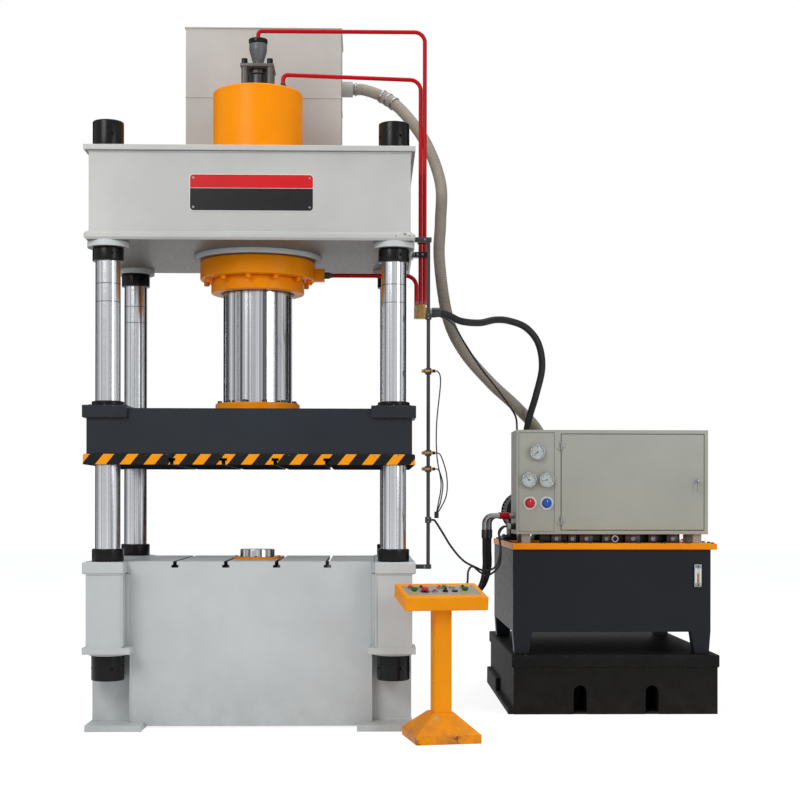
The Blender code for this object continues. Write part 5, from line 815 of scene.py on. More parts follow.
cordSettings = {
    "pressure_hose": {"diameter": 0.042, "stiffness": "stiff",
        "route": [(1.0163, 0.0, 2.3600), (1.0513, 0.0, 2.3600), (1.110, 0.018, 2.345),
        (1.190, 0.085, 2.318), (1.308, 0.200, 2.322), (1.410, 0.275, 2.350), (1.502, 0.350, 2.353),
        (1.610, 0.400, 2.318), (1.689, 0.430, 2.225), (1.715, 0.455, 2.080), (1.681, 0.478, 1.913),
        (1.640, 0.515, 1.760), (1.618, 0.545, 1.600), (1.615, 0.550, 1.400), (1.615, 0.550, 1.250),
        (1.615, 0.550, 1.1356), (1.615, 0.550, 1.0756)]},
    "return_hose": {"diameter": 0.072, "finish": "greyHose", "stiffness": "medium", "rib": (0.0145, 0.0032),
        "route": [(0.5448, 0.650, 3.840), (0.6048, 0.650, 3.840), (0.730, 0.625, 3.790),
        (0.855, 0.560, 3.680), (0.998, 0.480, 3.463), (1.085, 0.420, 3.204), (1.082, 0.350, 2.950),
        (1.074, 0.320, 2.720), (1.123, 0.320, 2.378), (1.225, 0.380, 2.172), (1.400, 0.475, 1.985),
        (1.573, 0.580, 1.842), (1.715, 0.636, 1.690), (1.785, 0.650, 1.500), (1.800, 0.650, 1.300),
        (1.800, 0.650, 1.1556), (1.800, 0.650, 1.0756)]},
    "signal_cable": {"diameter": 0.012, "stiffness": "medium",
        "route": [(0.9923, -0.500, 2.270), (1.0083, -0.500, 2.270), (1.050, -0.430, 2.278),
        (1.131, -0.200, 2.261), (1.200, 0.000, 2.190), (1.310, 0.180, 2.058), (1.420, 0.300, 1.940),
        (1.500, 0.400, 1.850), (1.555, 0.490, 1.780), (1.572, 0.570, 1.710), (1.572, 0.572, 1.665),
        (1.5745, 0.5463, 1.631), (1.5745, 0.5303, 1.631)]},
    "trunk_cable": {"diameter": 0.012, "stiffness": "medium",
        "route": [(0.9923, -0.500, 1.150), (1.0083, -0.500, 1.150), (1.050, -0.460, 1.090),
        (1.108, -0.400, 1.000), (1.180, -0.300, 0.920), (1.255, -0.200, 0.878), (1.330, -0.080, 0.850),
        (1.400, 0.030, 0.880), (1.430, 0.120, 0.970), (1.428, 0.180, 1.060), (1.4632, 0.230, 1.103),
        (1.4812, 0.230, 1.103)]},
    "console_cable": {"diameter": 0.012, "stiffness": "medium",
        "route": [(1.1168, -0.6512, 0.7723), (1.1134, -0.6319, 0.7761), (1.140, -0.600, 0.775),
        (1.185, -0.560, 0.800), (1.200, -0.450, 0.865), (1.235, -0.300, 0.885), (1.290, -0.170, 0.845),
        (1.350, -0.040, 0.825), (1.420, 0.080, 0.880), (1.435, 0.180, 0.980), (1.430, 0.235, 1.070),
        (1.4632, 0.280, 1.103), (1.4812, 0.280, 1.103)]},
    "ejector_hose_front": {"diameter": 0.030, "stiffness": "stiff",
        "route": [(1.350, 0.300, 1.0697), (1.350, 0.300, 0.960), (1.350, 0.300, 0.850),
        (1.325, 0.300, 0.740), (1.255, 0.300, 0.665), (1.150, 0.300, 0.640), (1.040, 0.300, 0.652),
        (0.9763, 0.300, 0.660), (0.9363, 0.300, 0.660)]},
    "ejector_hose_rear": {"diameter": 0.030, "stiffness": "stiff",
        "route": [(1.385, 0.400, 1.0697), (1.385, 0.400, 0.960), (1.385, 0.400, 0.850),
        (1.350, 0.400, 0.740), (1.270, 0.400, 0.668), (1.160, 0.400, 0.642), (1.040, 0.400, 0.653),
        (0.9763, 0.400, 0.660), (0.9363, 0.400, 0.660)]},
    "sensor_lead_high": {"diameter": 0.007, "stiffness": "limp",
        "route": [(1.0128, -0.522, 1.968), (1.0228, -0.522, 1.968), (1.038, -0.522, 1.945),
        (1.040, -0.522, 1.883), (1.020, -0.522, 1.675), (1.022, -0.522, 1.500), (1.045, -0.522, 1.350),
        (1.030, -0.522, 1.240), (1.020, -0.522, 1.190)]},
    "sensor_lead_middle": {"diameter": 0.007, "stiffness": "limp",
        "route": [(1.0128, -0.522, 1.518), (1.0228, -0.522, 1.518), (1.045, -0.522, 1.500),
        (1.075, -0.522, 1.400), (1.075, -0.522, 1.290), (1.040, -0.522, 1.210), (1.020, -0.522, 1.182)]},
    "sensor_lead_low": {"diameter": 0.007, "stiffness": "limp",
        "route": [(1.0128, -0.522, 1.430), (1.0228, -0.522, 1.430), (1.038, -0.522, 1.412),
        (1.055, -0.522, 1.340), (1.040, -0.522, 1.240), (1.020, -0.522, 1.186)]},
}
junctionSettings = {
    "spot": (1.020, -0.522, 1.178),
    "size": (0.024, 0.024, 0.036),
}
wrapSettings = {
    "near": (0.765, 0.608, 3.762),
    "half": 0.055,
    "radius": 0.040,
    "bands": (-0.046, 0.0, 0.046),
}


# A corrugated hose has rounded ribs, and the others stay smooth
def hoseRadius(setting):
    radius = setting["diameter"] / 2
    if "rib" not in setting:
        return lambda travelled, angle: radius
    pitch, depth = setting["rib"]
    return lambda travelled, angle: radius - depth * (0.5 - 0.5
        * math.cos(2 * math.pi * travelled / pitch)) ** 1.5


half = Vector(junctionSettings["size"]) / 2
spot = pressPoint(*junctionSettings["spot"])
junction = block("harness_junction", spot - half, spot + half, 0.005, "blackRubber", 3)
dress(junction)
routes = {}
for name, setting in cordSettings.items():
    diameter = setting["diameter"]
    spacing = setting["rib"][0] / 4 if "rib" in setting else max(diameter / 2, 0.006)
    route, length = smoothRoute([pressOrigin + Vector(point) for point in setting["route"]], spacing)
    routes[name] = route
    vertices, faces = sweep(route, hoseRadius(setting), 24 if diameter > 0.03 else 12)
    finish = setting.get("finish", "blackRubber")
    hose = meshPiece(name + "_sheath", vertices, faces, finish, smooth=60)
    dress(hose, *([name] if name in nodes else []))
    if name == "sensor_lead_high":
        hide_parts("sensor_harness")
near = pressOrigin + Vector(wrapSettings["near"])
middle = min(range(len(routes["return_hose"])), key=lambda index: (routes["return_hose"][index]
    - near).length)
route = [point for point in routes["return_hose"][middle - 30:middle + 31]
    if (point - routes["return_hose"][middle]).length < wrapSettings["half"]]
vertices, faces = sweep(route, lambda travelled, angle: wrapSettings["radius"] - 0.0015
    * abs(math.sin(travelled * 160 + angle)), 28)
dress(meshPiece("hose_joint_wrap", vertices, faces, "greyHose", smooth=60))
clips = []
for shift in wrapSettings["bands"]:
    at = min(range(len(route)), key=lambda index: abs((route[index] - routes["return_hose"][middle]).length
        * (1 if index > len(route) / 2 else -1) - shift))
    at = min(max(at, 1), len(route) - 3)
    direction = (route[at + 1] - route[at - 1]).to_track_quat("Z", "Y").to_matrix().to_4x4()
    clips.append(lathe("hose_clip", ringOutline(0.0385, 0.0425, -0.006, 0.006, 0.001),
        Matrix.Translation(route[at]) @ direction, "steel", 48))
dress(merged("hose_joint_clips", *clips))
print("hoses made")


# Columns, nuts and collars

cornerSpots = {"front_left": (-0.785, -0.480), "front_right": (0.785, -0.480), "rear_left": (-0.785, 0.480),
    "rear_right": (0.785, 0.480)}
columnSettings = {"radius": 0.069, "top": 3.3218, "chamfer": 0.004}
nutSettings = {
    "underNut": {"radius": 0.085, "low": 2.5657, "high": 2.6397, "hole": 0.5},
    "collar": {"radius": 0.0865, "low": 0.9203, "high": 0.9903, "hole": None},
    "lowerNut": {"radius": 0.090, "low": 0.2687, "high": 0.4067, "hole": 0.5},
    "topNut": {"radius": 0.085, "low": 3.1865, "high": 3.3320, "hole": 0.45},
}
bossSettings = {
    "crown": (0.1135, 2.6405, 2.672),
    "bed": (0.1035, 0.4072, 0.419),
}


# Blind holes for the hook spanner, cut into the nut
def drilled(piece, centre, radius, z, count, hole=0.009, depth=0.012):
    cutters = []
    for index in range(count):
        angle = 2 * math.pi * (index + 0.25) / count - math.pi / 2
        direction = Vector((math.cos(angle), math.sin(angle), 0))
        place = Matrix.Translation(Vector(centre) + direction * radius + Vector((0, 0, z)))
        place = place @ direction.to_track_quat("Z", "Y").to_matrix().to_4x4()
        cutters.append(lathe("spanner_cutter", rodOutline(hole, depth, -depth), place, "glossBlack", 20))
    cutter = merged("spanner_cutters", *cutters)
    modifier = piece.modifiers.new("holes", "BOOLEAN")
    modifier.object = cutter
    modifier.solver = "EXACT"
    made = evaluatedMesh(piece)
    piece.modifiers.clear()
    made.set_sharp_from_angle(angle=math.radians(30))
    piece.data = made
    bpy.data.objects.remove(cutter)
    return piece


def columnNut(name, setting, centre, gap):
    outline = ringOutline(columnSettings["radius"] + gap, setting["radius"], setting["low"],
        setting["high"], 0.007, 4)
    nut = lathe(name, outline, centre, "glossBlack")
    if not setting["hole"]:
        return nut
    height = setting["low"] + setting["hole"] * (setting["high"] - setting["low"])
    return drilled(nut, centre, setting["radius"], height, 4)


for corner, (x, y) in cornerSpots.items():
    shaft, top, chamfer = columnSettings["radius"], columnSettings["top"], columnSettings["chamfer"]
    centre, foot = pressPoint(x, y, 0), nutSettings["lowerNut"]["low"]
    outline = [(0, top), (shaft - chamfer, top), (shaft, top - chamfer), (shaft, foot), (0, foot)]
    dress(lathe("tie_rod_" + corner, outline, centre, "columnChrome"), "column_" + corner)
    fixed = [columnNut(key, nutSettings[key], centre, 0.0003) for key in ("underNut", "collar", "lowerNut")]
    dress(merged("column_nuts_" + corner, *fixed))
    dress(columnNut("crown_nut_" + corner, nutSettings["topNut"], centre, 0.0005), "top_nut_" + corner)
    rings = [lathe("boss", ringOutline(shaft + 0.001, radius, low, high, 0.003), centre, "framePaint")
        for radius, low, high in bossSettings.values()]
    dress(merged("boss_rings_" + corner, *rings))
print("columns made")


# Main cylinder, gland and ram

cylinderSettings = {"outer": 0.260, "top": 3.6218, "flange": 0.3335, "flangeLow": 2.5337,
    "flangeHigh": 2.6417, "bore": 0.220, "headLow": 3.542}
flangeBolts = {"circle": 0.302, "count": 12, "radius": 0.0165, "height": 0.024, "start": 0.419}
glandSettings = {"outer": 0.270, "inner": 0.2004, "low": 2.4564, "high": 2.5334}
ramSettings = {"radius": 0.200, "low": 1.7573, "high": 3.060, "piston": 0.219, "pistonLow": 2.960}
clampSettings = {"outer": 0.245, "inner": 0.2004, "low": 1.7573, "high": 1.8173, "circle": 0.2227,
    "count": 12}

s = cylinderSettings
outline = rounded([(0, s["top"]), (s["outer"], s["top"]), (s["outer"], s["flangeHigh"]),
    (s["flange"], s["flangeHigh"]), (s["flange"], s["flangeLow"]), (s["bore"], s["flangeLow"]),
    (s["bore"], s["headLow"]), (0, s["headLow"])], 0.010, 4)
dress(lathe("cylinder_body", outline, pressOrigin, "orangePaint", 128), "main_cylinder")
under = circleSpots(pressPoint(0, 0, s["flangeLow"]), flangeBolts["circle"], flangeBolts["count"],
    (0, 0, -1), flangeBolts["start"])
dress(screws("flange_bolts", under, flangeBolts["radius"], flangeBolts["height"], "orangePaint", 6, 0.8))
dress(block("port_block", pressPoint(0.320, -0.035, 2.535), pressPoint(0.3883, 0.035, 2.605), 0.003,
    "orangePaint"))
s = glandSettings
outline = rounded([(s["inner"], s["high"]), (s["outer"], s["high"]), (s["outer"], s["low"]),
    (0.2123, s["low"]), (0.2123, s["low"] + 0.006), (s["inner"], s["low"] + 0.006)], 0.008, 4)
dress(lathe("gland_body", [*outline, outline[0]], pressOrigin, "orangePaint", 128), "gland_ring")
dress(lathe("ram_wiper", ringOutline(0.2008, 0.2118, s["low"] - 0.0025, s["low"] + 0.0058, 0.002),
    pressOrigin, "blackRubber", 128))
dress(lathe("gland_boss_ring", ringOutline(0.3345, 0.3710, 2.6424, 2.672, 0.003), pressOrigin, "framePaint",
    128))
s = ramSettings
outline = [(0, s["high"]), (s["piston"], s["high"]), (s["piston"], s["pistonLow"]),
    (s["radius"], s["pistonLow"]), (s["radius"], s["low"]), (0, s["low"])]
dress(lathe("ram_rod", outline, pressOrigin, "chrome", 128), "ram", body="press_slide")
s = clampSettings
ring = lathe("clamp_ring", ringOutline(s["inner"], s["outer"], s["low"], s["high"], 0.008, 4), pressOrigin,
    "orangePaint", 128)
dress(ring, "ram_clamp_ring", body="press_slide")
screwSpots = circleSpots(pressPoint(0, 0, s["high"]), s["circle"], s["count"], (0, 0, 1), math.pi / 12)
dress(screws("clamp_screws", screwSpots, 0.013, 0.0138, "darkSteel", 12), body="press_slide")
print("cylinder made")


# Slide guides

guideSettings = {"outer": 0.0885, "inner": 0.0702, "low": 1.7731, "high": 1.7972, "wiper": 0.0770}
bushes, wipers = [], []
for x, y in cornerSpots.values():
    s = guideSettings
    bushes.append(lathe("guide_bush", ringOutline(s["wiper"], s["outer"], s["low"], s["high"], 0.004),
        pressPoint(x, y, 0), "glossBlack"))
    wipers.append(lathe("guide_wiper", ringOutline(s["inner"], s["wiper"], s["low"], s["high"] + 0.003,
        0.002), pressPoint(x, y, 0), "blackRubber"))
dress(merged("guide_bushes", *bushes), body="press_slide")
dress(merged("guide_wipers", *wipers), body="press_slide")
spots = []
for x, y in cornerSpots.values():
    spots += circleSpots(pressPoint(x, y, 1.7730), 0.103, 6, (0, 0, 1), math.pi / 6)
dress(screws("guide_screws", spots, 0.007, 0.007, "darkSteel", 12), body="press_slide")


# Filler strips between the bed's body and its corner pillars

stripSettings = {"inner": 0.6656, "outer": 0.6899, "front": 0.462, "rear": 0.430, "low": 0.450,
    "high": 0.8520}
s = stripSettings
strips = []
for sx in (-1, 1):
    for sy in (-1, 1):
        # Each strip fills the step of one pillar
        xs, ys = sorted((sx * s["inner"], sx * s["outer"])), sorted((sy * s["front"], sy * s["rear"]))
        strips.append(block("strip", pressPoint(xs[0], ys[0], s["low"]),
            pressPoint(xs[1], ys[1], s["high"]), 0.001, "framePaint"))
dress(merged("bed_filler_strips", *strips))


# Front and rear sheets of the bed, notched at the T-slots


# A flat piece standing across the press, from an outline that runs anticlockwise seen from the front
def upright(name, outline, front, rear, finish):
    count = len(outline)
    vertices = [pressPoint(x, y, z) for y in (front, rear) for x, z in outline]
    faces = [list(range(count)), list(range(2 * count - 1, count - 1, -1))]
    faces += [[step, count + step, count + (step + 1) % count, (step + 1) % count] for step in range(count)]
    return meshPiece(name, vertices, faces, finish, smooth=0)


sheetSettings = {"half": 0.6654, "low": 0.0130, "high": 0.9196, "proud": 0.0022,
    "slots": (0.420, 0.140, -0.140, -0.420), "neck": 0.0101, "tee": 0.0196, "lip": 0.900, "floor": 0.8849}
s = sheetSettings
tableLow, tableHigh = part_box("table_plate")
outline = [(-s["half"], s["low"]), (s["half"], s["low"]), (s["half"], s["high"])]
for x in s["slots"]:
    outline += [(x + s["neck"], s["high"]), (x + s["neck"], s["lip"]), (x + s["tee"], s["lip"]),
        (x + s["tee"], s["floor"]), (x - s["tee"], s["floor"]), (x - s["tee"], s["lip"]),
        (x - s["neck"], s["lip"]), (x - s["neck"], s["high"])]
outline.append((-s["half"], s["high"]))
front, rear = tableLow.y - pressOrigin.y, tableHigh.y - pressOrigin.y
sheets = [upright("sheet", outline, front - s["proud"], front + 0.001, "framePaint"),
    upright("sheet", outline, rear - 0.001, rear + s["proud"], "framePaint")]
dress(merged("bed_sheets", *sheets))


# Welds along the crown's and the bed's seams

weldSettings = {"radius": 0.0065, "ripple": 0.0011, "pitch": 0.011, "step": 0.0037, "sides": 6}


def weld(name, start, end):
    start, end = Vector(start), Vector(end)
    count = max(2, round((end - start).length / weldSettings["step"]))
    points = [start.lerp(end, index / count) for index in range(count + 1)]
    shift = random.uniform(0, 6)

    def bead(travelled, angle):
        ripple = abs(math.sin(math.pi * travelled / weldSettings["pitch"]))
        return weldSettings["radius"] * (1 + 0.10 * math.sin(travelled * 7
            + shift)) - weldSettings["ripple"] * ripple
    vertices, faces = sweep(points, bead, weldSettings["sides"])
    return meshPiece(name, vertices, faces, "framePaint", smooth=60)


def weldLoop(name, halfX, halfY, z):
    corners = [(-halfX, -halfY), (halfX, -halfY), (halfX, halfY), (-halfX, halfY)]
    return [weld(name, pressPoint(*first, z), pressPoint(*second, z))
        for first, second in roundPairs(corners)]


dress(merged("crown_welds", *weldLoop("weld", 0.8765, 0.5765, 2.7155),
    *weldLoop("weld", 0.8765, 0.5765, 3.1545)))
# Both ends of each weld round one pillar, mirrored to the other three
pillarWelds = (((0.693, 0.589, 0.8553), (0.883, 0.589, 0.8553)),
    ((0.693, 0.589, 0.4565), (0.883, 0.589, 0.4565)), ((0.6890, 0.589, 0.4600), (0.6890, 0.589, 0.852)),
    ((0.6650, 0.461, 0.0370), (0.6650, 0.461, 0.416)), ((0.6650, 0.392, 0.0370), (0.883, 0.392, 0.037)))
beads = []
for sx, sy in ((-1, -1), (1, -1), (-1, 1), (1, 1)):
    for ends in pillarWelds:
        beads.append(weld("weld", *(pressPoint(sx * x, sy * y, z) for x, y, z in ends)))
dress(merged("bed_welds", *beads))
print("welds made")


# Bare nameplate on the crown

plateSettings = {"left": -0.3299, "right": 0.3460, "low": 2.8291, "split": 2.9546, "high": 3.0319,
    "front": -0.5752, "border": 0.0042}
s = plateSettings
width, depth = s["right"] - s["left"], s["high"] - s["low"]
place = Matrix.Translation(pressPoint((s["left"] + s["right"]) / 2, s["front"], (s["low"] + s["high"]) / 2))
place = place @ towardsFront
dress(roundedPlate("nameplate_backing", width, depth, 0.022, 0.0, 0.003, "plateWhite", place))


# The plate's field between two heights, with round corners at one end and square ones at the other
def plateField(name, low, high, roundedEnd, finish):
    left, right, radius = s["left"] + s["border"], s["right"] - s["border"], 0.018
    outline = []
    for x, z, start in ((left, low, 180), (right, low, 270), (right, high, 0), (left, high, 90)):
        if z != roundedEnd:
            outline.append((x, z))
            continue
        middle = Vector((x + math.copysign(radius, left + right - 2 * x),
            z + (radius if z == low else -radius)))
        outline += quarter(middle.x, middle.y, radius, start)
    dress(upright(name, outline, s["front"] - 0.0040, s["front"] - 0.0029, finish))


plateField("nameplate_field", s["low"] + s["border"], s["split"] - 0.0014, s["low"] + s["border"],
    "plateBlack")
plateField("nameplate_band", s["split"] + 0.0014, s["high"] - s["border"], s["high"] - s["border"],
    "plateRed")
rivets = [(pressPoint(x, s["front"] - 0.004, z), (0, -1, 0))
    for x in (s["left"] + 0.022, s["right"] - 0.022) for z in (s["low"] + 0.022, s["high"] - 0.022)]
dress(screws("nameplate_rivets", rivets, 0.0065, 0.0022, "steel", 12, 0.8))
print("nameplate made")


# Prefill valve on the cylinder head

valveSettings = {"low": 3.6224, "flangeTop": 3.640, "plateLow": 3.7623, "plateTop": 3.7803,
    "coneTop": 3.9180, "capTop": 3.9440, "half": 0.093, "plateHalf": 0.097, "post": 0.0185,
    "postSpot": 0.0735, "core": 0.060, "bolt": 0.073}
s = valveSettings
bodyParts = [block("valve_foot", pressPoint(-s["half"], -s["half"], s["low"]),
    pressPoint(s["half"], s["half"], s["flangeTop"]), 0.003, "valvePaint"),
    block("valve_plate", pressPoint(-s["plateHalf"], -s["plateHalf"], s["plateLow"]),
    pressPoint(s["plateHalf"], s["plateHalf"], s["plateTop"]), 0.003, "valvePaint")]
for x in (-s["postSpot"], s["postSpot"]):
    for y in (-s["postSpot"], s["postSpot"]):
        bodyParts.append(lathe("valve_post", rodOutline(s["post"], s["plateLow"] + 0.002,
            s["flangeTop"] - 0.002), pressPoint(x, y, 0), "valvePaint", 32))
outline = rounded([(0, s["coneTop"]), (0.0520, s["coneTop"]), (0.0520, 3.8820), (0.0480, 3.8640),
    (0.0320, 3.8100), (0.0300, 3.7900), (0.0340, s["plateTop"] - 0.001), (0, s["plateTop"] - 0.001)], 0.006)
bodyParts.append(lathe("valve_cone", outline, pressOrigin, "valvePaint", 64))
dress(merged("valve_body", *bodyParts), "prefill_valve")
coreOutline = rounded([(0, s["plateLow"] + 0.001), (s["core"], s["plateLow"] + 0.001), (s["core"], 3.735),
    (s["core"] - 0.008, 3.730), (s["core"] - 0.008, 3.672), (s["core"], 3.667),
    (s["core"], s["flangeTop"] - 0.001), (0, s["flangeTop"] - 0.001)], 0.002)
dress(lathe("valve_core", coreOutline, pressOrigin, "darkSteel", 64))
capOutline = rounded([(0, s["capTop"]), (0.0535, s["capTop"]), (0.0556, 3.9400), (0.0556, 3.9240),
    (0.0520, s["coneTop"] + 0.0002), (0, s["coneTop"] + 0.0002)], 0.002)
dress(lathe("valve_cap", capOutline, pressOrigin, "glossBlack", 64))
spots = [(pressPoint(x, y, s["plateTop"]), (0, 0, 1)) for x in (-s["bolt"], s["bolt"])
    for y in (-s["bolt"], s["bolt"])]
dress(screws("valve_screws", spots, 0.0175, 0.0302, "glossBlack", 12))
print("valve made")


# Overhead tank's seam, lid screws and outlet

overheadSettings = {"seam": 3.730, "left": -0.4765, "right": 0.4745, "front": 0.450, "rear": 0.900}
s = overheadSettings
seamCorners = [(s["left"], s["front"]), (s["right"], s["front"]), (s["right"], s["rear"]),
    (s["left"], s["rear"])]
seams = []
for first, second in roundPairs(seamCorners):
    points = [pressPoint(*first, s["seam"]), pressPoint(*second, s["seam"])]
    seams.append(tubePiece("seam", [points[0].lerp(points[1], step / 40) for step in range(41)], 0.0035,
        "overheadPaint", 8))
dress(merged("overhead_tank_seam", *seams))
outlet = pressPoint(s["right"], 0.650, 3.840)
dress(lathe("outlet_pipe", ringOutline(0.0300, 0.0480, 0.0, 0.0699, 0.003), rightAt(outlet),
    "overheadPaint", 64))
dress(lathe("outlet_clip", ringOutline(0.0365, 0.0405, 0.0, 0.012, 0.001),
    Matrix.Translation(outlet + Vector((0.082, 0, 0))) @ towardsRight, "steel", 64))
print("overhead tank made")


# Pressure pipes, their nuts, clamps and union

pipeSettings = {"radius": 0.0119, "prefillZ": 3.9946, "feedZ": 3.714, "inner": 0.9482, "outer": 0.9724,
    "low": 2.4003, "glandZ": 2.570, "glandX": 0.9240, "start": 3.9443}
s = pipeSettings
pipes = {
    "prefill_pipe": ([(0, 0, s["start"]), (0, 0, s["prefillZ"]), (s["outer"], 0, s["prefillZ"]),
        (s["outer"], 0, s["low"])], (0.024, 0.060)),
    "cylinder_pipe": ([(0.150, -0.090, 3.6223), (0.150, -0.090, s["feedZ"]), (s["inner"], 0, s["feedZ"]),
        (s["inner"], 0, s["low"])], (0.030, 0.060)),
    "gland_pipe": ([(0.3888, 0, s["glandZ"]), (s["glandX"], 0, s["glandZ"]), (s["glandX"], 0, s["low"])],
        0.060),
}
for name, (corners, bend) in pipes.items():
    route = bentRoute([pressPoint(*corner) for corner in corners], bend)
    dress(tubePiece(name + "_tube", route, s["radius"], "redPaint", 20), name)
nutPlaces = [(pressPoint(0.150, -0.090, 3.6222), (0, 0, 1), 0.019, 0.030),
    (pressPoint(0.150, -0.090, 3.6522), (0, 0, 1), 0.014, 0.014),
    (pressPoint(0.3886, 0, s["glandZ"]), (1, 0, 0), 0.019, 0.030),
    (pressPoint(0.4186, 0, s["glandZ"]), (1, 0, 0), 0.014, 0.014)]
for number, (spot, direction, radius, height) in enumerate(nutPlaces):
    dress(screws(f"pipe_nut_{number + 1}", [(spot, direction)], radius, height, "darkSteel", 6, 0.8))
collars = []
for x in (s["glandX"], s["inner"], s["outer"]):
    collars.append(lathe("collar", ringOutline(0.0105, 0.0118, 2.4002, 2.424, 0.001), pressPoint(x, 0, 0),
        "steel", 32))
dress(merged("union_collars", *collars))
dress(block("pipe_spacer_clamp", pressPoint(0.930, -0.020, 2.758), pressPoint(0.990, 0.020, 2.782), 0.003,
    "glossBlack"))
clampScrews = [(pressPoint(0.960, -0.020, 2.770), (0, -1, 0)),
    (pressPoint(0.960, -0.0241, 2.692), (0, -1, 0)), (pressPoint(0.930, -0.0241, 2.692), (0, -1, 0))]
dress(screws("clamp_block_screws", clampScrews, 0.006, 0.006, "steel", 12))
bracketScrews = [(pressPoint(0.9064, y, 2.692), (1, 0, 0)) for y in (-0.045, 0.045)]
dress(screws("pipe_bracket_screws", bracketScrews, 0.010, 0.007, "steel", 6))
unionBlock = block("union_block", pressPoint(0.912, -0.030, 2.320), pressPoint(0.978, 0.030, 2.3998), 0.006,
    "brass", 3)
unionNose = screws("union_nose", [(pressPoint(0.978, 0, 2.360), (1, 0, 0))], 0.026, 0.020, "brass", 6, 0.8)
unionSleeve = lathe("union_sleeve", ringOutline(0.0125, 0.0225, 0.0, 0.0181, 0.002),
    rightAt(pressPoint(0.998, 0, 2.360)), "steel", 48)
dress(merged("pipe_union_body", unionBlock, unionNose, unionSleeve), "pipe_union")
dress(lathe("pressure_hose_ferrule", ringOutline(0.0212, 0.0252, 0.0, 0.050, 0.003),
    rightAt(pressPoint(1.0166, 0, 2.360)), "darkSteel", 48))
plugs = [(pressPoint(0.945, -0.030, 2.345), (0, -1, 0)), (pressPoint(0.925, -0.030, 2.375), (0, -1, 0))]
dress(screws("union_plugs", plugs, 0.009, 0.006, "steel", 6))
print("pipes made")


# Sensor rod with its clamps, sensors and clips

rodSettings = {"x": 0.975, "y": -0.500, "radius": 0.010, "low": 0.880, "high": 2.700, "clamp": 0.017}
sensorHeights = (1.968, 1.518, 1.430)
clipHeights = (2.270, 1.150)
s = rodSettings
rodParts = [lathe("rod", [(0, s["high"]), (s["radius"] - 0.001, s["high"]),
    (s["radius"], s["high"] - 0.001), (s["radius"], s["low"]), (0, s["low"])],
    pressPoint(s["x"], s["y"], 0), "rodPaint", 24)]
half = Vector((s["clamp"],) * 3)
for z in sensorHeights + clipHeights:
    spot = pressPoint(s["x"], s["y"], z)
    rodParts.append(block("rod_clamp", spot - half, spot + half, 0.003, "rodPaint"))
for z, wall in ((0.893, 0.9053), (2.692, 0.9003)):
    rodParts.append(block("rod_bracket", pressPoint(wall, s["y"] - 0.017, z - 0.012),
        pressPoint(0.992, s["y"] + 0.017, z + 0.012), 0.002, "rodPaint"))
dress(merged("sensor_rod_body", *rodParts), "sensor_rod")
barrels, caps = [], []
for z in sensorHeights:
    left = pressPoint(0.9377, -0.522, z)
    thread = [(0.0090 - 0.0006 * (index % 2), 0.060 - 0.0012 * index) for index in range(50)]
    barrels.append(lathe("sensor_barrel", [(0, 0.060), *thread, (0, 0.001)], rightAt(left), "brass", 24))
    caps.append(lathe("sensor_cap", rounded([(0, 0.0749), (0.0088, 0.0749), (0.0092, 0.060), (0, 0.060)],
        0.002), rightAt(left), "buttonBlack", 24))
    caps.append(lathe("sensor_face", rodOutline(0.0086, 0.0012, 0.0), rightAt(left), "buttonBlack", 24))
dress(merged("sensor_barrels", *barrels))
dress(merged("sensor_caps", *caps))
spots = [(pressPoint(0.9377 + shift, -0.522, z), (1, 0, 0)) for z in sensorHeights
    for shift in (0.012, 0.046)]
dress(screws("sensor_nuts", spots, 0.0125, 0.004, "darkSteel", 6, 0.8))
spots = [(pressPoint(s["x"], s["y"] - s["clamp"], z + shift), (0, -1, 0)) for z in clipHeights
    for shift in (-0.01, 0.01)]
dress(screws("clip_screws", spots, 0.004, 0.003, "steel", 12))
spots = [(pressPoint(0.9553, s["y"] - 0.017, z), (0, -1, 0)) for z in (0.893, 2.692)]
dress(screws("rod_bracket_screws", spots, 0.006, 0.004, "steel", 12))
print("sensor rod made")


# Ejector

ejectorSettings = {"ring": 0.1425, "bore": 0.1012, "top": 0.932, "neck": 0.875, "outer": 0.130,
    "low": 0.120, "rod": 0.100, "rodTop": 0.975, "rodLow": 0.320}
s = ejectorSettings
outline = rounded([(s["bore"], s["top"]), (s["ring"], s["top"]), (s["ring"], s["neck"]),
    (s["outer"], s["neck"]), (s["outer"], s["low"]), (0.020, s["low"]), (0.020, s["low"] + 0.040),
    (s["bore"], s["low"] + 0.040)], 0.003)
dress(lathe("ejector_sleeve", [*outline, outline[0]], pressOrigin, "orangePaint", 96), "ejector_cylinder")
outline = rounded(rodOutline(s["rod"], s["rodTop"], s["rodLow"]), 0.005)
dress(lathe("ejector_pin", outline, pressOrigin, "chrome", 96), "ejector_rod", body="ejector")
ringSpots = circleSpots(pressPoint(0, 0, s["top"]), 0.122, 8, (0, 0, 1))
dress(screws("ejector_ring_screws", ringSpots, 0.008, 0.005, "darkSteel", 12))
print("ejector made")


# Power unit: fittings of the tank and its lid

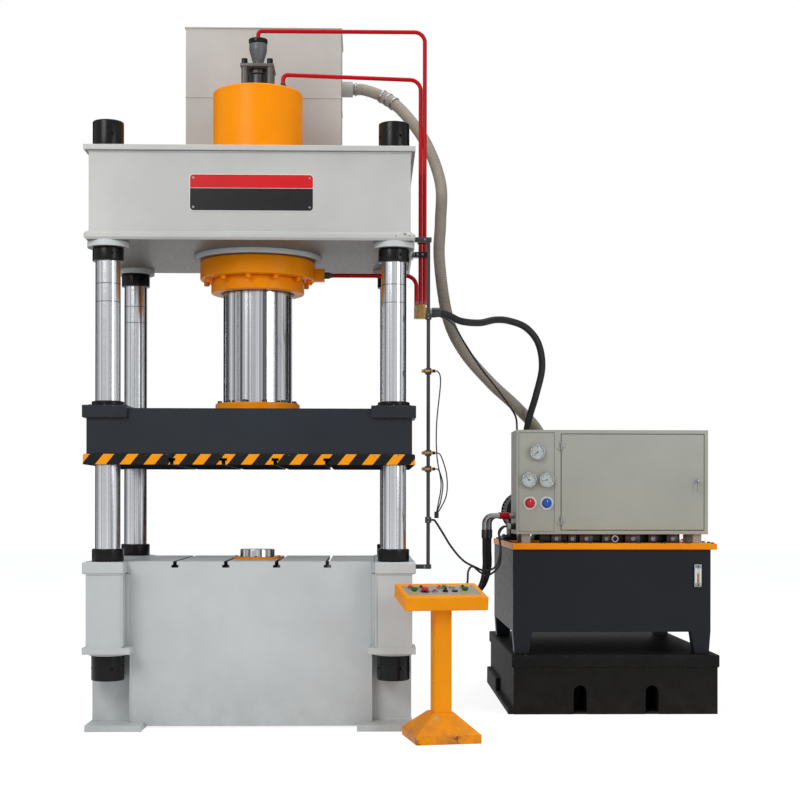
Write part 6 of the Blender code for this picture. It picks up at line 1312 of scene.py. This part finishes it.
# Screws along the lid's front and rear edges, then along its sides
lidSettings = {"top": 1.0053, "front": 0.051, "rear": 1.368, "side": 0.592, "first": 0.580, "apart": 0.145,
    "sideApart": 0.1463}
s = lidSettings
spots = []
for index in range(9):
    x = -s["first"] + index * s["apart"]
    spots += [(unitPoint(x, y, s["top"]), (0, 0, 1)) for y in (s["front"], s["rear"])]
for index in range(1, 9):
    y = s["front"] + index * s["sideApart"]
    spots += [(unitPoint(x, y, s["top"]), (0, 0, 1)) for x in (-s["side"], s["side"])]
dress(screws("lid_screws", spots, 0.010, 0.007, "darkSteel", 6))
fillerOutline = [(0, 0.0650), (0.030, 0.0650), (0.0455, 0.0600), (0.0460, 0.0320), (0.0400, 0.0300),
    (0.0455, 0.0260), (0.0455, 0.0), (0, 0.0)]
dress(lathe("filler_cap", rounded(fillerOutline, 0.003), unitPoint(0.400, 1.180, s["top"]), "steel", 64))
for name, spot, inner in (("pressure", (1.615, 0.550), 0.0213), ("return", (1.800, 0.650), 0.0363)):
    outer = inner + 0.0082
    outline = [(inner, 0.072), (outer, 0.072), (outer, 0.050), (outer + 0.006, 0.048),
        (outer + 0.006, 0.018), (outer, 0.016), (outer + 0.004, 0.0005), (inner, 0.0005)]
    dress(lathe(name + "_lid_fitting", [*rounded(outline, 0.0015), outline[0]], pressPoint(*spot, s["top"]),
        "darkSteel", 64))

levelLow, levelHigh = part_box("oil_level_gauge")
middle = (levelLow + levelHigh) / 2
body = block("level_gauge_body", levelLow + Vector((0, 0.006, 0)), levelHigh, 0.004, "dialWhite", 3)
ends = [block("level_gauge_end", (levelLow.x + 0.003, levelLow.y + 0.001, z),
    (levelHigh.x - 0.003, levelHigh.y, z + 0.022), 0.004, "steel", 3)
    for z in (levelLow.z + 0.001, levelHigh.z - 0.023)]
tube = lathe("level_tube", rodOutline(0.0065, levelHigh.z - 0.020, levelLow.z + 0.020),
    Vector((middle.x, levelLow.y + 0.0070, 0)), "gaugeGlass", 32)
oil = lathe("level_oil", rodOutline(0.0052, middle.z + 0.012, levelLow.z + 0.021),
    Vector((middle.x, levelLow.y + 0.0070, 0)), "brass", 24)
dress(merged("level_gauge_frame", body, *ends), "oil_level_gauge")
dress(merged("level_gauge_tube", oil, tube), finish="gaugeGlass")
spots = [((middle.x, levelLow.y + 0.001, z), (0, -1, 0)) for z in (levelLow.z + 0.012, levelHigh.z - 0.012)]
dress(screws("level_gauge_screws", spots, 0.006, 0.0009, "darkSteel", 12))
print("tank fittings made")


# Floors of the plinth's two arches
sillSettings = {"spots": (-0.210, 0.215), "half": 0.0387, "front": 0.0106, "rear": 0.2794, "low": 0.0006,
    "high": 0.014}
s = sillSettings
sills = [block("arch_sill", unitPoint(x - s["half"], s["front"], s["low"]),
    unitPoint(x + s["half"], s["rear"], s["high"]), 0.002, "castIron") for x in s["spots"]]
dress(merged("plinth_arch_sills", *sills))


# Pump motor with cooling ribs, its fan cover and terminal box

motorSettings = {"x": -0.444, "y": 0.930, "z": 1.1856, "length": 0.420, "ribs": 36}
s = motorSettings
place = Matrix.Translation(unitPoint(s["x"], s["y"] - s["length"] / 2, s["z"])) @ towardsBack


def motorWave(angle, radius, z):
    if radius < 0.120 or z < 0.075 or z > 0.395:
        return 1.0
    return 0.905 + 0.095 * (abs(math.sin(angle * s["ribs"] / 2)) ** 5)


outline = rounded([(0, 0.420), (0.120, 0.420), (0.134, 0.410), (0.134, 0.396), (0.1349, 0.394),
    (0.1349, 0.076), (0.134, 0.072), (0.134, 0.008), (0.118, 0.0), (0, 0.0)], 0.006)
shell = lathe("motor_shell", outline, place, "tankPaint", 216, 35, motorWave)
bell = lathe("motor_bell", rounded([(0, 0.090), (0.085, 0.090), (0.099, 0.070), (0.099, 0.0), (0, 0.0)],
    0.004), place @ Matrix.Translation((0, 0, 0.420)), "tankPaint", 64)
pump = block("pump", (-0.070, -0.070, 0.0), (0.070, 0.070, 0.180), 0.008, "darkSteel", 3,
    place @ Matrix.Translation((0, 0, 0.510)))
terminal = block("terminal_box", unitPoint(s["x"] - 0.060, s["y"] - 0.070, 1.300),
    unitPoint(s["x"] + 0.060, s["y"] + 0.070, 1.3804), 0.006, "tankPaint", 3)
feet = []
for side in (-1, 1):
    inner, outer = sorted((s["x"] + side * 0.054, s["x"] + side * 0.1485))
    feet.append(block("motor_foot", unitPoint(inner, s["y"] - 0.135, 1.0057),
        unitPoint(outer, s["y"] + 0.135, 1.030), 0.004, "tankPaint"))
    inner, outer = sorted((s["x"] + side * 0.060, s["x"] + side * 0.105))
    feet.append(block("motor_foot_web", unitPoint(inner, s["y"] - 0.125, 1.028),
        unitPoint(outer, s["y"] + 0.125, 1.115), 0.004, "tankPaint"))
dress(merged("pump_motor_body", shell, bell, pump, terminal, *feet), "pump_motor")
slats = []
for ring in range(5):
    radius = 0.030 + 0.019 * ring
    slats.append(lathe("fan_ring", ringOutline(radius, radius + 0.005, -0.0015, 0.0005, 0.0005, 2), place,
        "glossBlack", 48))
dress(merged("fan_cover_rings", *slats))
spots = [(unitPoint(s["x"] + sx * 0.052, s["y"] + sy * 0.062, 1.3803), (0, 0, 1)) for sx in (-1, 1)
    for sy in (-1, 1)]
dress(screws("terminal_box_screws", spots, 0.004, 0.0003, "steel", 12))
spots = [(unitPoint(s["x"] + sx * 0.125, s["y"] + sy * 0.105, 1.030), (0, 0, 1)) for sx in (-1, 1)
    for sy in (-1, 1)]
dress(screws("motor_foot_screws", spots, 0.011, 0.010, "darkSteel", 6))
print("motor made")


# Valve cabinet: hinges, glands, elbows, and what stands in the gap under it

cabinetLeft = -0.5745
hingeX, hingeY = -0.3085, 0.132
hingeHeights = (1.146, 1.593)
elbowSpots = ((1.350, 0.300), (1.385, 0.400))
hoseRows = (0.300, 0.400)
barrels = []
for z in hingeHeights:
    barrels.append(lathe("hinge_barrel", rounded(rodOutline(0.0065, 0.0162, -0.0160), 0.001),
        unitPoint(hingeX, hingeY, z), "steel", 32))
dress(merged("door_hinge_barrels", *barrels), body="door")
knuckles = [lathe("hinge_knuckle", rounded(rodOutline(0.0065, -0.0163, -0.0325), 0.001),
    unitPoint(hingeX, hingeY, z), "steel", 32) for z in hingeHeights]
dress(merged("hinge_knuckles", *knuckles))
for index, y in enumerate((0.200, 0.250)):
    dress(lathe(f"cabinet_plug_{index + 1}", rounded([(0.0062, 0.0482), (0.0130, 0.0482), (0.0140, 0.0300),
        (0.0185, 0.0290), (0.0185, 0.0060), (0.0210, 0.0050), (0.0210, 0.0002), (0.0062, 0.0002)], 0.001),
        Matrix.Translation(unitPoint(cabinetLeft, y, 1.103)) @ towardsRight.inverted(), "glossBlack", 48))
dress(lathe("cabinet_cable_gland", rounded([(0.0062, 0.0302), (0.0105, 0.0302), (0.0135, 0.0200),
    (0.0135, 0.0120), (0.0160, 0.0110), (0.0160, 0.0002), (0.0062, 0.0002)], 0.001),
    Matrix.Translation(unitPoint(-0.5295, 0.470, 1.631)) @ towardsBack, "glossBlack", 48))


# The closed section of a round ring
def circleOutline(reach, thickness, steps):
    points = [(reach + thickness * math.cos(2 * math.pi * step / steps),
        thickness * math.sin(2 * math.pi * step / steps)) for step in range(steps, 0, -1)]
    return [*points, points[0]]


elbows = []
for x, y in elbowSpots:
    corners = [pressPoint(1.5293, y, 1.167), pressPoint(x, y, 1.167), pressPoint(x, y, 1.0702)]
    elbows.append(tubePiece("elbow", bentRoute(corners, 0.050), 0.0164, "steel", 24))
dress(merged("ejector_elbows", *elbows))
sleeves = [lathe("elbow_sleeve", ringOutline(0.0165, 0.0205, 0.0, 0.060, 0.002),
    rightAt(pressPoint(1.440, y, 1.167)), "redPaint", 32) for y in hoseRows]
dress(merged("elbow_sleeves", *sleeves))
ferrules = [lathe("hose_ferrule", ringOutline(0.0152, 0.0195, 1.030, 1.0820, 0.002), pressPoint(x, y, 0),
    "darkSteel", 32) for x, y in elbowSpots]
ferrules += [lathe("hose_ferrule", ringOutline(0.0152, 0.0195, 0.0, 0.060, 0.002),
    rightAt(pressPoint(0.934, y, 0.660)), "darkSteel", 32) for y in hoseRows]
dress(merged("ejector_hose_ferrules", *ferrules))
nuts = [(pressPoint(0.8865, y, 0.660), (1, 0, 0)) for y in hoseRows]
dress(screws("bed_port_nuts", nuts, 0.0262, 0.030, "darkSteel", 6, 0.75))

# The middle and width of each valve under the cabinet
underValves = ((-0.330, 0.060), (-0.235, 0.045), (-0.150, 0.080), (-0.030, 0.050), (0.130, 0.090),
    (0.250, 0.050), (0.370, 0.070))
bodies = []
for x, width in underValves:
    bodies.append(block("under_valve", unitPoint(x - width / 2, 0.185, 1.0056),
        unitPoint(x + width / 2, 0.260, 1.0576), 0.004, "darkSteel"))
bodies.append(block("under_plate", unitPoint(-0.420, 0.262, 1.0056), unitPoint(0.430, 0.300, 1.0574), 0.003,
    "darkSteel"))
dress(merged("under_cabinet_valves", *bodies))
spots = [(unitPoint(x, 0.185, 1.030), (0, -1, 0)) for x, width in underValves]
dress(screws("under_cabinet_plugs", spots, 0.013, 0.014, "steel", 6))
eye = lathe("lid_eye_ring", circleOutline(0.0170, 0.0055, 14), frontAt(unitPoint(0.011, 0.110, 1.0305)),
    "steel", 40, 80)
eyeFoot = lathe("lid_eye_foot", rounded([(0, 0.010), (0.008, 0.010), (0.014, 0.0), (0, 0.0)], 0.001),
    unitPoint(0.011, 0.110, 1.0054), "steel", 32)
dress(merged("lid_lifting_eye", eye, eyeFoot))
print("cabinet fittings made")


# Pressure gauges with printed dials

gaugeSettings = {
    "radius": 0.046,
    "face": 0.0375,
    "sweep": 270,
    "ticks": 31,
    "numbers": ("0", "10", "20", "30", "40"),
    "readings": (0.0, 0.35, 0.12),
}


# Flat print in the local XY plane: thin raised bars and figures
def bar(name, length, width, height, place, finish):
    return block(name, (-width / 2, -length / 2, 0), (width / 2, length / 2, height), 0.0, finish,
        place=place)


def figure(name, text, size, place, finish, height=0.0002):
    curve = bpy.data.curves.new(name, "FONT")
    curve.body = text
    curve.size = size
    curve.align_x = "CENTER"
    curve.align_y = "CENTER"
    curve.extrude = height
    curve.resolution_u = 3
    source = bpy.data.objects.new(name + "_source", curve)
    scene.collection.objects.link(source)
    mesh = evaluatedMesh(source)
    bpy.data.objects.remove(source)
    mesh.transform(place)
    mesh.materials.clear()
    return shownPiece(name, mesh, 0, finish)


def aroundDial(share, radius, height, sweepDegrees):
    angle = math.radians(90 + sweepDegrees / 2 - share * sweepDegrees)
    return Matrix.Translation((radius * math.cos(angle), radius * math.sin(angle),
        height)) @ Matrix.Rotation(angle - math.pi / 2, 4, "Z")


for number in range(3):
    low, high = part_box(f"pressure_gauge_{number + 1}")
    place = onFront(low, high)
    s = gaugeSettings
    outline = rounded([(s["face"], 0.0235), (s["face"], 0.0298), (s["radius"] - 0.002, 0.0298),
        (s["radius"], 0.0255), (s["radius"], 0.0190), (0.043, 0.0180), (0.043, 0.0), (0, 0.0)], 0.0015)
    dress(lathe(f"gauge_case_{number + 1}", [(0, 0.0235), *outline], place, "polished", 96),
        f"pressure_gauge_{number + 1}")
    dress(lathe(f"gauge_dial_{number + 1}", rodOutline(0.0372, 0.0242, 0.0236), place, "dialWhite", 96))
    prints = []
    for index in range(s["ticks"]):
        share = index / (s["ticks"] - 1)
        major = index % 5 == 0
        length = 0.0072 if major else 0.0046
        prints.append(bar("tick", length, 0.0016 if major else 0.0009, 0.0002,
            place @ aroundDial(share, 0.0350 - length / 2, 0.0242, s["sweep"]), "buttonBlack"))
    for index, text in enumerate(s["numbers"]):
        share = index / (len(s["numbers"]) - 1)
        angle = math.radians(90 + s["sweep"] / 2 - share * s["sweep"])
        spot = Matrix.Translation((0.0245 * math.cos(angle), 0.0245 * math.sin(angle), 0.0243))
        prints.append(figure("dial_number", text, 0.0075, place @ spot, "buttonBlack", 0.0001))
    dress(merged(f"gauge_print_{number + 1}", *prints))
    needle = bar("needle", 0.040, 0.0026, 0.0006, place
        @ Matrix.Rotation(math.radians(s["sweep"] / 2 - s["readings"][number] * s["sweep"]), 4, "Z")
        @ Matrix.Translation((0, 0.011, 0.0252)), "buttonBlack")
    hub = lathe("needle_hub", rounded(rodOutline(0.0050, 0.0270, 0.0243), 0.001), place, "buttonBlack", 24)
    dress(merged(f"gauge_needle_{number + 1}", needle, hub))
    dress(lathe(f"gauge_glass_{number + 1}", [(0, 0.0288), (0.0373, 0.0286), (0.0373, 0.0276), (0, 0.0276)],
        place, "gaugeGlass", 64))
print("gauges made")


# Dark joint round the gauge panel

panelSettings = {"left": -0.5625, "right": -0.3465, "low": 1.0720, "high": 1.6670, "width": 0.0036}
s = panelSettings
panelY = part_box("pressure_gauge_1")[1].y
left, right, wide = unitOrigin.x + s["left"], unitOrigin.x + s["right"], s["width"]
spans = [(left, s["low"], left + wide, s["high"]), (right - wide, s["low"], right, s["high"]),
    (left + wide, s["low"], right - wide, s["low"] + wide),
    (left + wide, s["high"] - wide, right - wide, s["high"])]
joints = [block("joint", (x, panelY - 0.0006, z), (farX, panelY + 0.0012, farZ), 0.0, "greyRubber")
    for x, z, farX, farZ in spans]
dress(merged("gauge_panel_joint", *joints))


# Pressure knobs with a printed scale behind each

knobSettings = {"flutes": 22}


def knobWave(angle, radius, z):
    if radius < 0.018 or z < 0.011 or z > 0.031:
        return 1.0
    return 1.0 - 0.035 * (0.5 + 0.5 * math.cos(angle * knobSettings["flutes"]))


for tone, finish in (("red", "knobRed"), ("blue", "knobBlue")):
    low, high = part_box(f"pressure_knob_{tone}")
    place = onFront(low, high)
    outline = rounded([(0, 0.0339), (0.0205, 0.0339), (0.0225, 0.0320), (0.0232, 0.0300), (0.0238, 0.0120),
        (0.0240, 0.0100), (0.0289, 0.0075), (0.0289, 0.0003), (0, 0.0003)], 0.0015)
    knob = lathe(f"knob_{tone}_grip", outline, place, finish, 176, 50, knobWave)
    body = f"knob_{tone}"
    dress(knob, f"pressure_knob_{tone}", body=body)
    pointer = bar("pointer", 0.0150, 0.0022, 0.0006, place @ Matrix.Translation((0, 0.0120, 0.0339)),
        "dialWhite")
    edgeMark = bar("edge_mark", 0.0040, 0.0020, 0.0006, place @ Matrix.Translation((0, 0.0262, 0.0078)),
        "dialWhite")
    dress(merged(f"knob_{tone}_pointer", pointer, edgeMark), body=body)
    disc = lathe("scale_disc", ringOutline(0.0300, 0.0395, -0.0001, 0.0008, 0.0003, 2), place, "dialWhite",
        96)
    dress(merged(f"knob_{tone}_scale", disc))
    marks = [bar("mark", 0.0060 if index % 3 == 0 else 0.0035, 0.0007, 0.0002,
        place @ aroundDial(index / 18, 0.0345, 0.0009, 270), "buttonBlack") for index in range(19)]
    dress(merged(f"knob_{tone}_marks", *marks))
print("knobs made")


# Door lock with its key, and the seal inside the door

lockPlace = frontAt(Vector((1.7000, -0.1473, 1.3745)))
outline = rounded([(0, 0.0058), (0.0130, 0.0058), (0.0149, 0.0030), (0.0149, 0.0), (0.0119, 0.0),
    (0.0119, -0.0300), (0, -0.0300)], 0.001)
lockBody = lathe("lock_body", outline, lockPlace, "polished", 48)
keyBlade = block("key_blade", (-0.0012, -0.004, 0.0056), (0.0012, 0.004, 0.020), 0.0004, "steel",
    place=lockPlace)
keyBow = block("key_bow", (-0.0014, -0.012, 0.020), (0.0014, 0.012, 0.0409), 0.0012, "steel", 3, lockPlace)
camPlate = block("lock_cam_plate", (-0.008, -0.012, -0.026), (0.008, 0.0609, -0.022), 0.001, "steel",
    place=lockPlace)
dress(merged("door_lock_body", lockBody, keyBlade, keyBow, camPlate), "door_lock", body="lock")
keyRing = lathe("key_ring", circleOutline(0.0105, 0.0008, 8),
    lockPlace @ Matrix.Translation((0, -0.018, 0.030)) @ Matrix.Rotation(math.pi / 2, 4, "Y"), "steel", 32,
    80)
spareKey = block("spare_key", (-0.0012, -0.066, 0.024), (0.0012, -0.028, 0.036), 0.0008, "steel", 2,
    lockPlace)
dress(merged("spare_key_on_ring", keyRing, spareKey), body="lock")
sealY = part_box("cabinet_door")[0].y + 0.0170
left, right = unitOrigin.x - 0.2955, unitOrigin.x + 0.5385
low, high = 1.0940, 1.6450
sealPoints = [Vector((x, sealY, z)) for x, z in ((left, low), (right, low), (right, high), (left, high))]
seals = [tubePiece("seal", ends, 0.0024, "greyRubber", 8) for ends in roundPairs(sealPoints)]
dress(merged("door_seal", *seals), body="door")
print("lock made")


# Valve block inside the cabinet

manifoldLow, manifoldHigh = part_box("valve_manifold")
centre = (manifoldLow + manifoldHigh) / 2
low = manifoldLow.z
parts = [block("manifold_block", (manifoldLow.x, centre.y - 0.070, low),
    (manifoldHigh.x, centre.y + 0.070, low + 0.160), 0.004, "steel")]
coils = []
for x in (-0.100, 0.100):
    parts.append(block("solenoid_body", (centre.x + x - 0.035, centre.y - 0.050, low + 0.160),
        (centre.x + x + 0.035, centre.y + 0.050, low + 0.2400), 0.005, "darkSteel"))
    coils.append(lathe("coil", rounded([(0, 0.110), (0.020, 0.110), (0.0274, 0.104), (0.0274, 0.054),
        (0.018, 0.050), (0.018, -0.050), (0.0274, -0.054), (0.0274, -0.104), (0.020, -0.110), (0, -0.110)],
        0.003), frontAt(Vector((centre.x + x, centre.y, low + 0.200))), "buttonBlack", 48))
dress(merged("manifold_body", *parts), "valve_manifold")
dress(merged("solenoid_coils", *coils))
spots = [((centre.x + x, centre.y - 0.070, low + z), (0, -1, 0))
    for x in (-0.150, -0.075, 0.0, 0.075, 0.150) for z in (0.045, 0.115)]
dress(screws("manifold_plugs", spots, 0.015, 0.008, "darkSteel", 6))
print("valve block made")


# Control console: inset panel, collars, lamps and controls

consolePlace = (Matrix.Translation(pressPoint(1.030, -0.850, 0.0))
    @ Matrix.Rotation(math.radians(10), 4, "Z") @ Matrix.Translation((0, 0, 0.783))
    @ Matrix.Rotation(math.radians(11), 4, "X"))
consoleSettings = {"width": 0.3876, "depth": 0.1896, "recess": -0.002, "face": 0.0003, "seat": 0.005}
s = consoleSettings
inset = roundedPlate("console_inset", s["width"], s["depth"], 0.004, s["recess"], s["face"], "insetPaint",
    consolePlace, 0.0004)
dress(inset)
spots = [(consolePlace @ Vector((x, y, s["face"])), consolePlace.to_3x3() @ Vector((0, 0, 1)))
    for x in (-0.184, 0.184) for y in (-0.085, 0.085)]
dress(screws("console_inset_screws", spots, 0.0035, 0.0014, "steel", 12))
controls = {
    "button_black_left": (-0.098, 0.050, "push", "buttonBlack"),
    "button_orange": (0.000, 0.050, "push", "buttonOrange"),
    "button_yellow": (0.070, 0.050, "push", "buttonYellow"),
    "button_black_right": (0.128, 0.050, "push", "buttonBlack"),
    "mushroom_green_left": (-0.150, -0.028, "mushroom", "buttonGreen"),
    "mushroom_red": (-0.094, -0.028, "mushroom", "knobRed"),
    "button_pink": (-0.042, -0.028, "push", "buttonPink"),
    "selector_switch": (0.016, -0.028, "selector", "buttonBlack"),
    "mushroom_green_right": (0.122, -0.028, "mushroom", "buttonGreen"),
}
collarRadius = {"mushroom": 0.0232, "push": 0.0152, "selector": 0.0152}
outlines = {
    "mushroom": [(0, 0.0213), (0.0080, 0.0209), (0.0140, 0.0190), (0.0178, 0.0148), (0.0188, 0.0098),
        (0.0178, 0.0056), (0.0081, 0.0053), (0.0079, -0.0310), (0, -0.0310)],
    "push": [(0, 0.0094), (0.0040, 0.0096), (0.0066, 0.0099), (0.0079, 0.0086), (0.0079, -0.0310),
        (0, -0.0310)],
    "selector": [(0, 0.0060), (0.0120, 0.0060), (0.0129, 0.0050), (0.0129, 0.0005), (0.0079, 0.0004),
        (0.0079, -0.0310), (0, -0.0310)],
}
collars = {"buttonYellow": [], "steel": [], "buttonBlack": []}
for name, (x, y, kind, finish) in controls.items():
    place = consolePlace @ Matrix.Translation((x, y, s["seat"]))
    body = "selector" if kind == "selector" else name + "_body"
    control = lathe(name + "_cap", rounded(outlines[kind], 0.0010, 2), place, finish, 64, 50)
    if kind == "selector":
        lever = block("selector_lever", (-0.0040, -0.0130, 0.0055), (0.0040, 0.0130, 0.0199), 0.0015,
            finish, 3, place)
        mark = block("selector_mark", (-0.0008, 0.0030, 0.0199), (0.0008, 0.0115, 0.0202), 0.0, "dialWhite",
            place=place)
        control = merged(name + "_cap", control, lever, mark)
    dress(control, name, body=body)
    shade = "buttonYellow" if "green" in name else "steel" if kind == "push" else "buttonBlack"
    outline = ringOutline(0.0092, collarRadius[kind], -0.0048, 0.0002, 0.0012)
    collars[shade].append(lathe("collar", outline, place, shade, 64))
blank = lathe("blanking_cap", rounded([(0, 0.0090), (0.0130, 0.0090), (0.0150, 0.0060), (0.0150, 0.0004),
    (0, 0.0004)], 0.0012), consolePlace @ Matrix.Translation((0.068, -0.028, 0)), "buttonBlack", 48)
dress(merged("yellow_collars", *collars["buttonYellow"]))
dress(merged("steel_collars", *collars["steel"]))
dress(merged("black_collars", *collars["buttonBlack"], blank))
for x, finish in ((-0.156, "lampRed"), (0.028, "lampGreen")):
    place = consolePlace @ Matrix.Translation((x, 0.050, 0.0))
    dress(lathe(finish + "_lens", rounded([(0, 0.0196), (0.0060, 0.0190), (0.0105, 0.0168),
        (0.0118, 0.0130), (0.0122, 0.0050), (0, 0.0050)], 0.001), place, finish, 48))
    base = lathe(finish + "_base", ringOutline(0.0120, 0.0142, 0.0003, 0.0062, 0.0010), place, "steel", 48)
    dress(base)
dress(lathe("console_cable_gland", rounded([(0.0062, 0.0252), (0.0095, 0.0252), (0.0125, 0.0170),
    (0.0125, 0.0100), (0.0150, 0.0090), (0.0150, 0.0002), (0.0062, 0.0002)], 0.001),
    consolePlace @ Matrix.Translation((0.120, 0.150, -0.045)) @ towardsBack, "glossBlack", 48))
print("console made")


# Stage and light

floor = meshPiece("studioFloor", [(-30, -30, 0), (30, -30, 0), (30, 30, 0), (-30, 30, 0)], [(0, 1, 2, 3)],
    None, 0)
floorSettings = {"bounce": 0.75, "seen": 0.34, "glow": 0.84}
floorShader = Shader("floorWhite")
pathNode = floorShader.node("ShaderNodeLightPath")
seen = floorShader.maths("MAXIMUM", pathNode.outputs["Is Camera Ray"], pathNode.outputs["Is Glossy Ray"])
seen = floorShader.maths("MAXIMUM", seen, pathNode.outputs["Is Transmission Ray"])
tone = floorShader.mix(seen, (floorSettings["bounce"],) * 3 + (1.0,), (floorSettings["seen"],) * 3 + (1.0,))
floorShader.finish(base=tone, roughness=0.9, specular=0.0, glow=(1.0, 1.0, 1.0, 1.0),
    glowStrength=floorShader.maths("MULTIPLY", seen, floorSettings["glow"]))
floor.data.materials.append(floorShader.material)

# Dark cards that only polished surfaces see
cardSettings = {
    "near": (10.0, 3.6),
    "far": (4.6, 9.8),
    "low": 0.02,
    "high": 9.0,
}
s = cardSettings
cardShader = Shader("cardBlack")
cardShader.finish(base=cardShader.mix(cardShader.noise(0.5), colour(16, 17, 20), colour(30, 31, 34)),
    roughness=0.9, specular=0.0)
for side in (-1, 1):
    corners = [(side * x, y, z) for (x, y), z in ((s["near"], s["low"]), (s["far"], s["low"]),
        (s["far"], s["high"]), (s["near"], s["high"]))]
    card = meshPiece("reflectorCard", corners, [(0, 1, 2, 3)], None, 0)
    card.data.materials.append(cardShader.material)
    card.visible_camera = card.visible_diffuse = card.visible_shadow = card.visible_transmission = False

world = bpy.data.worlds.new("studioWorld")
scene.world = world
world.use_nodes = True
# The light's own strength, and the white background that the camera sees and reflections see half of
skySettings = {"tone": (0.95, 0.97, 1.0, 1.0), "strength": 0.45, "reflected": 0.5}
sky = world.node_tree
sky.nodes.clear()
skyOut, skyMix = sky.nodes.new("ShaderNodeOutputWorld"), sky.nodes.new("ShaderNodeMixShader")
ambient, backdrop = sky.nodes.new("ShaderNodeBackground"), sky.nodes.new("ShaderNodeBackground")
ambient.inputs["Color"].default_value = skySettings["tone"]
ambient.inputs["Strength"].default_value = skySettings["strength"]
backdrop.inputs["Color"].default_value = (1.0, 1.0, 1.0, 1.0)
backdrop.inputs["Strength"].default_value = 1.0
skyPath = sky.nodes.new("ShaderNodeLightPath")
skySeen, skyGloss, skyAll = (sky.nodes.new("ShaderNodeMath") for number in range(3))
skySeen.operation = skyAll.operation = "MAXIMUM"
skyGloss.operation = "MULTIPLY"
skyGloss.inputs[1].default_value = skySettings["reflected"]
linkAll(sky, (
    (skyPath, "Is Camera Ray", skySeen, 0), (skyPath, "Is Transmission Ray", skySeen, 1),
    (skyPath, "Is Glossy Ray", skyGloss, 0), (skySeen, 0, skyAll, 0), (skyGloss, 0, skyAll, 1),
    (skyAll, 0, skyMix, 0), (ambient, 0, skyMix, 1), (backdrop, 0, skyMix, 2),
    (skyMix, 0, skyOut, "Surface")))

lampSettings = {
    "keyLamp": {"spot": (-4.2, -6.6, 5.6), "size": (3.2, 3.2), "power": 230, "aim": (0.0, 0.0, 1.8)},
    "fillLamp": {"spot": (5.2, -6.2, 3.4), "size": (2.6, 3.6), "power": 120, "aim": (0.2, 0.0, 1.4)},
    "topLamp": {"spot": (0.3, -0.6, 8.2), "size": (5.0, 4.0), "power": 190, "aim": (0.0, 0.0, 0.0)},
}
for name, setting in lampSettings.items():
    lampData = bpy.data.lights.new(name, "AREA")
    lampData.shape = "RECTANGLE"
    lampData.size, lampData.size_y = setting["size"]
    lampData.energy = setting["power"]
    lamp = bpy.data.objects.new(name, lampData)
    lamp.location = setting["spot"]
    lamp.rotation_euler = (Vector(setting["aim"]) - Vector(setting["spot"])).to_track_quat("-Z",
        "Y").to_euler()
    scene.collection.objects.link(lamp)
print("stage set")
